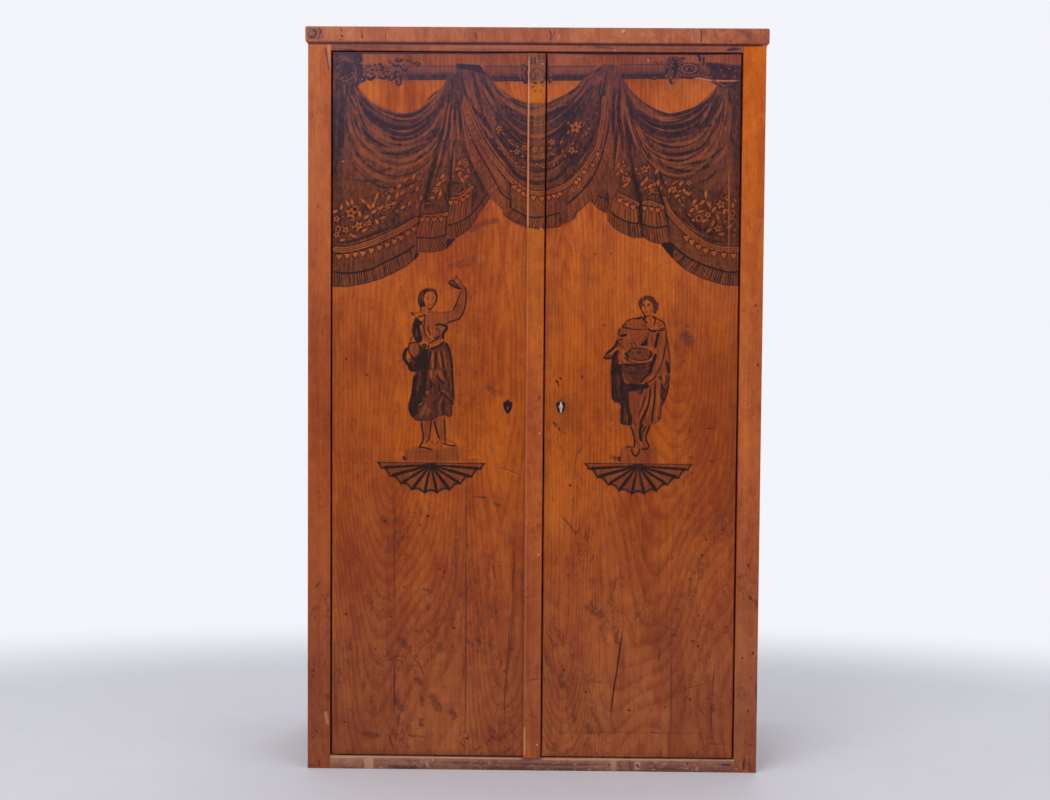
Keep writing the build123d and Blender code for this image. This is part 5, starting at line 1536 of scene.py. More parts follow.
def paint_right_swag(pen):
    """The right curtain."""
    pen.look(whole_view)
    cloth = [
        (622, 78), (625, 82), (632, 92), (645, 103), (658, 110), (669, 113.6), (682, 112.4), (698, 106),
        (708, 99), (717, 86), (722, 84), (744, 84), (744, 285), (736, 285.8), (722, 284), (705, 278),
        (690, 270), (673, 257), (661, 243.5), (672, 242), (668, 225), (662, 200), (655, 180), (640, 150),
        (628, 120), (622, 100)]
    pen.fill(cloth, tone=wash, smooth=False)
    side_shade = [(744, 82), (734, 84), (733, 130), (736, 200), (738, 286), (744, 286)]
    pen.fill(side_shade, tone=0.76, smooth=False, blur=6, share=0.85)
    pen.look(right_swag_view)
    folds = (
        (1.5, 0.88, [(62, 400), (120, 492), (200, 584), (300, 664), (420, 744), (530, 790), (620, 806),
         (720, 792), (850, 756), (950, 716), (1050, 636), (1150, 536), (1222, 452)]),
        (3.2, 0.88, [(630, 826), (760, 842), (880, 802), (980, 742), (1080, 652), (1190, 540)]),
        (4.4, 0.88, [(60, 500), (110, 640), (200, 770), (330, 882), (480, 952), (640, 992), (780, 1002),
         (900, 990), (1020, 922), (1120, 842), (1205, 770)]),
        (1.8, 0.88, [(900, 1000), (1060, 962), (1180, 922), (1250, 800)]),
        (3.4, 0.74, [(480, 1040), (620, 1092), (740, 1092), (900, 1052)]),
        (2.4, 0.90, [(470, 1180), (540, 1272), (620, 1302), (760, 1302), (900, 1272), (1030, 1222),
         (1105, 1130), (1160, 1022), (1182, 950)]), (3.0, 0.90, [(500, 1178), (560, 1192), (606, 1212)]),
        (1.8, 0.86, [(560, 1300), (640, 1372), (760, 1396), (900, 1332), (1000, 1252), (1085, 1165)]),
        (2.2, 0.86, [(600, 1332), (700, 1392), (820, 1422), (1000, 1402), (1150, 1342), (1285, 1222),
         (1345, 1125)]), (3.2, 0.90, [(1020, 1472), (1070, 1464), (1115, 1448)]),
        (2.6, 0.90, [(58, 480), (90, 620), (138, 800), (152, 1000), (150, 1105)]),
        (3.2, 0.90, [(48, 740), (80, 1000), (118, 1200), (140, 1400), (152, 1505)]),
        (2.0, 0.88, [(110, 620), (200, 900), (280, 1080), (340, 1240), (400, 1400), (440, 1505)]),
        (1.6, 0.86, [(212, 860), (300, 1060), (420, 1240), (500, 1400), (570, 1505)]),
        (2.6, 0.90, [(1355, 440), (1380, 600), (1420, 800), (1475, 960)]),
        (2.0, 0.92, [(1415, 540), (1470, 680), (1505, 745)]),
        (1.4, 0.86, [(1285, 560), (1240, 700), (1160, 805)]),
        (2.8, 0.90, [(1385, 1060), (1440, 1200), (1490, 1290)]),
        (2.0, 0.80, [(1300, 620), (1290, 820), (1330, 1000)]),
        (1.6, 0.84, [(1130, 640), (1100, 760), (1150, 860)]),
        (1.4, 0.80, [(250, 760), (400, 900), (560, 960)]))
    pen.folds(folds)
    lights = (
        (3.2, 0.46, [(330, 760), (450, 830), (560, 880), (700, 890)]),
        (3.6, 0.44, [(760, 900), (880, 870), (1000, 800)]),
        (4.0, 0.48, [(760, 1040), (900, 1010), (1050, 980)]),
        (5.0, 0.44, [(650, 1170), (780, 1190), (920, 1150), (1040, 1060)]),
        (3.0, 0.44, [(700, 1340), (820, 1345), (940, 1290)]),
        (4.0, 0.46, [(860, 1370), (1040, 1350), (1180, 1250)]),
        (3.4, 0.44, [(640, 1450), (760, 1480), (900, 1470)]),
        (3.0, 0.42, [(1180, 1420), (1280, 1320), (1330, 1240)]), (2.4, 0.26, [(1310, 950), (1322, 1010)]),
        (1.6, 0.42, [(1210, 560), (1120, 700), (1050, 790)]),
        (1.4, 0.40, [(1290, 660), (1230, 800), (1180, 880)]),
        (2.2, 0.42, [(120, 540), (180, 660), (260, 760)]),
        (1.4, 0.40, [(180, 900), (250, 1080), (330, 1280)]), (1.4, 0.36, [(480, 1190), (530, 1260)]),
        (3.4, 0.46, [(1370, 820), (1390, 960), (1420, 1060)]),
        (1.8, 0.42, [(90, 700), (120, 900), (180, 1100), (260, 1330)]),
        (1.8, 0.36, [(30, 620), (34, 900), (60, 1200)]))
    for width, tone, points in lights:
        pen.stroke(points, width=width, tone=tone, taper=0.45, soft=width * 0.8)
    pen.look(right_hem_view)
    band_ground = [
        (440, 180), (560, 200), (700, 180), (900, 260), (1100, 330), (1300, 380), (1480, 400),
        (1480, 960), (1240, 940), (1060, 880), (880, 760), (720, 610), (600, 470)]
    pen.fill(band_ground, tone=0.72, smooth=False, blur=5, share=0.7)
    band_folds = (
        (2.0, 0.88, [(560, 0), (640, 42), (740, 70), (870, 77), (1000, 60), (1110, 18)]),
        (1.5, 0.86, [(640, 72), (700, 100), (742, 116)]),
        (2.2, 0.80, [(900, 245), (1040, 192), (1150, 122), (1235, 20)]),
        (3.6, 0.90, [(780, 560), (900, 700), (1060, 822), (1245, 882)]),
        (2.8, 0.90, [(600, 520), (740, 650), (900, 790)]),
        (2.4, 0.88, [(480, 60), (530, 220), (590, 330)]),
        (3.0, 0.86, [(980, 860), (1120, 930), (1300, 960)]),
        (2.0, 0.82, [(1300, 230), (1250, 330), (1200, 420)]))
    pen.folds(band_folds)
    leaf = 0.22
    leaves = [
        (665, 225, 60, 1.5), (700, 205, 130, 1.4), (770, 232, 80, 1.9), (850, 237, 5, 2.8),
        (740, 322, 40, 1.8), (872, 345, 70, 1.9), (835, 370, 30, 1.5), (780, 405, 50, 1.8),
        (680, 385, 0, 1.6), (735, 440, 130, 2.6), (775, 495, 130, 2.4), (1065, 345, 90, 3.2),
        (925, 498, 176, 3.8), (1115, 480, 70, 3.4), (1320, 400, 95, 4.0), (1295, 490, 30, 2.0),
        (1425, 440, 110, 2.6), (1400, 560, 20, 1.8), (1370, 600, 60, 1.6), (1335, 560, 0, 1.4),
        (1200, 585, 60, 1.6), (1235, 600, 120, 1.8), (1165, 700, 80, 2.4), (1300, 700, 40, 1.8),
        (1350, 790, 50, 1.8), (1410, 660, 90, 2.0), (745, 555, 130, 1.8), (860, 620, 130, 2.6),
        (905, 680, 130, 1.8), (700, 330, 150, 1.3), (1080, 685, 20, 1.8), (960, 640, 60, 1.4),
        (505, 290, 120, 2.2), (570, 215, 60, 1.6), (1415, 800, 110, 1.6), (1410, 870, 90, 1.8),
        (1225, 470, 60, 1.6), (1200, 505, 120, 1.2)]
    pen.petals(leaves, size=2.0, tone=leaf)
    blossoms = [(1222, 785, 2.8), (975, 655, 2.6), (1390, 590, 2.0)]
    pen.rings(blossoms, tone=leaf)
    stems = [
        (1.0, 0.92, [(1030, 440), (1090, 560), (1190, 650)]),
        (1.0, 0.92, [(1080, 590), (1180, 722), (1265, 852)]),
        (0.9, 0.42, [(880, 560), (1000, 600), (1120, 640)]), (0.9, 0.92, [(1190, 640), (1290, 590)]),
        (2.0, 0.93, [(660, 270), (690, 285)], 0.2), (1.8, 0.92, [(800, 150), (806, 205)], 0.3),
        (2.2, 0.93, [(1200, 545), (1230, 540)], 0.3), (1.4, 0.92, [(800, 290), (835, 300)], 0.3),
        (1.0, 0.44, [(640, 560), (760, 680), (900, 800), (1040, 880)]),
        (1.0, 0.46, [(700, 700), (860, 830), (1000, 900)]), (1.4, 0.92, [(1080, 740), (1060, 800)], 0.3),
        (1.2, 0.90, [(1270, 330), (1300, 420), (1280, 500)])]
    pen.strokes(stems)
    net_top = [(590, 620), (700, 750), (860, 900), (1040, 1010), (1230, 1070), (1480, 1085)]
    net_foot = [
        (625, 950), (760, 1082), (900, 1172), (1060, 1242), (1200, 1287), (1350, 1322), (1480, 1312)]
    pen.fringe(net_top, net_foot, pitch=2.0, ground=0.58, light=0.46, dark=0.76, width=0.9)
    threads_top = [
        (620, 955), (760, 1082), (900, 1172), (1060, 1242), (1200, 1287), (1350, 1322), (1480, 1312)]
    threads_foot = [
        (510, 985), (650, 1150), (800, 1282), (980, 1382), (1150, 1442), (1300, 1482), (1480, 1487)]
    pen.fringe(threads_top, threads_foot, pitch=2.25)
    braid_line = [(530, 400), (600, 562), (720, 712), (880, 862), (1060, 982), (1240, 1036), (1480, 1046)]
    pen.braid(braid_line)
    cord_line = [
        (622, 952), (760, 1082), (900, 1172), (1060, 1242), (1200, 1287), (1350, 1322), (1480, 1312)]
    pen.beads(cord_line, width=2.0)
    hearts = [
        (820, 902, 0.3), (888, 950, 0.2), (970, 1010), (1060, 1056), (1160, 1090), (1285, 1112),
        (1400, 1120)]
    pen.drops(hearts, size=5.4, tone=0.22)
    loose_end = [(500, 970), (625, 955), (660, 1010), (650, 1160)]
    pen.fill(loose_end, tone=0.90, smooth=False)


def paint_grounds(pen):
    """Gathered cloth where two swags meet on the rod."""
    pen.look(whole_view)
    left_end = [(326, 49), (348, 49), (348, 96), (334, 96), (334, 284), (326, 284)]
    pen.fill(left_end, tone=0.66, smooth=False)
    right_end = [(736, 72), (746, 72), (746, 283), (736, 283)]
    pen.fill(right_end, tone=0.60, smooth=False)
    left_meeting = [(447, 76), (461, 74), (466, 100), (472, 132), (480, 156), (436, 160), (430, 128)]
    pen.fill(left_meeting, tone=0.62, blur=2)
    right_meeting = [(616, 88), (626, 84), (632, 104), (642, 130), (660, 156), (610, 156), (612, 110)]
    pen.fill(right_meeting, tone=0.64, blur=2)


def paint_gathers(pen):
    """Fine folds that run over the swags, and the flowers worked on them."""
    pen.look(whole_view)
    mixed = (0.94, 0.48, 0.88, 0.54)
    left_head = [(357, 84), (368, 98), (385, 110), (402, 114.5), (416, 112), (431, 101), (446, 84)]
    left_low = [(350, 95), (358, 122), (380, 143), (405, 150), (430, 138), (444, 115), (454, 90)]
    right_head = [(624, 82), (633, 98), (648, 110), (668, 113.5), (688, 109), (705, 98), (717, 85)]
    right_low = [(621, 95), (632, 122), (650, 143), (675, 152), (700, 144), (717, 120), (727, 92)]
    middle_head = [
        (484, 68), (497, 88), (512, 100), (530, 106), (546, 103), (562, 96), (577, 86), (590, 70)]
    middle_low = [
        (474, 74), (480, 105), (490, 133), (504, 158), (518, 176), (537, 184), (556, 179), (571, 164),
        (584, 140), (596, 110), (600, 80)]
    left_cloth = [
        (352, 92), (372, 112), (392, 122), (412, 124), (432, 112), (446, 92), (440, 118), (420, 134),
        (396, 134), (370, 120)]
    pen.fill(left_cloth, tone=0.88, blur=8, share=0.75)
    left_rise = [(388, 132), (410, 132), (436, 128), (444, 134), (420, 142), (396, 142)]
    pen.fill(left_rise, tone=0.90, blur=6, share=0.7)
    right_cloth = [
        (626, 92), (640, 110), (660, 122), (684, 122), (704, 110), (718, 94), (712, 120), (690, 136),
        (664, 138), (640, 126)]
    pen.fill(right_cloth, tone=0.86, blur=8, share=0.7)
    middle_cloth = [
        (496, 96), (516, 110), (540, 114), (566, 106), (580, 94), (572, 130), (548, 168), (536, 174),
        (516, 160), (498, 132)]
    pen.fill(middle_cloth, tone=0.86, blur=8, share=0.62)
    middle_rise = [
        (556, 106), (580, 96), (600, 84), (606, 110), (600, 140), (588, 168), (570, 186), (558, 160)]
    pen.fill(middle_rise, tone=0.88, blur=7, share=0.5)
    pen.between(left_head, left_low, count=12, width=1.5, tones=mixed)
    pen.between(right_head, right_low, count=12, width=1.5, tones=mixed)
    pen.between(middle_head, middle_low, count=15, width=1.6, tones=mixed)
    left_fall_foot = [(345, 110), (350, 160), (376, 186), (404, 188), (428, 172), (444, 140), (456, 100)]
    pen.between(left_low, left_fall_foot, count=7, width=1.3, tones=(0.90, 0.46))
    right_fall_foot = [(622, 110), (640, 152), (664, 176), (690, 178), (712, 160), (724, 130), (732, 100)]
    pen.between(right_low, right_fall_foot, count=7, width=1.3, tones=(0.90, 0.46))
    left_side_top = [(337, 92), (333, 130), (332, 180)]
    left_side_foot = [(356, 88), (366, 108), (382, 128)]
    pen.between(left_side_top, left_side_foot, count=11, width=1.5, tones=mixed)
    right_side_top = [(716, 88), (704, 108), (690, 124)]
    right_side_foot = [(739, 90), (741, 130), (741, 180)]
    pen.between(right_side_top, right_side_foot, count=11, width=1.5, tones=mixed)
    left_tail_top = [(452, 80), (447, 100), (440, 130), (426, 165)]
    left_tail_foot = [(460, 78), (463, 105), (470, 140), (480, 170)]
    pen.between(left_tail_top, left_tail_foot, count=13, width=1.5, tones=(0.98, 0.92, 0.40))
    right_tail_top = [(617, 82), (612, 110), (611, 140), (614, 172)]
    right_tail_foot = [(625, 84), (631, 108), (643, 136), (660, 170)]
    pen.between(right_tail_top, right_tail_foot, count=12, width=1.5, tones=(0.98, 0.90, 0.40))
    middle_left_top = [(466, 70), (470, 95), (478, 125)]
    middle_left_foot = [(486, 66), (500, 88), (520, 106)]
    pen.between(middle_left_top, middle_left_foot, count=10, width=1.6, tones=mixed)
    middle_right_top = [(582, 76), (572, 92), (556, 104)]
    middle_right_foot = [(606, 68), (603, 92), (597, 118)]
    pen.between(middle_right_top, middle_right_foot, count=10, width=1.6, tones=mixed)
    tail_shade = [(450, 76), (462, 74), (464, 100), (456, 112), (446, 100)]
    pen.fill(tail_shade, tone=0.90, blur=8, share=0.50)
    left_shade = [(330, 96), (346, 92), (346, 130), (336, 170), (331, 170)]
    pen.fill(left_shade, tone=0.88, blur=6, share=0.6)
    right_shade = [(728, 90), (741, 92), (742, 190), (734, 170)]
    pen.fill(right_shade, tone=0.80, blur=6, share=0.4)
    shawl_braid = [
        (604.6, 96), (602.5, 120), (598.4, 144), (591.7, 157), (580.5, 173.2), (568, 184), (556, 190),
        (546.2, 193)]
    pen.braid(shawl_braid, width=4.4, tone=0.28, threads=3)
    shawl_hearts = [
        (597.5, 154, 0.5), (592.7, 165, 0.5), (584, 172, 0.4), (579, 179.4, 0.4), (576.3, 182.3, 0.3),
        (560, 194, 0.2), (554, 196, 0.1), (549, 197.4)]
    pen.drops(shawl_hearts, size=4.2, tone=0.24)
    # Flowers low on the left swag
    pen.look(left_pair_view)
    left_ground = [
        (40, 360), (190, 300), (330, 250), (500, 170), (520, 300), (480, 400), (300, 470), (150, 530),
        (40, 540)]
    pen.fill(left_ground, tone=0.72, blur=6, share=0.20)
    left_flowers = (
        (135, 380, 3.8), (175, 445, 3.0), (108, 468, 2.6), (60, 492, 2.4), (325, 345, 2.4),
        (490, 195, 2.2), (345, 262, 2.0), (60, 410, 2.4), (230, 430, 2.2), (575, 260, 2.4),
        (730, 125, 2.6))
    pen.blossoms(left_flowers)
    left_leaves = [
        (270, 292, 70, 3.6), (200, 318, 140, 3.4), (228, 345, 130, 2.6), (118, 330, 120, 2.8),
        (140, 322, 100, 2.4), (255, 372, 30, 2.6), (292, 352, 40, 2.8), (330, 300, 60, 2.4),
        (375, 290, 70, 2.6), (355, 330, 20, 2.4), (400, 275, 50), (420, 205, 40), (462, 190, 60),
        (440, 330, 60), (478, 345, 80), (405, 350, 30), (270, 425, 120), (300, 405, 20), (205, 470, 30),
        (90, 520, 10), (150, 500, 160), (85, 350, 80), (52, 372, 20), (250, 340, 80),
        (180, 385, 100, 2.6), (215, 400, 30), (480, 255, 60), (450, 240, 30), (385, 240, 60),
        (500, 300, 80), (600, 280, 70, 2.8), (590, 230, 40), (560, 300, 10), (610, 190, 60),
        (700, 175, 60), (735, 190, 20), (715, 210, 120), (700, 120, 60), (690, 150, 10), (745, 160, 100)]
    pen.leaves(left_leaves)
    # Flowers low on the right swag
    pen.look(right_pair_view)
    right_ground = [
        (690, 240), (800, 200), (880, 250), (1050, 300), (1050, 520), (900, 500), (780, 400), (700, 320)]
    pen.fill(right_ground, tone=0.76, blur=6, share=0.20)
    right_flowers = (
        (965, 335, 3.2), (720, 258, 2.6), (570, 152, 2.8), (950, 460, 2.6), (900, 390, 2.4),
        (1020, 400, 2.4), (610, 262, 2.2), (1000, 300, 2.2), (800, 222, 2.0), (465, 205, 2.4))
    pen.blossoms(right_flowers)
    right_leaves = [
        (888, 282, 90, 3.8), (868, 325, 40, 3.0), (905, 335, 120, 3.0), (930, 362, 60, 2.8),
        (862, 372, 10, 2.8), (985, 372, 60), (950, 400, 110, 2.8), (925, 432, 70, 2.8), (880, 420, 30),
        (760, 225, 60), (775, 262, 110), (740, 290, 20), (700, 262, 70), (792, 278, 140), (830, 320, 40),
        (600, 240, 30, 2.8), (580, 205, 70), (632, 165, 60), (640, 222, 90), (432, 130, 80, 3.0),
        (430, 175, 60), (470, 235, 30, 2.8), (490, 205, 100), (450, 160, 120), (560, 225, 60),
        (1030, 340, 80), (1010, 450, 30), (970, 490, 10), (840, 350, 90), (815, 365, 40), (905, 470, 40)]
    pen.leaves(right_leaves)
    # Flowers low on the middle swag
    pen.look(middle_pair_view)
    middle_flowers = (
        (918, 50, 4.2), (892, 205, 2.6), (758, 150, 2.4), (400, 60, 2.4), (572, 190, 2.4),
        (640, 200, 2.2), (700, 245, 2.0), (520, 215, 2.2))
    pen.blossoms(middle_flowers)
    middle_leaves = [
        (292, 45, 130, 3.0), (322, 72, 130, 3.0), (350, 110, 130, 2.8), (430, 92, 130, 2.8),
        (470, 140, 140, 3.0), (492, 165, 150, 3.0), (525, 180, 150, 2.6), (483, 212, 160, 2.8),
        (560, 245, 170, 2.8), (515, 290, 160, 3.0), (565, 318, 160, 2.8), (440, 230, 145, 3.4),
        (400, 190, 135, 3.0), (465, 255, 145, 3.0), (640, 250, 0, 2.4), (690, 190, 20),
        (745, 190, 60, 2.6), (765, 232, 10, 2.8), (772, 300, 80, 2.8), (738, 300, 70),
        (822, 150, 60, 3.6), (870, 85, 60), (990, 92, 50, 3.0), (950, 20, 50, 3.0), (925, 215, 30),
        (850, 245, 70), (830, 210, 100), (900, 160, 60), (600, 150, 20), (660, 300, 10), (700, 320, 170),
        (870, 20, 50), (1010, 60, 60)]
    pen.leaves(middle_leaves, size=1.5)


def paint_left_mount(pen):
    """Rosette, leaves and spray at the left end of the rod."""
    pen.look(left_swag_view)
    block = [
        (0, -20), (450, -10), (462, 110), (450, 175), (520, 190), (500, 380), (400, 440), (385, 560),
        (0, 560)]
    pen.fill(block, tone=0.76, smooth=False, blur=2)
    leaf_lines = [
        (2.4, 0.52, [(110, 130), (180, 90), (270, 105), (330, 150)], 0.4, 1.8),
        (1.0, 0.40, [(140, 160), (230, 120), (310, 150)]),
        (1.4, 0.50, [(135, 280), (155, 345), (230, 382), (300, 360), (355, 300), (372, 240), (340, 200)],
         0.2),
        (1.1, 0.34, [(305, 240), (318, 280), (350, 288)]),
        (1.1, 0.38, [(340, 320), (370, 360), (365, 420)]),
        (1.2, 0.42, [(350, 440), (380, 520), (420, 580)]),
        (1.0, 0.42, [(240, 560), (225, 480), (235, 420)]),
        (1.2, 0.42, [(130, 220), (150, 200), (185, 190)]),
        (1.0, 0.46, [(110, 320), (100, 400), (110, 520)]),
        (4.0, 0.90, [(215, 230), (270, 210), (300, 260), (240, 300)], 0.2, 1.6),
        (2.0, 0.92, [(385, 60), (430, 80), (440, 130)], 0.2),
        (1.6, 0.90, [(250, 420), (260, 500), (280, 560)], 0.3)]
    pen.strokes(leaf_lines)
    small_petals = [
        (135, 222, 60, 1.2), (330, 145, 100, 1.2), (435, 165, 0, 1.2), (442, 375, 60, 1.6),
        (205, 340, 150, 1.4), (160, 300, 110, 1.2), (255, 385, 0, 1.6), (320, 350, 40, 1.2)]
    pen.petals(small_petals, size=1.4, tone=0.20)
    pen.look(mount_view)
    bracket = [
        (150, 320), (420, 330), (560, 300), (700, 340), (980, 320), (1160, 380), (1170, 660),
        (1000, 680), (760, 690), (560, 650), (420, 640), (330, 670), (240, 640), (190, 620)]
    pen.fill(bracket, tone=0.44, smooth=False, blur=2)
    end_shade = [(1000, 470), (1180, 470), (1180, 660), (1020, 660)]
    pen.fill(end_shade, tone=0.72, smooth=False, blur=2)
    details = [
        (2.4, 0.92, [(730, 236), (760, 275), (800, 305)], 0.3),
        (1.8, 0.90, [(872, 262), (915, 210), (938, 165)], 0.2),
        (3.0, 0.92, [(905, 270), (990, 245), (1062, 195)], 0.2),
        (1.8, 0.92, [(1112, 236), (1185, 240), (1255, 272), (1315, 316)], 0.1),
        (2.0, 0.90, [(1312, 318), (1350, 284), (1410, 290), (1432, 326), (1395, 352), (1352, 340)], 0.0),
        (2.2, 0.90, [(830, 300), (846, 350), (900, 362), (975, 342)], 0.1),
        (1.9, 0.92, [(985, 330), (1008, 395), (1060, 440), (1145, 462)], 0.1),
        (1.7, 0.92, [(1035, 332), (1095, 325)]), (1.9, 0.92, [(1050, 482), (1122, 470)]),
        (1.5, 0.90, [(1130, 380), (1150, 420), (1145, 460)]), (2.3, 0.94, [(268, 372), (342, 365)]),
        (2.2, 0.92, [(345, 452), (388, 438)]), (2.0, 0.90, [(405, 330), (446, 332)]),
        (1.6, 0.84, [(440, 335), (470, 420), (440, 500)]),
        (2.2, 0.92, [(486, 324), (560, 318), (515, 362)]), (2.5, 0.97, [(572, 380), (622, 396)], 0.1),
        (2.4, 0.96, [(556, 438), (612, 452)], 0.1), (1.1, 0.76, [(600, 402), (700, 412), (805, 398)]),
        (1.4, 0.84, [(620, 486), (700, 478), (805, 484)]), (2.0, 0.92, [(598, 526), (642, 510)]),
        (2.0, 0.88, [(200, 555), (232, 606)]),
        (3.0, 0.92, [(256, 610), (290, 648), (345, 656), (402, 614)], 0.1),
        (2.6, 0.92, [(488, 586), (540, 622), (645, 638)], 0.1),
        (3.2, 0.90, [(655, 580), (700, 612), (742, 606)], 0.2),
        (1.7, 0.92, [(742, 640), (782, 684), (824, 660), (866, 588), (858, 530)], 0.0),
        (1.6, 0.90, [(748, 632), (780, 560), (830, 510)], 0.1),
        (2.4, 0.92, [(850, 496), (920, 488), (985, 510)]),
        (3.6, 0.90, [(886, 540), (884, 600), (912, 640)], 0.1),
        (2.4, 0.92, [(962, 540), (1000, 615), (1008, 690)], 0.1),
        (2.0, 0.92, [(905, 690), (912, 750), (950, 786), (1000, 760), (1016, 706)], 0.0),
        (2.2, 0.80, [(940, 716), (962, 720)]),
        (1.6, 0.90, [(96, 640), (140, 612), (184, 640), (176, 690), (130, 706)], 0.0),
        (1.6, 0.88, [(128, 500), (136, 600)]), (1.6, 0.84, [(300, 500), (340, 528), (390, 520)]),
        (1.5, 0.84, [(200, 480), (250, 500), (300, 470)]),
        (1.4, 0.80, [(250, 320), (236, 380), (262, 430)]),
        (1.3, 0.80, [(480, 440), (520, 470), (500, 520)]),
        (1.3, 0.80, [(180, 400), (205, 440), (190, 490)]),
        (1.4, 0.84, [(380, 560), (420, 590), (440, 640)])]
    pen.strokes(details)
    light_petals = [
        (802, 590, 75, 3.2), (930, 296, 175, 2.4), (930, 652, 0, 1.4), (600, 588, 130, 2.2),
        (330, 578, 8, 2.6), (310, 410, 20, 1.8), (300, 330, 0, 1.2), (720, 442, 5, 3.0),
        (540, 400, 0, 1.2), (136, 652, 0, 1.3), (178, 556, 80, 1.8), (440, 392, 100, 1.6),
        (540, 490, 140, 1.6), (1070, 396, 20, 1.4), (1090, 514, 0, 1.4), (935, 540, 120, 2.2),
        (676, 520, 0, 1.8), (790, 262, 140, 1.8), (470, 610, 90, 1.6)]
    pen.petals(light_petals, size=1.4, tone=0.16, edge=0.80)


def paint_right_mount(pen):
    """Leaves, knob and block at the right end of the rod."""
    pen.look(right_swag_view)
    leaf_ground = [
        (555, 170), (600, 100), (700, 80), (790, 90), (800, 200), (1060, 150), (1200, 160), (1530, 195),
        (1530, 400), (1400, 470), (1220, 440), (1100, 385), (900, 350), (780, 360), (640, 380),
        (560, 340)]
    pen.fill(leaf_ground, tone=0.58, smooth=False, blur=2)
    block = [
        (1060, 155), (1200, 160), (1530, 198), (1545, 400), (1400, 480), (1240, 460), (1150, 400),
        (1110, 340), (1130, 260)]
    pen.fill(block, tone=0.80, smooth=False, blur=2)
    discs = ((1.0, 0.84), (0.72, 0.40), (0.50, 0.84), (0.28, 0.44))
    disc_middle, disc_wide, disc_tall = (865, 235), 125, 72
    for reach, tone in discs:
        disc = oval(disc_middle, disc_wide * reach, disc_tall * reach, 0, round_angles(18))
        pen.stroke(disc, width=1.3, tone=tone, taper=0.0)
    details = [
        (3.2, 0.92, [(680, 110), (700, 200), (690, 300), (680, 360)], 0.2),
        (2.0, 0.90, [(560, 200), (590, 250), (560, 320)]),
        (2.0, 0.90, [(640, 150), (660, 230), (640, 300)]),
        (1.8, 0.90, [(740, 120), (720, 180), (745, 250)]),
        (2.4, 0.92, [(620, 360), (650, 420), (690, 400)], 0.2),
        (1.6, 0.90, [(750, 330), (780, 350), (800, 330)]),
        (1.6, 0.88, [(600, 110), (640, 90), (680, 120)]),
        (1.8, 0.88, [(760, 110), (800, 100), (830, 120)]),
        (1.6, 0.88, [(440, 140), (460, 160), (480, 170)]),
        (2.6, 0.92, [(860, 225), (880, 245), (865, 262)], 0.2, 1.0),
        (2.8, 0.90, [(960, 60), (1000, 90), (1000, 150)], 0.2),
        (1.4, 0.30, [(1030, 80), (1035, 140), (1025, 195)]),
        (2.0, 0.90, [(1050, 60), (1050, 130), (1035, 200)]),
        (1.4, 0.40, [(1010, 240), (1060, 225), (1100, 240)]),
        (2.2, 0.92, [(790, 340), (900, 352), (1000, 340)], 0.2),
        (1.6, 0.90, [(400, 345), (430, 372), (465, 350)]),
        (1.5, -0.30, [(905, 352), (1000, 358), (1090, 374), (1200, 384), (1330, 388), (1500, 384)], 0.1),
        (1.2, 0.36, [(1250, 420), (1300, 450), (1350, 440)]),
        (1.0, 0.50, [(1180, 400), (1230, 410), (1260, 440)])]
    pen.strokes(details)
    light_petals = [
        (590, 212, 30, 1.5), (612, 278, 60, 1.5), (578, 322, 20, 1.4), (650, 195, 80, 1.3),
        (655, 270, 100, 1.3), (665, 150, 60, 1.3), (735, 150, 60, 1.6), (755, 320, 110, 2.0),
        (640, 345, 60, 1.6), (665, 420, 90, 1.3), (640, 100, 30, 1.3), (700, 100, 150, 1.3),
        (740, 235, 0, 1.3), (1035, 308, 0, 1.8), (1132, 338, 0, 1.3), (1310, 330, 80, 1.8),
        (1440, 335, 60, 1.5), (1270, 255, 20, 1.3), (1370, 235, 0, 1.4), (1180, 390, 40, 1.3),
        (430, 345, 0, 1.2), (600, 165, 130, 1.3), (520, 155, 20, 1.3), (1450, 260, 30, 1.3)]
    pen.petals(light_petals, size=1.6, tone=0.24, edge=0.9)
    chip = [(1.6, -0.55, [(352, 128), (354, 136)], 0.0)]
    pen.strokes(chip)


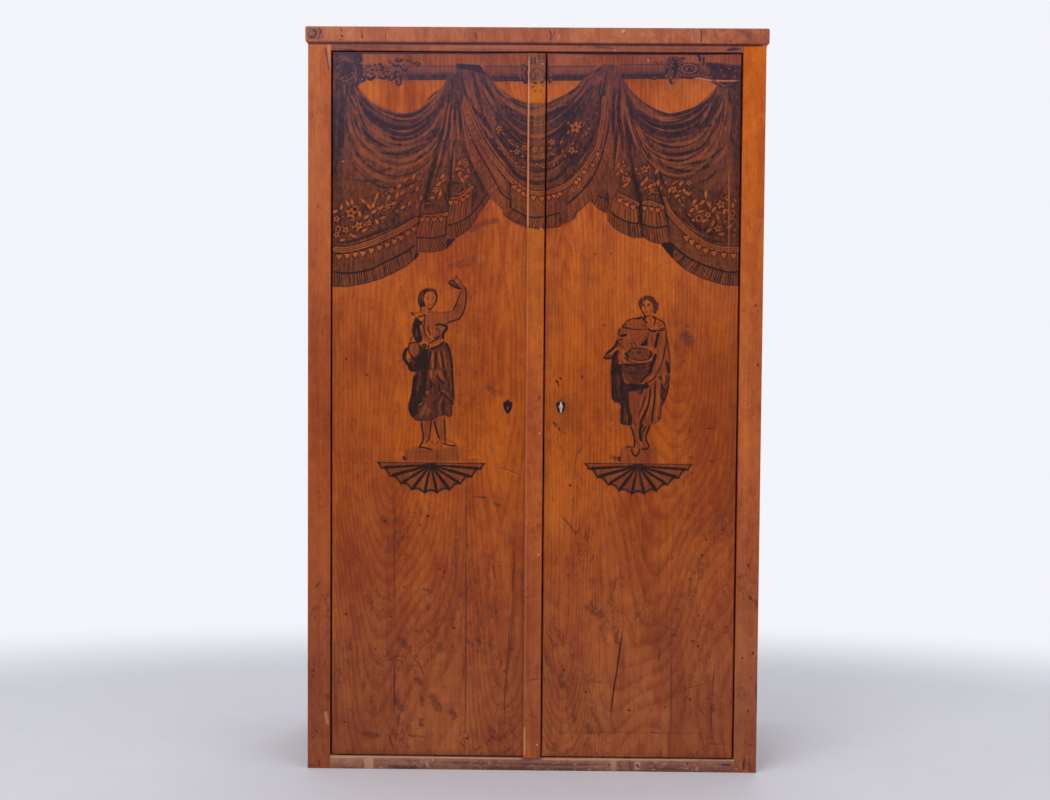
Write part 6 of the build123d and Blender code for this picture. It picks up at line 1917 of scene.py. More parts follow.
def paint_strip(pen):
    """Ribbon and medallion at the strip's head, and leaves beside it."""
    pen.look(strip_view)
    ribbon = [
        (1.5, 0.74, [(600, 230), (565, 330), (590, 440), (650, 520)]),
        (1.3, 0.72, [(640, 250), (680, 350), (650, 450)]),
        (1.5, 0.78, [(760, 190), (700, 300), (705, 430), (760, 580)]),
        (1.3, 0.60, [(830, 150), (850, 260), (900, 330)]),
        (1.3, 0.60, [(960, 170), (1010, 220), (980, 270), (930, 250)]),
        (1.2, 0.62, [(800, 420), (860, 440), (900, 400)]),
        (1.5, 0.72, [(760, 600), (680, 680), (570, 740), (540, 800)]),
        (1.4, 0.60, [(850, 570), (900, 680), (1000, 760), (1050, 860)]),
        (1.5, 0.72, [(640, 760), (560, 820), (545, 920), (600, 1020), (670, 1010), (730, 900),
         (700, 800), (640, 760)], 0.1), (1.3, 0.60, [(850, 730), (810, 820), (820, 920), (870, 960)]),
        (1.2, 0.50, [(960, 800), (930, 900), (980, 960)]),
        (1.4, 0.64, [(1050, 860), (1050, 1000), (960, 1090), (840, 1130)]),
        (1.4, 0.66, [(500, 1050), (580, 1110), (700, 1130)]),
        (2.6, 0.76, [(630, 1110), (700, 1150), (760, 1190)], 0.3),
        (2.4, 0.76, [(880, 1160), (960, 1130), (1010, 1100)], 0.3),
        (1.8, 0.70, [(560, 1290), (620, 1290), (680, 1240)]),
        (1.6, 0.60, [(920, 1200), (990, 1250), (1040, 1210)]),
        (1.6, 0.60, [(760, 1380), (700, 1440), (650, 1480)]),
        (1.4, 0.56, [(870, 1380), (900, 1440), (880, 1500)])]
    pen.strokes(ribbon)
    ribbon_lights = [
        (1.2, -0.20, [(800, 250), (820, 350)], 0.4), (1.4, -0.25, [(770, 360), (740, 420)], 0.4)]
    pen.strokes(ribbon_lights)
    drop = [(640, 850), (640, 950)]
    pen.stroke(drop, width=1.6, tone=0.10, taper=0.4)
    # Leaves on the doors beside the strip
    leaf_lines = [
        (2.0, 0.84, [(330, 500), (280, 540), (350, 580)], 0.3),
        (2.0, 0.90, [(440, 560), (430, 640), (430, 720)], 0.3),
        (2.2, 0.88, [(280, 640), (240, 700), (250, 760)], 0.3),
        (1.8, 0.84, [(380, 700), (350, 780), (390, 860)], 0.3),
        (2.2, 0.88, [(200, 880), (240, 960), (290, 1010)], 0.3),
        (2.4, 0.90, [(260, 1070), (330, 1120), (430, 1180)], 0.3),
        (2.2, 0.90, [(430, 980), (440, 1080), (430, 1180)], 0.3),
        (1.6, 0.36, [(330, 620), (300, 740), (200, 800)], 0.4),
        (1.4, 0.40, [(250, 860), (320, 960), (400, 1080)], 0.4),
        (1.4, 0.40, [(160, 820), (170, 920), (230, 1010)], 0.4),
        (2.0, 0.84, [(1150, 480), (1130, 540), (1150, 580)], 0.3),
        (1.6, 0.78, [(1200, 600), (1170, 680), (1210, 720)], 0.3),
        (1.4, 0.44, [(1180, 800), (1260, 860), (1210, 940)], 0.3),
        (1.4, 0.80, [(1300, 820), (1330, 900), (1300, 980)], 0.3),
        (1.4, 0.40, [(1280, 1000), (1240, 1060), (1280, 1080)], 0.3),
        (2.2, 0.90, [(1170, 1090), (1210, 1120), (1260, 1080)], 0.3),
        (1.4, 0.80, [(1180, 1000), (1200, 1050), (1160, 1080)], 0.3)]
    pen.strokes(leaf_lines)
    # Pale edges of the strip, worn, and at the left edge partly a painted highlight where it catches the
    # light, with a dark dot and a notch
    pen.look(whole_view)
    strip_wear_and_highlight = [
        (1.6, -0.55, [(528.9, 54), (528.2, 150), (527.8, 232)], 0.05),
        (1.2, -0.16, [(527.8, 226), (526, 500), (524.8, 730)], 0.05),
        (1.6, -0.50, [(524.6, 726), (524.4, 757)], 0.1), (1.0, -0.30, [(540.6, 700), (540.2, 757)], 0.2),
        (1.4, 0.80, [(539.3, 396.6), (539.4, 399)], 0.0), (1.3, 0.80, [(538.6, 54), (539.2, 60)], 0.1)]
    pen.strokes(strip_wear_and_highlight)
    # The middle curtain is worn thin where it crosses the strip
    thin_place = [(533, 100), (545.5, 100), (545.5, 160), (533, 160)]
    pen.fill(thin_place, tone=0.0, smooth=False, blur=4, share=0.22)


def paint_woman(pen):
    """The woman with a raised arm, her face a plain calm one."""
    pen.look(woman_foot_view)
    skirt = [
        (440, 0), (780, 0), (800, 400), (800, 600), (785, 640), (780, 800), (680, 805), (560, 845),
        (500, 865), (400, 890), (230, 860), (290, 690), (390, 560), (400, 300)]
    pen.fill(skirt, tone=0.68, smooth=False)
    skirt_side = [
        (130, 60), (190, 0), (445, 0), (430, 150), (400, 400), (400, 545), (330, 600), (300, 680),
        (305, 760), (230, 845), (190, 790), (150, 705), (200, 500), (245, 250), (250, 175), (190, 155)]
    pen.fill(skirt_side, tone=0.84, smooth=False)
    skirt_folds = [
        (2.2, 0.70, [(340, 0), (310, 250), (290, 450), (270, 560)], 0.3, 1.6),
        (2.6, 0.93, [(240, 200), (210, 480), (165, 690), (225, 850)], 0.1),
        (2.2, 0.93, [(140, 75), (190, 150), (250, 165)]),
        (2.4, 0.92, [(410, 200), (385, 400), (395, 500), (430, 560)]),
        (1.8, 0.92, [(280, 640), (350, 600), (390, 570)]),
        (1.8, 0.88, [(300, 690), (360, 650), (370, 620)]),
        (4.2, 0.50, [(420, 620), (380, 720), (330, 820)], 0.3, 2.0),
        (3.4, 0.46, [(460, 700), (430, 800)], 0.3, 2.0),
        (2.4, 0.93, [(770, 0), (788, 200), (798, 400), (806, 610)], 0.1),
        (2.6, 0.93, [(770, 600), (790, 635)], 0.0),
        (1.4, 0.84, [(690, 808), (770, 806), (780, 700), (785, 640)], 0.1),
        (1.3, 0.86, [(225, 860), (330, 880), (420, 888), (500, 862), (545, 846)], 0.1),
        (2.0, 0.92, [(540, 0), (548, 150), (570, 235), (610, 290)]),
        (2.2, 0.92, [(655, 0), (682, 150), (695, 295)]),
        (2.4, 0.94, [(455, 270), (482, 335), (472, 400), (450, 440)]),
        (2.6, 0.92, [(590, 270), (640, 320), (690, 340)]),
        (1.8, 0.90, [(600, 300), (600, 420), (640, 500), (720, 550), (780, 600)]),
        (1.6, 0.84, [(520, 600), (548, 740), (540, 860)]),
        (2.4, 0.90, [(640, 540), (665, 600), (655, 740), (680, 800)]),
        (1.4, 0.74, [(440, 360), (430, 470), (450, 560)]),
        (1.8, 0.80, [(715, 200), (730, 380), (730, 500)]), (1.4, 0.84, [(700, 440), (712, 452)], 0.0),
        (2.6, 0.22, [(490, 40), (480, 180), (492, 310)], 0.4),
        (3.4, 0.22, [(600, 20), (605, 160), (640, 260), (672, 300)], 0.3),
        (2.4, 0.18, [(425, 455), (420, 490)], 0.3), (1.6, 0.34, [(570, 40), (560, 180), (575, 240)]),
        (1.4, 0.40, [(520, 300), (545, 200), (535, 120)]),
        (1.6, 0.44, [(670, 500), (600, 640), (600, 760)], 0.3, 1.2),
        (1.4, 0.46, [(620, 440), (700, 470), (760, 560)], 0.3)]
    pen.strokes(skirt_folds)
    plinth = [(110, 1300), (300, 1272), (520, 1300), (875, 1242), (885, 1465), (110, 1470)]
    pen.fill(plinth, tone=0.40, smooth=False, blur=3)
    plinth_lines = [
        (1.4, 0.60, [(110, 1300), (112, 1460)], 0.2),
        (0.9, 0.36, [(110, 1300), (200, 1278), (290, 1272)], 0.2),
        (1.4, 0.62, [(265, 1332), (500, 1328)], 0.3),
        (1.8, 0.60, [(570, 1320), (580, 1400), (570, 1460)], 0.3),
        (3.0, 0.80, [(82, 1405), (98, 1448)], 0.2), (0.9, 0.34, [(875, 1250), (885, 1460)], 0.2)]
    pen.strokes(plinth_lines)
    left_leg = [(330, 885), (490, 880), (470, 1000), (455, 1140), (375, 1160), (350, 1000)]
    pen.fill(left_leg, tone=0.38, smooth=False)
    right_leg = [(525, 860), (680, 815), (685, 1000), (690, 1180), (600, 1160), (560, 1000)]
    pen.fill(right_leg, tone=0.42, smooth=False)
    feet = [
        (1.7, 0.95, [(335, 885), (350, 1000), (366, 1100), (358, 1180), (330, 1235), (292, 1268)], 0.1),
        (1.5, 0.92, [(488, 870), (472, 1000), (455, 1130), (420, 1180), (400, 1220)], 0.1),
        (1.0, 0.74, [(460, 1150), (520, 1220), (555, 1240)]),
        (1.0, 0.44, [(420, 950), (400, 1050), (415, 1140)]),
        (1.9, 0.96, [(525, 870), (550, 1000), (585, 1100), (602, 1160)], 0.1),
        (1.5, 0.92, [(670, 830), (682, 1000), (684, 1150), (690, 1220)], 0.1),
        (1.0, 0.70, [(600, 1160), (570, 1200), (560, 1235)]),
        (1.0, 0.70, [(610, 1160), (640, 1220), (640, 1260)]),
        (1.6, 0.95, [(290, 1270), (360, 1268), (440, 1285), (500, 1300)], 0.1),
        (1.5, 0.93, [(645, 1200), (690, 1222), (760, 1240), (860, 1238)], 0.1),
        (0.9, 0.70, [(700, 1150), (780, 1190), (855, 1212)], 0.1),
        (1.0, 0.60, [(580, 1240), (620, 1262), (660, 1250)])]
    pen.strokes(feet)
    pen.look(woman_view)
    lap = [(500, 1225), (640, 1180), (750, 1115), (800, 1190), (850, 1350), (878, 1570), (470, 1570)]
    pen.fill(lap, tone=0.66, smooth=False, blur=2)
    hip = [
        (345, 1150), (400, 1230), (500, 1225), (480, 1400), (462, 1570), (170, 1570), (150, 1500),
        (262, 1392), (345, 1320)]
    pen.fill(hip, tone=0.86, smooth=False)
    lap_folds = [
        (1.8, 0.92, [(600, 1270), (605, 1400), (600, 1568)], 0.1),
        (1.5, 0.90, [(685, 1270), (715, 1400), (742, 1568)], 0.1),
        (2.2, 0.93, [(520, 1240), (500, 1400), (478, 1568)], 0.1),
        (2.4, 0.94, [(740, 1112), (800, 1190), (835, 1310), (858, 1440), (872, 1568)], 0.1),
        (2.2, 0.66, [(760, 1190), (795, 1330), (820, 1560)], 0.2, 1.6),
        (1.6, 0.16, [(560, 1260), (550, 1400), (555, 1560)], 0.2),
        (1.6, 0.18, [(650, 1260), (670, 1400), (690, 1560)], 0.2),
        (1.2, 0.30, [(720, 1220), (750, 1360), (775, 1560)], 0.2)]
    pen.strokes(lap_folds)
    # Bundle on the arm
    bundle = [
        (200, 1130), (330, 1130), (350, 1200), (345, 1290), (300, 1360), (240, 1370), (185, 1300),
        (172, 1210)]
    pen.fill(bundle, tone=0.46)
    bundle_folds = [
        (1.4, 0.90, [(330, 1132), (352, 1210), (345, 1290), (300, 1358), (245, 1368), (185, 1300),
         (172, 1210), (195, 1135), (330, 1130)], 0.1),
        (3.4, 0.92, [(150, 1200), (110, 1290), (95, 1360), (130, 1440), (180, 1500), (200, 1568)], 0.1),
        (3.8, 0.94, [(105, 1300), (115, 1360)], 0.2),
        (3.6, 0.78, [(180, 1380), (250, 1440), (330, 1420)], 0.3, 2.0),
        (2.8, 0.92, [(200, 1350), (262, 1392), (340, 1370), (390, 1290)], 0.2),
        (1.3, 0.46, [(120, 1310), (150, 1400), (230, 1420)], 0.3),
        (1.1, 0.18, [(200, 1180), (195, 1260), (230, 1330)], 0.3),
        (1.2, 0.90, [(190, 1130), (215, 1060), (225, 1020)], 0.2)]
    pen.strokes(bundle_folds)
    # Vest, bodice and sash
    vest = [
        (280, 712), (330, 762), (378, 800), (350, 830), (365, 930), (398, 1050), (385, 1112),
        (330, 1142), (285, 1118), (228, 1000), (220, 920), (245, 800)]
    pen.fill(vest, tone=0.90, smooth=False)
    bodice = [
        (378, 800), (445, 705), (480, 660), (600, 640), (700, 650), (740, 850), (720, 1010), (700, 1090),
        (500, 1150), (398, 1050), (365, 930)]
    pen.fill(bodice, tone=0.32, smooth=False)
    bodice_folds = [
        (1.4, 0.60, [(300, 900), (290, 1000), (300, 1060)], 0.3),
        (2.0, 0.92, [(370, 780), (378, 850)], 0.2),
        (1.2, 0.88, [(300, 715), (375, 795), (445, 700)], 0.1),
        (1.4, 0.88, [(385, 650), (440, 688), (300, 722)], 0.1),
        (1.8, 0.92, [(215, 655), (235, 675), (258, 685)], 0.0),
        (1.0, 0.60, [(220, 650), (290, 648), (380, 652)], 0.1),
        (1.2, -0.25, [(400, 645), (455, 672)], 0.3),
        (1.0, -0.20, [(320, 720), (375, 775), (420, 722)], 0.3),
        (1.3, 0.84, [(440, 740), (415, 860), (435, 980), (510, 1090)], 0.1),
        (1.5, 0.88, [(468, 850), (500, 960), (560, 1052)], 0.2),
        (1.0, 0.62, [(400, 830), (400, 950), (450, 1080)], 0.2),
        (1.2, -0.25, [(528, 1000), (550, 1050), (570, 1085)], 0.3),
        (1.0, -0.12, [(450, 940), (480, 1020), (520, 1090)], 0.3),
        (2.2, 0.93, [(578, 856), (650, 838), (745, 848)], 0.3),
        (3.0, 0.93, [(690, 880), (745, 850), (780, 900), (745, 950), (720, 1010), (735, 1100)], 0.2),
        (2.0, 0.92, [(560, 1052), (620, 1050), (700, 1005)], 0.3),
        (2.4, 0.66, [(640, 900), (670, 960), (640, 1010)], 0.3, 1.4),
        (1.4, 0.70, [(590, 900), (620, 920), (650, 880)], 0.3),
        (2.6, 0.14, [(500, 1180), (600, 1130), (700, 1080)], 0.2),
        (1.3, 0.84, [(490, 1150), (590, 1095), (680, 1060), (720, 1060)], 0.1),
        (2.2, 0.93, [(505, 1225), (570, 1215), (650, 1180), (740, 1112)], 0.1),
        (2.2, 0.80, [(420, 1150), (450, 1180), (420, 1215), (392, 1185), (420, 1150)], 0.1),
        (1.0, 0.90, [(425, 1185), (430, 1190)], 0.0),
        (1.6, 0.88, [(480, 1150), (490, 1200), (470, 1240)]),
        (1.6, 0.88, [(350, 1150), (365, 1230), (440, 1262)])]
    pen.strokes(bodice_folds)
    # Raised arm and hand
    arm = [
        (500, 656), (680, 648), (870, 626), (940, 490), (1005, 290), (975, 262), (1008, 188),
        (1060, 235), (1086, 290), (1096, 380), (1086, 480), (1062, 600), (1025, 685), (980, 745),
        (900, 778), (800, 812), (745, 850), (720, 700)]
    pen.fill(arm, tone=0.38, smooth=False, blur=2)
    arm_lines = [
        (1.6, 0.90, [(745, 850), (800, 812), (900, 778), (980, 745), (1025, 685), (1062, 600),
         (1086, 480), (1096, 380), (1086, 290), (1060, 235), (1008, 188)], 0.1),
        (0.9, 0.70, [(480, 655), (600, 636), (680, 648), (780, 640), (870, 626)], 0.1),
        (1.3, 0.86, [(870, 628), (900, 590), (940, 490), (975, 390), (1005, 290)], 0.1),
        (1.8, 0.90, [(890, 600), (925, 520), (940, 480)], 0.3),
        (1.8, 0.40, [(1040, 330), (1050, 480), (1010, 600)], 0.3, 1.6),
        (2.4, 0.93, [(805, 150), (840, 195), (900, 232), (960, 256), (1025, 270)], 0.15),
        (1.6, 0.90, [(810, 150), (860, 142), (915, 150)], 0.2),
        (1.8, 0.88, [(870, 165), (930, 205), (980, 240)], 0.2),
        (1.2, -0.30, [(915, 88), (930, 140), (985, 180)], 0.3), (1.4, 0.92, [(938, 70), (942, 76)], 0.0),
        (1.0, 0.60, [(905, 85), (920, 130)], 0.2), (0.9, 0.40, [(980, 480), (960, 560)], 0.3)]
    pen.strokes(arm_lines)
    # Head: cap of hair round a plain oval face, neck and collar
    hair = [
        (475, 250), (590, 280), (635, 380), (610, 490), (520, 600), (440, 560), (380, 590), (330, 520),
        (318, 410), (370, 300)]
    pen.fill(hair, tone=0.86)
    face = [
        (490, 305), (560, 320), (600, 390), (590, 470), (540, 560), (505, 580), (450, 540), (415, 450),
        (430, 360)]
    pen.fill(face, tone=0.10)
    neck = [(385, 560), (450, 560), (510, 600), (480, 655), (400, 650), (370, 620)]
    pen.fill(neck, tone=0.20, smooth=False)
    head_lines = [
        (1.0, 0.50, [(360, 330), (350, 430), (380, 530)], 0.3),
        (1.0, 0.46, [(400, 290), (385, 380), (400, 480)], 0.3),
        (0.9, 0.50, [(450, 270), (520, 275), (590, 330)], 0.3),
        (1.0, 0.80, [(462, 425), (492, 425)], 0.2), (0.9, 0.80, [(552, 425), (578, 425)], 0.2),
        (0.8, 0.46, [(455, 402), (498, 400)], 0.3), (0.8, 0.46, [(548, 400), (582, 402)], 0.3),
        (0.9, 0.44, [(530, 420), (536, 470), (522, 480)], 0.2),
        (1.0, 0.66, [(496, 522), (522, 524), (545, 520)], 0.3),
        (1.3, 0.80, [(480, 570), (512, 600), (560, 545)], 0.2),
        (1.6, 0.32, [(440, 500), (460, 540), (490, 560)], 0.3, 1.2),
        (1.4, 0.88, [(362, 575), (372, 640)], 0.2),
        (1.0, 0.70, [(545, 590), (500, 640), (470, 655)], 0.2)]
    pen.strokes(head_lines)


def paint_man(pen):
    """The man with a bowl, his face a plain calm one."""
    pen.look(man_foot_view)
    cloak_tail = [
        (880, -40), (1042, -60), (1045, 150), (1030, 350), (990, 500), (925, 612), (905, 600),
        (900, 200)]
    pen.fill(cloak_tail, tone=0.50, smooth=False)
    cloak_hem = [
        (420, 400), (560, 380), (740, 330), (820, 210), (900, 210), (915, 450), (905, 640), (895, 850),
        (800, 885), (655, 890), (590, 965), (540, 950), (480, 900), (430, 640)]
    pen.fill(cloak_hem, tone=0.42, smooth=False)
    left_drape = [
        (165, -20), (340, -20), (335, 150), (370, 255), (470, 300), (745, 300), (720, 345), (600, 382),
        (425, 402), (435, 620), (482, 770), (480, 905), (430, 908), (305, 880), (308, 620), (282, 570),
        (218, 562), (178, 470)]
    pen.fill(left_drape, tone=0.86, smooth=False)
    right_drape = [(330, -20), (785, -20), (745, 120), (640, 250), (560, 300), (440, 285), (350, 190)]
    pen.fill(right_drape, tone=0.70, smooth=False)
    drape_folds = [
        (1.4, 0.70, [(250, 20), (265, 250), (280, 480)], 0.3, 1.4),
        (2.0, 0.94, [(175, 0), (182, 300), (185, 470), (225, 560)], 0.1),
        (2.2, 0.94, [(320, 100), (325, 350), (340, 520)], 0.2),
        (1.4, 0.60, [(370, 600), (372, 760), (365, 880)], 0.2),
        (2.0, 0.94, [(312, 640), (320, 780), (318, 880)], 0.1),
        (2.2, 0.94, [(420, 600), (430, 740), (450, 860)], 0.2),
        (1.4, 0.56, [(400, 700), (405, 800), (400, 890)], 0.2),
        (1.0, 0.88, [(335, 108), (500, 108), (620, 98), (745, 78)], 0.1),
        (1.0, 0.86, [(340, 20), (520, 25), (700, 5)], 0.1),
        (3.6, 0.44, [(640, 180), (700, 110), (750, 20)], 0.3, 2.0),
        (2.6, 0.52, [(560, 40), (640, 30), (720, 20)], 0.3, 1.6),
        (3.4, 0.94, [(400, 290), (560, 312), (740, 300)], 0.15),
        (3.4, 0.95, [(640, 320), (725, 318)], 0.2),
        (1.4, 0.50, [(520, 120), (600, 112), (640, 110)], 0.3),
        (2.8, 0.16, [(870, 40), (800, 140), (720, 190), (640, 280)], 0.2),
        (1.8, 0.93, [(795, 0), (765, 70), (735, 135), (650, 200), (608, 285)], 0.1),
        (1.8, 0.92, [(905, 20), (860, 110), (820, 185), (740, 250), (640, 295)], 0.1),
        (1.4, 0.90, [(870, 100), (905, 160), (915, 220)], 0.2),
        (2.0, 0.93, [(860, 175), (900, 200), (920, 240)], 0.2),
        (1.6, 0.92, [(640, 340), (610, 420), (590, 440)], 0.2),
        (1.4, 0.88, [(600, 390), (570, 430)], 0.2),
        (2.6, 0.95, [(752, 330), (745, 480), (710, 620), (660, 740), (610, 860), (590, 940)], 0.12),
        (1.8, 0.93, [(820, 220), (822, 400), (806, 600), (780, 780), (770, 885)], 0.1),
        (1.4, 0.86, [(700, 400), (660, 520), (620, 640), (560, 800)], 0.2),
        (1.2, 0.70, [(860, 640), (850, 780), (830, 880)], 0.2),
        (1.5, 0.84, [(912, 240), (922, 450), (908, 640), (893, 850)], 0.1),
        (1.8, 0.12, [(725, 400), (690, 590), (610, 760), (570, 850)], 0.2),
        (2.2, 0.16, [(785, 260), (775, 480), (730, 700), (680, 860)], 0.2),
        (2.6, 0.20, [(865, 230), (870, 450), (850, 700), (840, 850)], 0.2),
        (1.4, 0.16, [(640, 430), (600, 600), (540, 760)], 0.2),
        (1.6, 0.84, [(560, 900), (600, 880), (650, 780)], 0.3),
        (1.1, 0.70, [(490, 780), (510, 860), (560, 940)], 0.3),
        (1.8, 0.90, [(1022, 0), (1028, 200), (1000, 400), (930, 610)], 0.1),
        (3.0, 0.86, [(935, 290), (925, 450), (935, 560)], 0.2),
        (1.6, 0.86, [(965, 330), (960, 470)], 0.2), (1.8, 0.10, [(905, 70), (950, 180), (960, 280)], 0.2),
        (1.4, 0.86, [(945, 60), (990, 160), (985, 270), (950, 300)], 0.2),
        (2.0, 0.80, [(860, 760), (880, 810)], 0.2)]
    pen.strokes(drape_folds)
    plinth = [(330, 1230), (480, 1232), (850, 1240), (858, 1460), (290, 1470)]
    pen.fill(plinth, tone=0.32, smooth=False, blur=3)
    plinth_lines = [
        (1.3, 0.60, [(330, 1232), (310, 1340), (292, 1460)], 0.2),
        (0.9, 0.30, [(860, 1240), (858, 1460)], 0.2),
        (2.4, 0.62, [(200, 1368), (250, 1390), (290, 1395)], 0.2, 1.6),
        (2.2, 0.84, [(285, 1370), (292, 1440)], 0.2), (3.0, 0.36, [(820, 1340), (815, 1380)], 0.3, 2.0),
        (1.2, 0.30, [(330, 1310), (470, 1305)], 0.3)]
    pen.strokes(plinth_lines)
    left_leg = [(480, 890), (600, 950), (612, 1060), (600, 1180), (520, 1190), (508, 1060)]
    pen.fill(left_leg, tone=0.46, smooth=False)
    right_leg = [(620, 890), (755, 875), (715, 980), (692, 1060), (690, 1150), (622, 1160)]
    pen.fill(right_leg, tone=0.46, smooth=False)
    left_foot = [(515, 1180), (600, 1180), (590, 1290), (530, 1350), (480, 1260)]
    pen.fill(left_foot, tone=0.26)
    right_foot = [(620, 1150), (700, 1150), (728, 1200), (700, 1250), (620, 1240)]
    pen.fill(right_foot, tone=0.32)
    foot_lines = [
        (1.8, 0.94, [(440, 905), (478, 960), (508, 1080), (518, 1190), (500, 1240)], 0.1),
        (2.8, 0.97, [(640, 880), (600, 960), (602, 1060), (625, 1150)], 0.1),
        (1.8, 0.95, [(758, 875), (722, 960), (692, 1060), (700, 1150), (730, 1195), (705, 1250),
         (640, 1256), (612, 1225)], 0.1), (1.6, 0.86, [(690, 900), (640, 990), (625, 1080)], 0.2),
        (1.8, 0.96, [(465, 1240), (480, 1300), (505, 1345), (540, 1355), (585, 1300), (592, 1240)], 0.1),
        (1.3, 0.92, [(360, 1222), (430, 1222), (500, 1224)], 0.2),
        (1.0, 0.60, [(590, 1180), (592, 1250)], 0.2), (1.0, 0.74, [(650, 1225), (680, 1235)], 0.2),
        (0.9, 0.30, [(550, 980), (560, 1100)], 0.3)]
    pen.strokes(foot_lines)
    pen.look(man_view)
    chest = [
        (385, 720), (480, 620), (560, 585), (700, 575), (830, 740), (1000, 790), (1010, 900),
        (970, 1080), (700, 1060), (560, 1120), (480, 1200), (430, 1150), (280, 1100), (320, 900),
        (340, 770)]
    pen.fill(chest, tone=0.32, smooth=False)
    shoulder = [
        (1020, 800), (1140, 740), (1150, 900), (1150, 1050), (1100, 1280), (1040, 1460), (1000, 1570),
        (860, 1570), (930, 1300), (980, 1150)]
    pen.fill(shoulder, tone=0.34, smooth=False)
    cloak_fall = [
        (1150, 860), (1185, 1000), (1210, 1200), (1222, 1570), (1020, 1570), (1100, 1300), (1150, 1050)]
    pen.fill(cloak_fall, tone=0.40, smooth=False)
    sleeve = [
        (195, 1240), (270, 1140), (345, 1130), (300, 1240), (320, 1370), (370, 1450), (390, 1570),
        (188, 1570), (195, 1400)]
    pen.fill(sleeve, tone=0.92, smooth=False)
    # Bowl
    turn = round_angles(24)
    rim_middle, hollow_middle = (684, 1222), (688, 1205)
    rim = oval(rim_middle, 278, 146, 26, turn[:-1])
    hollow = oval(hollow_middle, 212, 108, 20, turn[:-1])
    bowl = [(385, 1360), (600, 1380), (800, 1350), (920, 1270), (905, 1400), (880, 1570), (400, 1570)]
    pen.fill(bowl, tone=0.72, smooth=False)
    pen.fill(rim, tone=0.14, smooth=False)
    pen.fill(hollow, tone=0.58, smooth=False)
    bowl_lines = [
        (1.2, 0.90, oval(hollow_middle, 216, 110, 20, turn), 0.0),
        (1.3, 0.88, oval(rim_middle, 280, 150, 26, turn[1:13]), 0.1),
        (3.0, 0.92, [(850, 1140), (890, 1200), (850, 1270)], 0.3, 1.2),
        (3.4, 0.55, [(720, 1510), (820, 1480), (890, 1420)], 0.3, 1.6),
        (1.0, 0.88, [(400, 1500), (560, 1530), (720, 1520), (890, 1470)], 0.1),
        (2.4, 0.92, [(400, 1380), (600, 1400), (700, 1390)], 0.2)]
    pen.strokes(bowl_lines)
    # Small leaves heaped in the bowl
    heap_left, heap_right, heap_top, heap_foot = 520, 850, 1135, 1290
    leaf_tones = (0.80, 0.40, 0.44)
    for _ in range(26):
        x, y = pen.dice.uniform(heap_left, heap_right), pen.dice.uniform(heap_top, heap_foot)
        tone = pen.dice.choice(leaf_tones)
        pen.stroke([(x, y), (x + 14, y - 16), (x + 34, y + 8)], width=1.0, tone=tone)
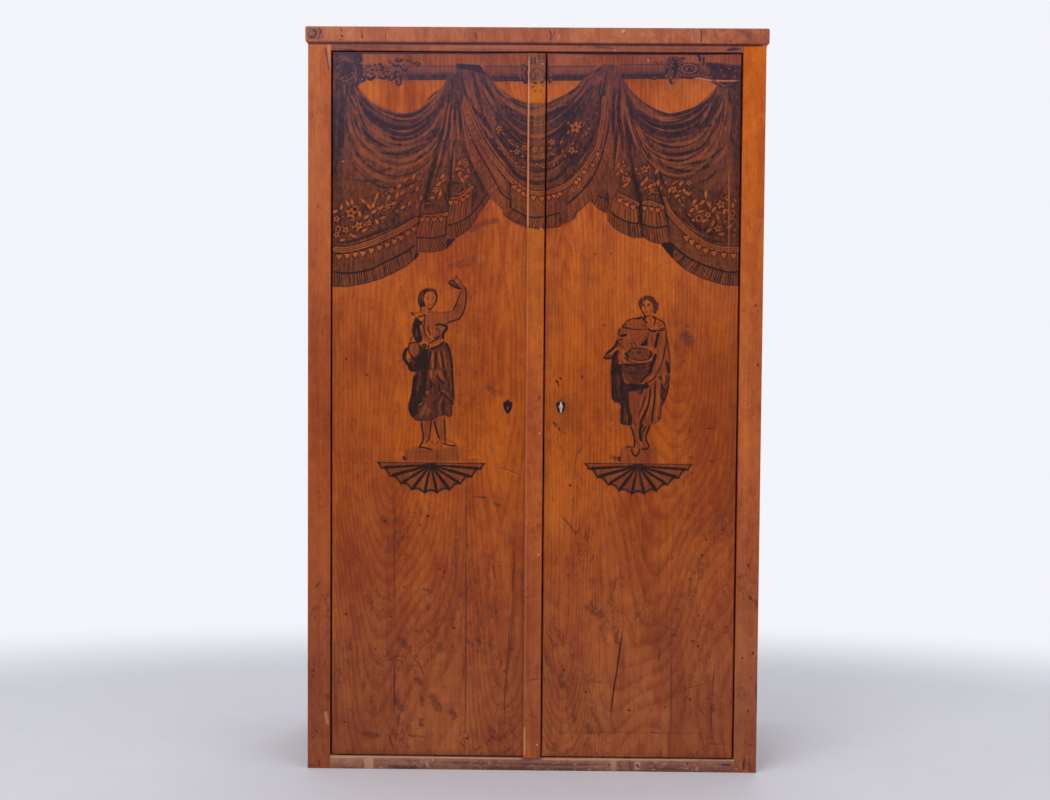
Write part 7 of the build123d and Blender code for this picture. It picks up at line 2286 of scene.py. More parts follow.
    # Cloak
    cloak_folds = [
        (2.6, 0.92, [(640, 585), (700, 575), (745, 555)], 0.2),
        (1.6, 0.88, [(555, 590), (600, 582), (650, 590)], 0.2),
        (1.4, 0.84, [(560, 590), (480, 622), (425, 680), (392, 725), (375, 748)], 0.1),
        (1.2, 0.80, [(400, 700), (440, 690), (470, 705)], 0.2),
        (1.1, 0.86, [(380, 745), (500, 758), (620, 776), (760, 774), (845, 765)], 0.1),
        (1.4, 0.80, [(395, 722), (460, 742), (520, 752)], 0.2),
        (2.4, 0.94, [(838, 740), (868, 788), (930, 802), (1000, 792)], 0.2),
        (1.6, 0.90, [(1000, 792), (1080, 790), (1135, 745)], 0.1),
        (1.4, -0.22, [(865, 752), (920, 778)], 0.3),
        (1.0, 0.66, [(838, 785), (740, 870), (620, 985)], 0.2),
        (1.0, 0.74, [(845, 810), (780, 910), (700, 1020)], 0.2),
        (1.2, 0.84, [(860, 815), (820, 920), (760, 1000)], 0.2),
        (3.4, 0.94, [(825, 935), (790, 1000), (705, 1060)], 0.25),
        (2.4, 0.90, [(760, 1050), (800, 1040), (830, 1000)], 0.3),
        (1.1, 0.70, [(700, 620), (760, 690), (835, 748)], 0.2),
        (1.0, 0.60, [(640, 640), (730, 700), (800, 740)], 0.2),
        (1.2, 0.74, [(980, 700), (1030, 650), (1060, 640)], 0.2),
        (1.1, 0.80, [(1000, 740), (1060, 700), (1110, 680)], 0.2),
        (1.2, 0.80, [(1030, 770), (1080, 750), (1120, 740)], 0.2),
        (1.6, 0.88, [(1000, 590), (1060, 620), (1120, 670), (1145, 740)], 0.1),
        (1.4, 0.86, [(1145, 740), (1155, 860), (1150, 1000), (1128, 1140), (1100, 1280), (1040, 1450),
         (985, 1568)], 0.05), (1.4, 0.74, [(1160, 880), (1190, 1040), (1215, 1260), (1222, 1568)], 0.1),
        (2.8, 0.90, [(1150, 1300), (1185, 1430), (1195, 1568)], 0.2),
        (1.4, 0.60, [(1120, 1380), (1080, 1480), (1060, 1568)], 0.2),
        (3.2, 0.93, [(1022, 800), (1000, 920), (972, 1040), (955, 1130)], 0.2),
        (2.2, 0.60, [(1060, 860), (1040, 1000), (1030, 1120)], 0.3, 1.8),
        (3.6, 0.95, [(975, 1180), (945, 1290), (905, 1400), (880, 1480), (870, 1568)], 0.15),
        (1.0, 0.50, [(930, 850), (900, 960), (860, 1040)], 0.2),
        (1.8, 0.92, [(352, 750), (330, 830), (332, 885)], 0.2),
        (2.8, 0.95, [(330, 885), (400, 878), (485, 858)], 0.3),
        (1.1, 0.60, [(360, 830), (430, 800), (500, 760)], 0.2),
        (2.8, 0.94, [(318, 935), (290, 1000), (268, 1060), (215, 1115), (150, 1170), (80, 1225)], 0.15),
        (1.6, 0.84, [(320, 960), (370, 950), (390, 965)], 0.2),
        (1.6, 0.84, [(310, 1020), (350, 1020), (330, 1050)], 0.2),
        (1.2, 0.70, [(280, 1080), (350, 1060), (425, 1100), (440, 1150)], 0.2),
        (1.2, 0.80, [(480, 1015), (540, 1022), (562, 1080), (520, 1145), (482, 1195)], 0.2),
        (1.0, 0.66, [(440, 1040), (500, 1060), (500, 1130), (460, 1180)], 0.2),
        (1.2, 0.78, [(600, 1010), (640, 1050), (610, 1110)], 0.2),
        (1.1, 0.76, [(570, 960), (590, 1020), (640, 1030)], 0.2),
        (1.0, 0.50, [(520, 830), (560, 920), (640, 980)], 0.2),
        (0.9, 0.46, [(480, 960), (560, 960), (600, 980)], 0.2),
        (2.4, 0.93, [(72, 1235), (90, 1278), (180, 1272), (205, 1250)], 0.15),
        (1.2, 0.30, [(140, 1215), (200, 1180), (250, 1165)], 0.3),
        (1.6, 0.92, [(80, 1225), (130, 1240), (200, 1215)], 0.2),
        (2.0, 0.92, [(430, 1160), (445, 1200), (480, 1280), (510, 1310)], 0.2),
        (1.2, 0.84, [(400, 1290), (385, 1360), (365, 1400)], 0.2),
        (2.6, 0.20, [(380, 1170), (350, 1260), (350, 1360)], 0.2),
        (1.2, 0.84, [(355, 1160), (310, 1260), (330, 1370)], 0.2),
        (1.0, 0.70, [(345, 1290), (340, 1340)], 0.2)]
    pen.strokes(cloak_folds)
    # Head: curls round a plain oval face, and the neck
    hair = [
        (830, 180), (930, 215), (985, 290), (1020, 340), (1005, 430), (960, 505), (920, 470), (800, 545),
        (735, 470), (690, 400), (668, 320), (700, 240)]
    pen.fill(hair, tone=0.92)
    face = [
        (810, 250), (880, 290), (925, 370), (930, 440), (890, 505), (820, 540), (765, 490), (725, 400),
        (745, 300)]
    pen.fill(face, tone=0.10)
    neck = [(790, 540), (920, 500), (955, 600), (935, 720), (860, 745), (800, 640)]
    pen.fill(neck, tone=0.14, smooth=False)
    curls = [
        (735, 245, 1.3), (790, 215, 1.2), (860, 215, 1.3), (920, 250, 1.2), (955, 315, 1.3),
        (985, 370, 1.2), (700, 310, 1.1), (960, 440, 1.2), (710, 370, 1.0)]
    pen.rings(curls, tone=0.62, edge=0.94)
    head_lines = [
        (1.5, 0.94, [(745, 352), (775, 352)], 0.2), (1.5, 0.94, [(828, 352), (862, 352)], 0.2),
        (1.1, 0.74, [(740, 330), (778, 328)], 0.3), (1.1, 0.74, [(822, 328), (868, 330)], 0.3),
        (1.2, 0.64, [(798, 350), (786, 415), (804, 425)], 0.2),
        (1.3, 0.88, [(782, 466), (805, 470), (832, 466)], 0.3),
        (1.6, 0.40, [(905, 380), (905, 440), (880, 490)], 0.3, 1.2),
        (1.3, 0.84, [(738, 450), (770, 520), (805, 545), (870, 525)], 0.1),
        (2.6, 0.92, [(770, 530), (780, 580), (735, 610)], 0.2),
        (2.0, 0.84, [(740, 600), (790, 640), (830, 680)], 0.2),
        (2.2, 0.92, [(915, 540), (950, 570), (1000, 592)], 0.2),
        (1.5, 0.90, [(950, 575), (962, 630), (935, 720)], 0.2),
        (0.9, 0.50, [(700, 630), (800, 700), (850, 740)], 0.2)]
    pen.strokes(head_lines)


# The two half fans: outline cusps from the hub, in pixels of the photograph
fan_hubs = ((430.7, 464.9), (637.8, 465.9))
fan_cusps = ((-53.3, -2.6), (-49.4, 2.7), (-40.6, 11.1), (-29.8, 18.6), (-18.8, 24.5), (-6.1, 27.9),
             (6.4, 27.6), (18.9, 24.9), (29.7, 18.8), (40.9, 11.9), (50.4, 3.7), (54.2, -1.4))
fan_ground = 0.42
fan_dark = 0.97
fan_reach = 50
end_share = 0.96
end_bulge, bulge = 0.4, 2.9
broad_ribs = (1, 3, 6, 8)
broad_half, narrow_half = 1.75, 1.45
rib_root, root_half = 0.05, 0.8
rib_middle, middle_share = 0.5, 0.85
rib_shoulder = 0.92
fan_knob = ((-5, -1.6), (5, -1.6), (3.4, 2.6), (0, 3.6), (-3.4, 2.6))


def rib_outline(hub, out, half):
    """A rib that widens from the hub and closes at the fan's edge."""
    side = np.array([-out[1], out[0]]) / np.hypot(*out)
    shares = ((rib_root, root_half), (rib_middle, middle_share * half), (rib_shoulder, half))
    there = [hub + out * share + side * wide for share, wide in shares]
    back = [hub + out * share - side * wide for share, wide in reversed(shares)]
    return [*there, hub + out, *back]


def paint_fans(pen):
    """Two half fans with dark ribs and a scalloped edge."""
    pen.look(whole_view)
    for hub_x, hub_y in fan_hubs:
        hub = np.array([hub_x, hub_y])
        cusps = [(hub_x + x, hub_y + y) for x, y in fan_cusps]
        pen.fill(cusps, tone=fan_ground, smooth=False, blur=2)
        for (x0, y0), (x1, y1) in zip(cusps, cusps[1:]):
            middle = ((x0 + x1) / 2, (y0 + y1) / 2)
            away = (middle[0] - hub_x) / fan_reach
            rise = end_bulge if abs(away) > end_share else bulge
            scallop = [(x0, y0), (middle[0] - 0.6 * away, middle[1] - rise), (x1, y1)]
            pen.stroke(scallop, width=1.5, tone=fan_dark, taper=0.02)
        top = [cusps[0], (hub_x, hub_y - 2.0), cusps[-1]]
        pen.stroke(top, width=1.0, tone=0.86, taper=0.02)
        for i, (x, y) in enumerate(cusps[1:-1]):
            half = broad_half if i in broad_ribs else narrow_half
            rib = rib_outline(hub, np.array([x - hub_x, y - hub_y]), half)
            pen.fill(rib, tone=fan_dark, smooth=False)
            pen.stroke(None, 1.7, fan_dark, taper=0, soft=0.8, dense=np.array([(x, y), (x, y + 0.5)]))
        knob = [(hub_x + x, hub_y + y) for x, y in fan_knob]
        pen.fill(knob, tone=0.92)


# Growth rings beside the seams: top, width, height, pitch, count, tone
seam_arches = (
    ((394.4, 274), 16, 22, 5.8, 6, 0.17), ((393.4, 352), -14, -20, 7.2, 5, 0.14),
    ((394.4, 361), 20, -3, 7.0, 4, 0.13), ((676.0, 264), 14, 17, 6.4, 8, 0.20),
    ((674.8, 262), -30, 26, 6.0, 7, 0.13), ((394.4, 520), 26, 60, 9.0, 5, 0.10),
    ((674.8, 540), -26, 70, 9.0, 5, 0.10), ((676.0, 560), 28, 60, 10.0, 4, 0.09),
    ((393.4, 600), -26, 60, 10.0, 4, 0.09))
arch_shape = ((0, 0), (0.35, 0.08), (0.66, 0.34), (0.88, 0.70), (1, 1.1))
arch_growth = 0.05

# Darker patches of the veneer: tone, smooth, blur, outline
veneer_patches = (
    (0.12, False, 4, [(452, 486), (466, 486), (465.6, 604), (455, 606)]),
    (0.16, True, 6, [(676, 318), (690, 324), (694, 346), (686, 356), (676, 352)]),
    (0.12, True, 8, [(440, 330), (462, 300), (470, 330), (462, 430), (446, 420)]),
    (0.10, True, 6, [(580, 262), (588, 262), (590, 330), (582, 334)]))


def arches(pen, top, wide, tall, pitch, count, tone):
    """Nested growth rings that fall away from a seam on one side of it."""
    for i in range(count):
        spread = 1 + arch_growth * i
        points = [(top[0] + wide * spread * across, top[1] + pitch * i + tall * fall)
                  for across, fall in arch_shape]
        width = pen.dice.uniform(1.0, 1.5)
        pen.stroke(points, width, tone * pen.dice.uniform(0.8, 1.2), taper=0.5, soft=1.0)


def paint_rings(pen):
    """Growth rings and darker patches beside the veneer's seams."""
    pen.look(whole_view)
    for arch in seam_arches:
        arches(pen, *arch)
    for tone, smooth, blur, outline in veneer_patches:
        pen.fill(outline, tone, smooth, blur)


def paint_stains(pen):
    """Red-brown stains, as (width, height, strength, points)."""
    pen.look(whole_view)
    stains = (
        (17, 10, 0.30, [(484, 384), (500, 396)]), (10, 10, 0.36, [(462, 232), (488, 222), (502, 221)]),
        (8, 8, 0.44, [(452, 281), (462, 283)]), (14, 14, 0.26, [(445, 268), (470, 262), (480, 250)]),
        (9, 6, 0.34, [(474, 579), (478, 583)]), (14, 6, 0.34, [(422, 588), (434, 593)]),
        (6, 9, 0.30, [(428, 603), (428, 611)]), (6, 5, 0.34, [(416, 630), (417, 632)]),
        (6, 5, 0.34, [(428, 630), (429, 632)]), (14, 9, 0.40, [(398, 638), (408, 648)]),
        (10, 8, 0.40, [(415, 678), (423, 684)]), (6, 12, 0.38, [(421, 696), (423, 707)]),
        (10, 9, 0.50, [(396, 702), (403, 710)]), (7, 9, 0.36, [(420, 719), (421, 727)]),
        (12, 18, 0.34, [(432, 693), (440, 712)]), (10, 10, 0.34, [(450, 710), (456, 718)]),
        (9, 16, 0.26, [(370, 694), (374, 712)]), (22, 7, 0.34, [(358, 733), (382, 736)]),
        (22, 4, 0.34, [(405, 735), (427, 737)]), (24, 8, 0.26, [(474, 643), (498, 648)]),
        (8, 40, 0.24, [(456, 530), (458, 590)]), (9, 30, 0.22, [(460, 386), (461, 422)]),
        (20, 16, 0.36, [(588, 604), (602, 616)]), (11, 8, 0.30, [(610, 457), (620, 459)]),
        (12, 14, 0.44, [(684, 333), (690, 343)]), (6, 16, 0.36, [(616, 632), (617, 646)]),
        (10, 11, 0.32, [(561, 682), (568, 690)]), (20, 40, 0.22, [(716, 506), (728, 540)]),
        (9, 4, 0.34, [(673, 609), (679, 611)]), (12, 4, 0.30, [(668, 634), (679, 636)]),
        (14, 3, 0.34, [(649, 732), (660, 733)]), (11, 5, 0.36, [(493, 503), (501, 506)]),
        (14, 8, 0.20, [(560, 434), (566, 432)]))
    for width, height, tone, points in stains:
        least = min(width, height)
        pen.stroke(points, width=0.9 * least, tone=1.3 * tone + 0.1, taper=0.2, soft=0.6 * least)


def paint_wear_and_painted_shade(pen):
    """Cracks, dents, scratches and stains of age on the doors, a painted shadow along their tops under the
    rail, and painted shade along their edges and feet.
    """
    pen.look(whole_view)
    dots = (
        (346, 358.6), (367, 375), (427.6, 516), (414.6, 512.6), (428, 515.6), (420, 525), (385, 521),
        (408, 537), (467.4, 545), (404, 587), (391, 616.6), (440, 569), (443.6, 572), (442.4, 577.6),
        (346, 614), (375.6, 649), (454, 628), (345, 721.6), (467, 738), (339, 682), (604, 325),
        (687, 325.6), (684, 361), (690, 579), (672, 558), (702, 555), (723, 529.6), (706.6, 539.4),
        (692.4, 640.6), (698.6, 615.6), (698, 646), (731, 689.6), (690, 699), (629, 710), (570, 485),
        (692, 473), (711.6, 461), (690, 457), (665, 707), (568, 575), (578, 574), (564, 670),
        (456, 276.5), (595, 254), (611, 253), (586, 692))
    for x, y in dots:
        width, tone = pen.dice.uniform(1.2, 2.1), pen.dice.uniform(0.6, 0.92)
        pen.stroke([(x - 0.3, y), (x + 0.4, y + 0.5)], width, tone, taper=0, soft=0.9)
    dents = (
        (471, 299), (474, 317), (477, 336), (479, 349), (481, 361), (477, 373), (476, 293), (471.5, 297))
    for x, y in dents:
        pen.stroke([(x, y - 0.8), (x + 0.2, y + 0.8)], width=1.5, tone=0.62, taper=0, soft=0.9)
        pen.stroke([(x + 0.9, y), (x + 1.0, y + 0.9)], width=0.9, tone=-0.22, taper=0, soft=0.8)
    marks_and_painted_shade = (
        (1.0, 0.58, [(394.5, 500), (394.2, 540), (394.8, 600)]),
        (1.2, 0.82, [(394.6, 660), (394.4, 690), (395, 712)]),
        (0.9, 0.70, [(400, 716), (397, 730), (396, 744)]),
        (1.0, 0.74, [(388, 732), (391, 742), (394, 750)]),
        (1.0, 0.76, [(511, 546), (514.4, 558), (513, 576), (512.4, 596)]),
        (1.0, 0.70, [(511, 612), (509, 640), (507, 665), (505, 690), (504, 730)]),
        (1.0, 0.72, [(493, 564), (494, 572), (495.6, 580)]), (0.8, 0.66, [(481, 618), (481, 626)]),
        (1.1, 0.84, [(474, 497), (488, 497.4)]), (1.0, 0.60, [(498, 468), (508, 470), (522, 476)]),
        (1.0, 0.72, [(412, 657), (419, 664), (424.4, 676)]),
        (1.0, 0.66, [(583, 445), (576, 457), (575, 473), (572.5, 478)]),
        (1.0, 0.70, [(690, 423), (689, 435)]), (1.2, 0.80, [(706, 428.6), (714, 428)]),
        (1.1, 0.72, [(560, 515), (568, 523), (576, 533), (580, 526)]),
        (1.0, 0.70, [(594, 553), (591, 562)]), (1.1, 0.70, [(617, 576), (615, 584), (613, 592)]),
        (0.8, 0.50, [(646, 510), (642, 524), (643, 550), (641.6, 580), (650, 592)]),
        (1.5, 0.88, [(623, 623), (621.6, 636), (619, 656), (616, 676), (612, 702), (611, 718),
         (612.4, 724)]), (1.0, 0.74, [(660.6, 647), (658.4, 661)]),
        (1.0, 0.70, [(715, 658), (713, 686), (711.6, 710), (710.4, 732)]),
        (0.9, 0.50, [(680, 690), (695, 686), (710, 683)]), (0.9, 0.50, [(604, 682), (588, 681)]),
        (0.9, 0.56, [(710, 744), (728, 744)]), (0.9, 0.66, [(552, 497), (554, 501)]),
        (0.9, 0.66, [(573, 497), (573.6, 503)]), (0.9, 0.66, [(631, 495), (630.4, 501)]),
        (0.8, 0.40, [(546, 733), (620, 732.4), (732, 734)]), (0.9, 0.60, [(513.6, 459), (513.8, 463)]),
        (1.3, 0.80, [(558, 383), (559, 387)]), (1.6, 0.80, [(554, 428), (558, 425), (560, 427)]),
        (1.0, 0.72, [(613, 458), (616, 459)]), (0.8, 0.56, [(380, 664), (392, 658), (403, 654)]))
    marks_and_painted_shade += (
        (24.0, 0.15, [(563, 396), (569, 410), (566, 428)], 0.2, 12.0),
        (2.2, 0.86, [(556.6, 381), (557.6, 382.4)], 0.0), (1.8, 0.84, [(560.4, 378), (561, 379)], 0.0),
        (2.0, 0.80, [(553.6, 422.6), (555.4, 424.6)], 0.0), (1.8, 0.80, [(558.6, 428), (560, 430)], 0.0),
        # Painted shadow along the doors' tops, under the top rail, follows the marks by the key
        (1.6, 0.76, [(582, 376), (582.4, 378)], 0.0), (1.7, 1.0, [(332, 52.8), (430, 53.2), (528, 53.6)]),
        (1.7, 1.0, [(541, 53.7), (640, 54.1), (745, 54.5)]),
        (1.3, 0.62, [(466.2, 556), (466, 640), (465.4, 734)]), (1.2, 0.42, [(466.4, 470), (466.2, 560)]),
        (1.2, 0.50, [(671.6, 656), (671, 734)]), (1.3, 0.34, [(675.6, 262), (675.6, 300), (675.4, 372)]),
        (1.2, 0.62, [(528, 681), (533, 679.6), (540, 678)]),
        # Painted shade along the doors' edges and feet, beside the stiles, the strip and the bottom rail
        (9.0, 0.26, [(335, 640), (335, 755)], 0.3, 7.0),
        (7.0, 0.34, [(334, 754), (430, 756), (522, 757.6)], 0.1, 8.0),
        (7.0, 0.28, [(543, 757.4), (640, 758.4), (735, 759)], 0.1, 8.0),
        (8.0, 0.22, [(734, 300), (733, 420), (730, 560)], 0.3, 6.0),
        (7.0, 0.16, [(548, 270), (547, 420), (546, 560)], 0.3, 6.0),
        (6.0, 0.22, [(335, 290), (335, 360), (335, 430)], 0.4, 6.0),
        (1.4, 0.52, [(512.6, 596), (511, 640), (505.4, 690), (504, 730)]),
        (3.4, 0.20, [(537, 664), (537, 677)]))
    for width, tone, points, *rest in marks_and_painted_shade:
        pen.stroke(points, width, tone, *(rest or (0.2, 0.8)))
    pales = (
        (1.2, -0.20, [(468, 457), (480, 457)]), (0.9, -0.16, [(498, 469.4), (508, 471.4), (522, 477.4)]),
        (0.8, -0.14, [(729, 160), (729, 210), (728.6, 260)]), (1.6, -0.6, [(731.4, 758.6), (733, 759.4)]),
        (1.0, -0.20, [(595, 612), (600, 609)]), (1.2, -0.45, [(648.4, 60.4), (648.8, 61.2)]),
        (0.9, -0.14, [(420, 571), (426, 575)]))
    for width, tone, points in pales:
        pen.stroke(points, width, tone, 0.2, 0.8)


def paint_frame(pen):
    """Cracks, stains and pale wear on the cap, the rails and the stiles, painted shadow lines under the cap
    and above the doors, and a painted highlight in the bottom rail's pale arris.
    """
    pen.look(whole_view)
    # Cap: a burl at its left corner, cracks across the grain and blots at the right
    burl = [(306, 28), (319, 27), (323, 33), (321, 41), (306, 42)]
    pen.fill(burl, tone=0.50, blur=3, share=0.8)
    cap_cracks = [
        (2.0, 0.84, [(311, 29), (316, 32), (314, 37), (309, 38)], 0.2),
        (1.6, 0.80, [(318, 28), (321, 31), (319, 35)], 0.2),
        (2.2, 0.80, [(308, 34), (310, 37), (313, 36)], 0.2),
        (1.5, 0.76, [(320, 35), (318, 39), (314, 41)], 0.2),
        (1.2, 0.60, [(307, 32), (309, 35), (308, 40)], 0.2), (1.4, 0.70, [(340.6, 29), (342.4, 31)], 0.2),
        (2.0, 0.74, [(341.4, 35.4), (342.6, 36.6)], 0.0), (1.5, 0.66, [(339, 39), (343, 40.6)], 0.2),
        (1.1, 0.66, [(361.2, 28), (361.8, 34), (362.6, 40)], 0.2),
        (1.9, 0.76, [(362, 36), (362.2, 37.6)], 0.0), (1.2, 0.60, [(385, 32), (386, 41)], 0.3),
        (1.6, 0.70, [(392, 40.6), (393, 41)], 0.0), (0.9, 0.40, [(416, 33), (416.6, 42)], 0.3),
        (1.4, 0.84, [(474.2, 31.6), (476, 36), (477, 40.4)], 0.2),
        (0.9, 0.50, [(465, 30), (464, 40)], 0.3), (1.3, 0.84, [(548.4, 29), (551, 34), (550.6, 42)], 0.2),
        (1.0, 0.60, [(556, 31), (553, 36), (552, 41)], 0.3),
        (1.2, 0.84, [(701, 29.6), (701.4, 36), (701, 43)], 0.1),
        (2.4, 0.66, [(728, 41), (733, 42.6), (740, 43)], 0.2, 1.0),
        (6.0, 0.34, [(737, 30), (745, 32), (752, 40)], 0.3, 4.0),
        (3.0, 0.30, [(714, 30), (718, 40)], 0.3, 2.0)]
    pen.strokes(cap_cracks)
    cap_chips = [
        (2.6, -0.62, [(621.6, 29.4), (624.4, 29.6), (622.6, 31.6)], 0.0),
        (1.2, -0.40, [(559.6, 33), (558.4, 40)], 0.3), (1.4, -0.50, [(768, 31), (768.6, 33)], 0.0)]
    pen.strokes(cap_chips)
    # Top rail: a painted shadow line under the cap and another at its foot above the doors, then darker
    # marks
    rail_shadows_and_marks = [
        (1.9, 0.94, [(308, 43.3), (420, 43.8), (540, 44.3), (762, 45.5)], 0.0, 0.8),
        (1.7, 1.0, [(331, 51.2), (540, 52.2), (740, 53.1)], 0.0, 0.7),
        (1.6, 0.80, [(340, 50.6), (347, 49.8), (356, 50.4)], 0.2),
        (1.2, 0.60, [(333, 46), (336, 50)], 0.2), (2.0, 0.50, [(577, 46), (583, 46.6)], 0.3, 1.2),
        (2.6, 0.56, [(591, 46.6), (604, 47), (616, 49.4)], 0.3, 1.4),
        (1.6, 0.66, [(596, 45.6), (601, 48.6)], 0.3),
        (3.2, 0.80, [(725, 50.6), (732, 49.4), (742, 49)], 0.3, 1.0),
        (1.2, -0.50, [(613.6, 50.4), (616, 50.4)], 0.2), (1.4, 0.40, [(350, 47), (420, 47.6)], 0.3, 1.0),
        (1.2, 0.36, [(440, 49), (520, 49.6)], 0.3, 1.0), (1.2, 0.36, [(640, 49), (720, 49.6)], 0.3, 1.0)]
    pen.strokes(rail_shadows_and_marks)
    # Stiles
    stile_chip = [(327, 44.6), (331.4, 44.6), (331.6, 72), (330, 70)]
    pen.fill(stile_chip, tone=-0.30, smooth=False)
    stile_marks = [
        (1.1, 0.84, [(325.4, 46), (327, 58), (329.4, 72)], 0.1),
        (1.4, 0.66, [(315, 588), (320, 582)], 0.2), (1.5, 0.70, [(325, 599), (325.4, 600)], 0.0),
        (1.4, 0.70, [(315, 617), (315.2, 618.4)], 0.0), (1.5, 0.74, [(313.4, 669), (313.4, 671)], 0.0),
        (1.4, 0.70, [(317, 730), (317, 732)], 0.0), (1.2, 0.60, [(312, 110), (312.4, 118)], 0.2),
        (1.4, 0.60, [(318, 205), (318, 207)], 0.0), (1.2, 0.56, [(322, 330), (322.4, 336)], 0.2),
        (1.4, 0.70, [(318.6, 759), (319, 766)], 0.2), (1.0, 0.6, [(308, 764), (314, 766)], 0.2),
        (1.6, 0.76, [(755.4, 305), (755.4, 306.4)], 0.0), (1.5, 0.74, [(757.6, 364), (757.6, 366)], 0.0),
        (1.5, 0.74, [(748.6, 564), (748.6, 566)], 0.0), (1.5, 0.70, [(740, 576.6), (740.2, 577.6)], 0.0),
        (1.6, 0.76, [(750.4, 597), (750.4, 599)], 0.0),
        (1.5, 0.70, [(742.4, 657.6), (742.4, 658.6)], 0.0), (1.7, 0.76, [(753, 652.4), (753, 654)], 0.0),
        (1.5, 0.70, [(748, 710), (748, 712)], 0.0),
        (1.4, 0.80, [(744.4, 758), (743.6, 765), (744, 771)], 0.1),
        (1.2, 0.60, [(749, 760), (750.6, 770)], 0.2), (1.6, 0.60, [(756, 600), (757, 608)], 0.2),
        (1.6, 0.60, [(756, 680), (757, 710)], 0.2)]
    pen.strokes(stile_marks)
    stile_chips = [
        (3.2, -0.34, [(325.6, 713), (327.6, 723)], 0.0), (1.4, -0.40, [(736, 768.6), (737, 769.4)], 0.0),
        (1.3, -0.34, [(744.4, 770.4), (745.6, 770.4)], 0.0)]
    pen.strokes(stile_chips)
    # Bottom rail: a pale arris, worn and partly a painted highlight, an old repair, scuffs and bare chips
    arris_wear_and_highlight = [
        (1.7, -0.62, [(330, 756.4), (430, 757.6), (523, 758.8)], 0.02),
        (1.7, -0.60, [(541, 759.2), (640, 759.8), (700, 760)], 0.02),
        (1.3, -0.40, [(700, 760), (734, 760.6)], 0.05), (1.6, -0.70, [(731.6, 759.6), (733.4, 760)], 0.0)]
    pen.strokes(arris_wear_and_highlight)
    repair = [(364, 757.6), (373.4, 757.8), (373.4, 768.6), (364.4, 768.4)]
    pen.fill(repair, tone=-0.50, smooth=False)
    middle_scuff = [(611, 761), (616.4, 761), (616.4, 771), (611, 771)]
    pen.fill(middle_scuff, tone=-0.34, smooth=False)
    right_scuff = [(635, 762), (640.4, 762), (640.4, 770), (635, 770)]
    pen.fill(right_scuff, tone=-0.44, smooth=False)
    end_scuff = [(696, 767), (698.4, 767), (698.4, 771), (695, 771)]
    pen.fill(end_scuff, tone=-0.40, smooth=False)
    bottom_cracks = [
        (3.4, 0.56, [(386, 766), (402, 767.4), (422, 767)], 0.2, 1.6),
        (2.2, 0.46, [(440, 762), (470, 763), (500, 764)], 0.3, 1.4),
        (4.0, 0.40, [(470, 768), (530, 769), (600, 770)], 0.2, 2.0),
        (2.4, 0.50, [(500, 763), (560, 765), (610, 764)], 0.3, 1.4),
        (2.4, 0.60, [(718, 764), (726, 765), (734, 764.4)], 0.3, 1.2),
        (1.6, 0.76, [(686.6, 763), (687.6, 764)], 0.0), (2.0, 0.60, [(637, 765), (638.4, 767)], 0.0),
        (1.4, 0.64, [(608, 766), (610, 764)], 0.2), (2.0, 0.40, [(650, 768), (690, 769.6)], 0.3, 1.2),
        (1.6, 0.50, [(340, 768), (360, 768.6)], 0.3)]
    pen.strokes(bottom_cracks)
    # Pale scuffs along the bottom rail: left, right, strength
    scuffed = ((330, 362, 0.20), (376, 430, 0.34), (424, 470, 0.24), (470, 508, 0.46),
               (508, 560, 0.26), (570, 608, 0.44), (646, 690, 0.46), (690, 732, 0.22))
    scuff_top, scuff_foot = 761, 770
    for _ in range(120):
        left, right, strength = pen.dice.choice(scuffed)
        x, y = pen.dice.uniform(left, right), pen.dice.uniform(scuff_top, scuff_foot)
        scuff = [(x, y), (x + pen.dice.uniform(1, 5), y + 0.2)]
        width, tone = pen.dice.uniform(0.7, 1.3), -strength * pen.dice.uniform(0.5, 1.1)
        pen.stroke(scuff, width, tone, soft=0.8)
    bare_chips = [
        (1.4, -0.70, [(432.4, 758.6), (432.6, 761)], 0.1),
        (1.6, -0.60, [(427, 763.4), (427.4, 766)], 0.1)]
    pen.strokes(bare_chips)


# Sheets of ink: name, left, top, right, bottom in pixels of the photograph; the upper drapery sheets and
# the wear sheets also carry the painted shadow and shade of the doors
ink_sheets = (
    ("drapery_upper", 318, 48, 750, 150), ("drapery_lower", 318, 150, 750, 262),
    ("figure", 396, 262, 506, 461.5), ("figure", 598, 262, 706, 461.5),
    ("fan", 370, 461.5, 492, 502), ("fan", 575, 461.5, 700, 502), ("wear", 300, 22, 774, 776))
ink_least = 0.012
door_arris = 3.0 * mm
free_arris = 1.0 * mm
strip_arris = 3.5 * mm
frame_arris = 1.0 * mm
cap_arris = 4.0 * mm
sheet_margin = 0.3 * mm
square = (0, 0)


def door_faces():
    """The doors' inked faces: name, limits and roundings on X and on Z, plane, body, slot, material."""
    rise = (door_low.z, door_high.z)
    left = ("left", (left_edge, strip_low.x), (door_arris, 0), rise, square, door_plane, "door_left",
            "door_veneer", door_wood)
    right = ("right", (right_free, right_edge), (free_arris, door_arris), rise, square, door_plane,
             "door_right", "door_veneer", door_wood)
    strip = ("strip", (strip_low.x, strip_high.x), (strip_arris, strip_arris), (strip_low.z, strip_high.z),
             square, strip_plane, "door_left", "frame_veneer", strip_wood)
    return left, right, strip


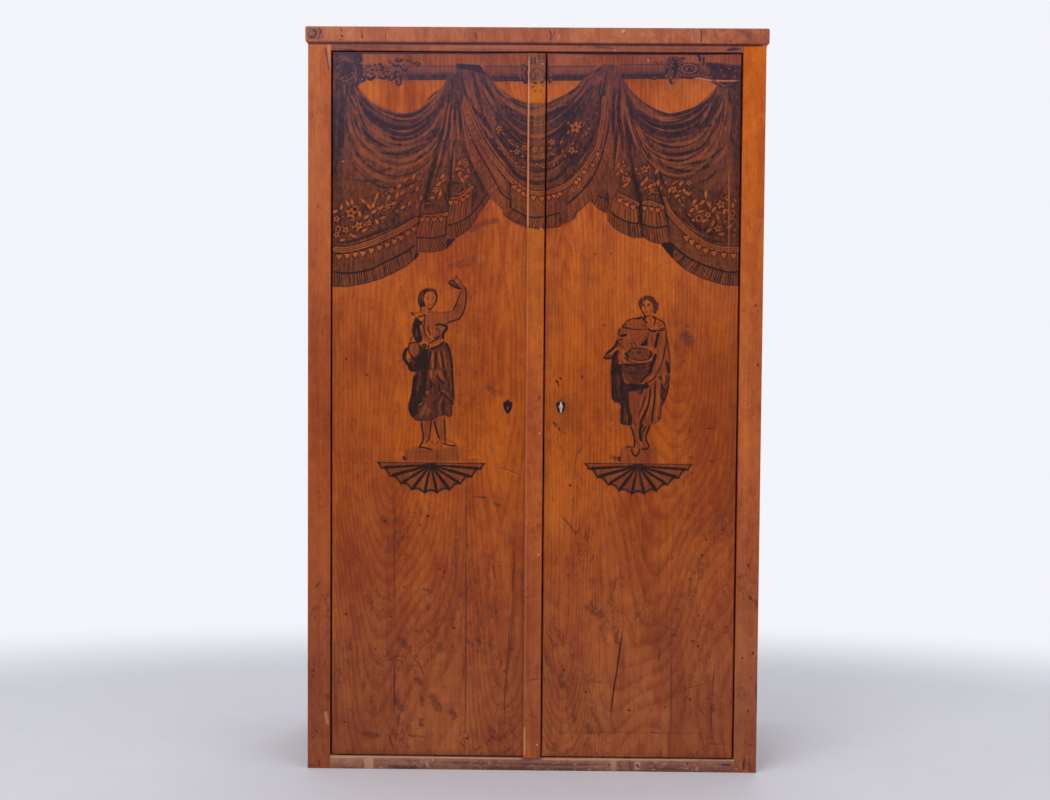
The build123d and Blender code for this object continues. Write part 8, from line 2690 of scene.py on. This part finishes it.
def frame_faces():
    """The marked faces of the stiles, the rails and the cap, told as the doors' are."""
    faces = []
    both = (frame_arris, frame_arris)
    between_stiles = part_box("stile_left")[1].x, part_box("stile_right")[0].x
    for node, x_radii, z_radii, inset, slot in (
            ("stile_left", both, square, 0, "frame_veneer"),
            ("stile_right", both, square, 0, "frame_veneer"),
            ("top_rail", square, (frame_arris, 0), 0, "frame_veneer"),
            ("bottom_rail", square, (0, frame_arris), 0, "frame_veneer"),
            ("cap_board", square, square, cap_arris, "cap_veneer")):
        low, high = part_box(node)
        if node.endswith("_rail"):
            low.x, high.x = between_stiles
        x_limits = (low.x + inset, high.x - inset)
        z_limits = (low.z + inset, high.z - inset)
        faces.append((node, x_limits, x_radii, z_limits, z_radii, low.y, "carcase", slot,
                      material_for(node)))
    return faces


def set_back(place, limits, radii):
    """How far a lifted sheet stands behind the face's plane near its rounded edges."""
    back = np.full_like(place, -wash_lift)
    for edge, sign, radius in ((limits[0], 1, radii[0]), (limits[1], -1, radii[1])):
        reach = np.clip(radius - sign * (place - edge), 0, radius)
        back = np.maximum(back, radius - np.sqrt((radius + wash_lift) ** 2 - reach ** 2))
    return back


def make_sheet(name, pen, age, cells, x, z, plane, face):
    """A thin sheet of the given raster cells that carries the strength of ink and stain."""
    tag, x_limits, x_radii, z_limits, z_radii, _, body, slot, material = face
    wide = np.clip(x, x_limits[0] + sheet_margin, x_limits[1] - sheet_margin)
    high = np.clip(z, z_limits[0] + sheet_margin, z_limits[1] - sheet_margin)
    used = np.zeros(pen.ink.shape, bool)
    for rows in (slice(None, -1), slice(1, None)):
        for columns in (slice(None, -1), slice(1, None)):
            used[rows, columns] |= cells
    number = np.cumsum(used).reshape(used.shape) - 1
    j, i = np.nonzero(cells)
    faces = np.column_stack([number[j + 1, i], number[j + 1, i + 1], number[j, i + 1], number[j, i]])
    back = np.maximum(set_back(wide, x_limits, x_radii), set_back(high, z_limits, z_radii))
    points = np.column_stack([wide[used], (plane + back)[used], high[used]])
    mesh = bpy.data.meshes.new(name)
    mesh.from_pydata(points, [], faces)
    for attribute, raster in (("ink", pen.ink), ("stain", age.ink)):
        data = mesh.attributes.new(attribute, "FLOAT", "POINT").data
        data.foreach_set("value", raster[used].astype(np.float32))
    low, span = points.min(0), np.ptp(points, 0)
    flat = ((points[:, (0, 2)] - low[[0, 2]]) / np.maximum(span[[0, 2]], 1 * mm))[faces.ravel()]
    mesh.uv_layers.new(name="OFBake").data.foreach_set("uv", flat.astype(np.float32).ravel())
    mesh.materials.append(material)
    sheet = bpy.data.objects.new(name, mesh)
    bpy.context.scene.collection.objects.link(sheet)
    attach(sheet, body)


def cell_corners(raster):
    """The values at the four corners of each cell of a raster."""
    return [raster[:-1, :-1], raster[:-1, 1:], raster[1:, :-1], raster[1:, 1:]]


def lay_ink(pen, age, faces):
    """Turn the painted rasters into sheets on the given faces."""
    marked = (np.abs(pen.ink) > ink_least) | (age.ink > ink_least)
    cells = np.logical_or.reduce(cell_corners(marked))
    px, py = np.meshgrid(pen.xs, pen.ys)
    middle_x, middle_y = px[:-1, :-1] + pen_step / 2, py[:-1, :-1] + pen_step / 2
    for face in faces:
        tag, x_limits, _, z_limits, _, plane = face[:6]
        x, z = on_plane(px, py, plane)
        here = cells.copy()
        for place, limits in ((x, x_limits), (z, z_limits)):
            corners = cell_corners(place)
            here &= np.maximum.reduce(corners) > limits[0]
            here &= np.minimum.reduce(corners) < limits[1]
        if tag not in ("left", "right"):
            make_sheet(tag + "_ink", pen, age, here, x, z, plane, face)
            continue
        for kind, left, top, right, bottom in ink_sheets:
            part = here & (middle_x > left) & (middle_x < right) & (middle_y > top) & (middle_y < bottom)
            here &= ~part
            if part.any():
                make_sheet(kind + "_" + tag, pen, age, part, x, z, plane, face)


def paint_ornament():
    """All the penwork, wear and painted shadow, in the order in which it overlaps."""
    pen, age, frame_pen = Penwork(), Penwork(), Penwork()
    for paint in (paint_rings, paint_rod, paint_grounds, paint_left_swag, paint_right_swag,
                  paint_left_tails, paint_right_tails, paint_middle_swag, paint_gathers,
                  paint_left_mount, paint_right_mount, paint_strip, paint_woman, paint_man, paint_fans,
                  paint_wear_and_painted_shade):
        paint(pen)
    paint_stains(age)
    lay_ink(pen, age, door_faces())
    paint_frame(frame_pen)
    lay_ink(frame_pen, Penwork(), frame_faces())


dress_frame()
paint_ornament()
make_studio()
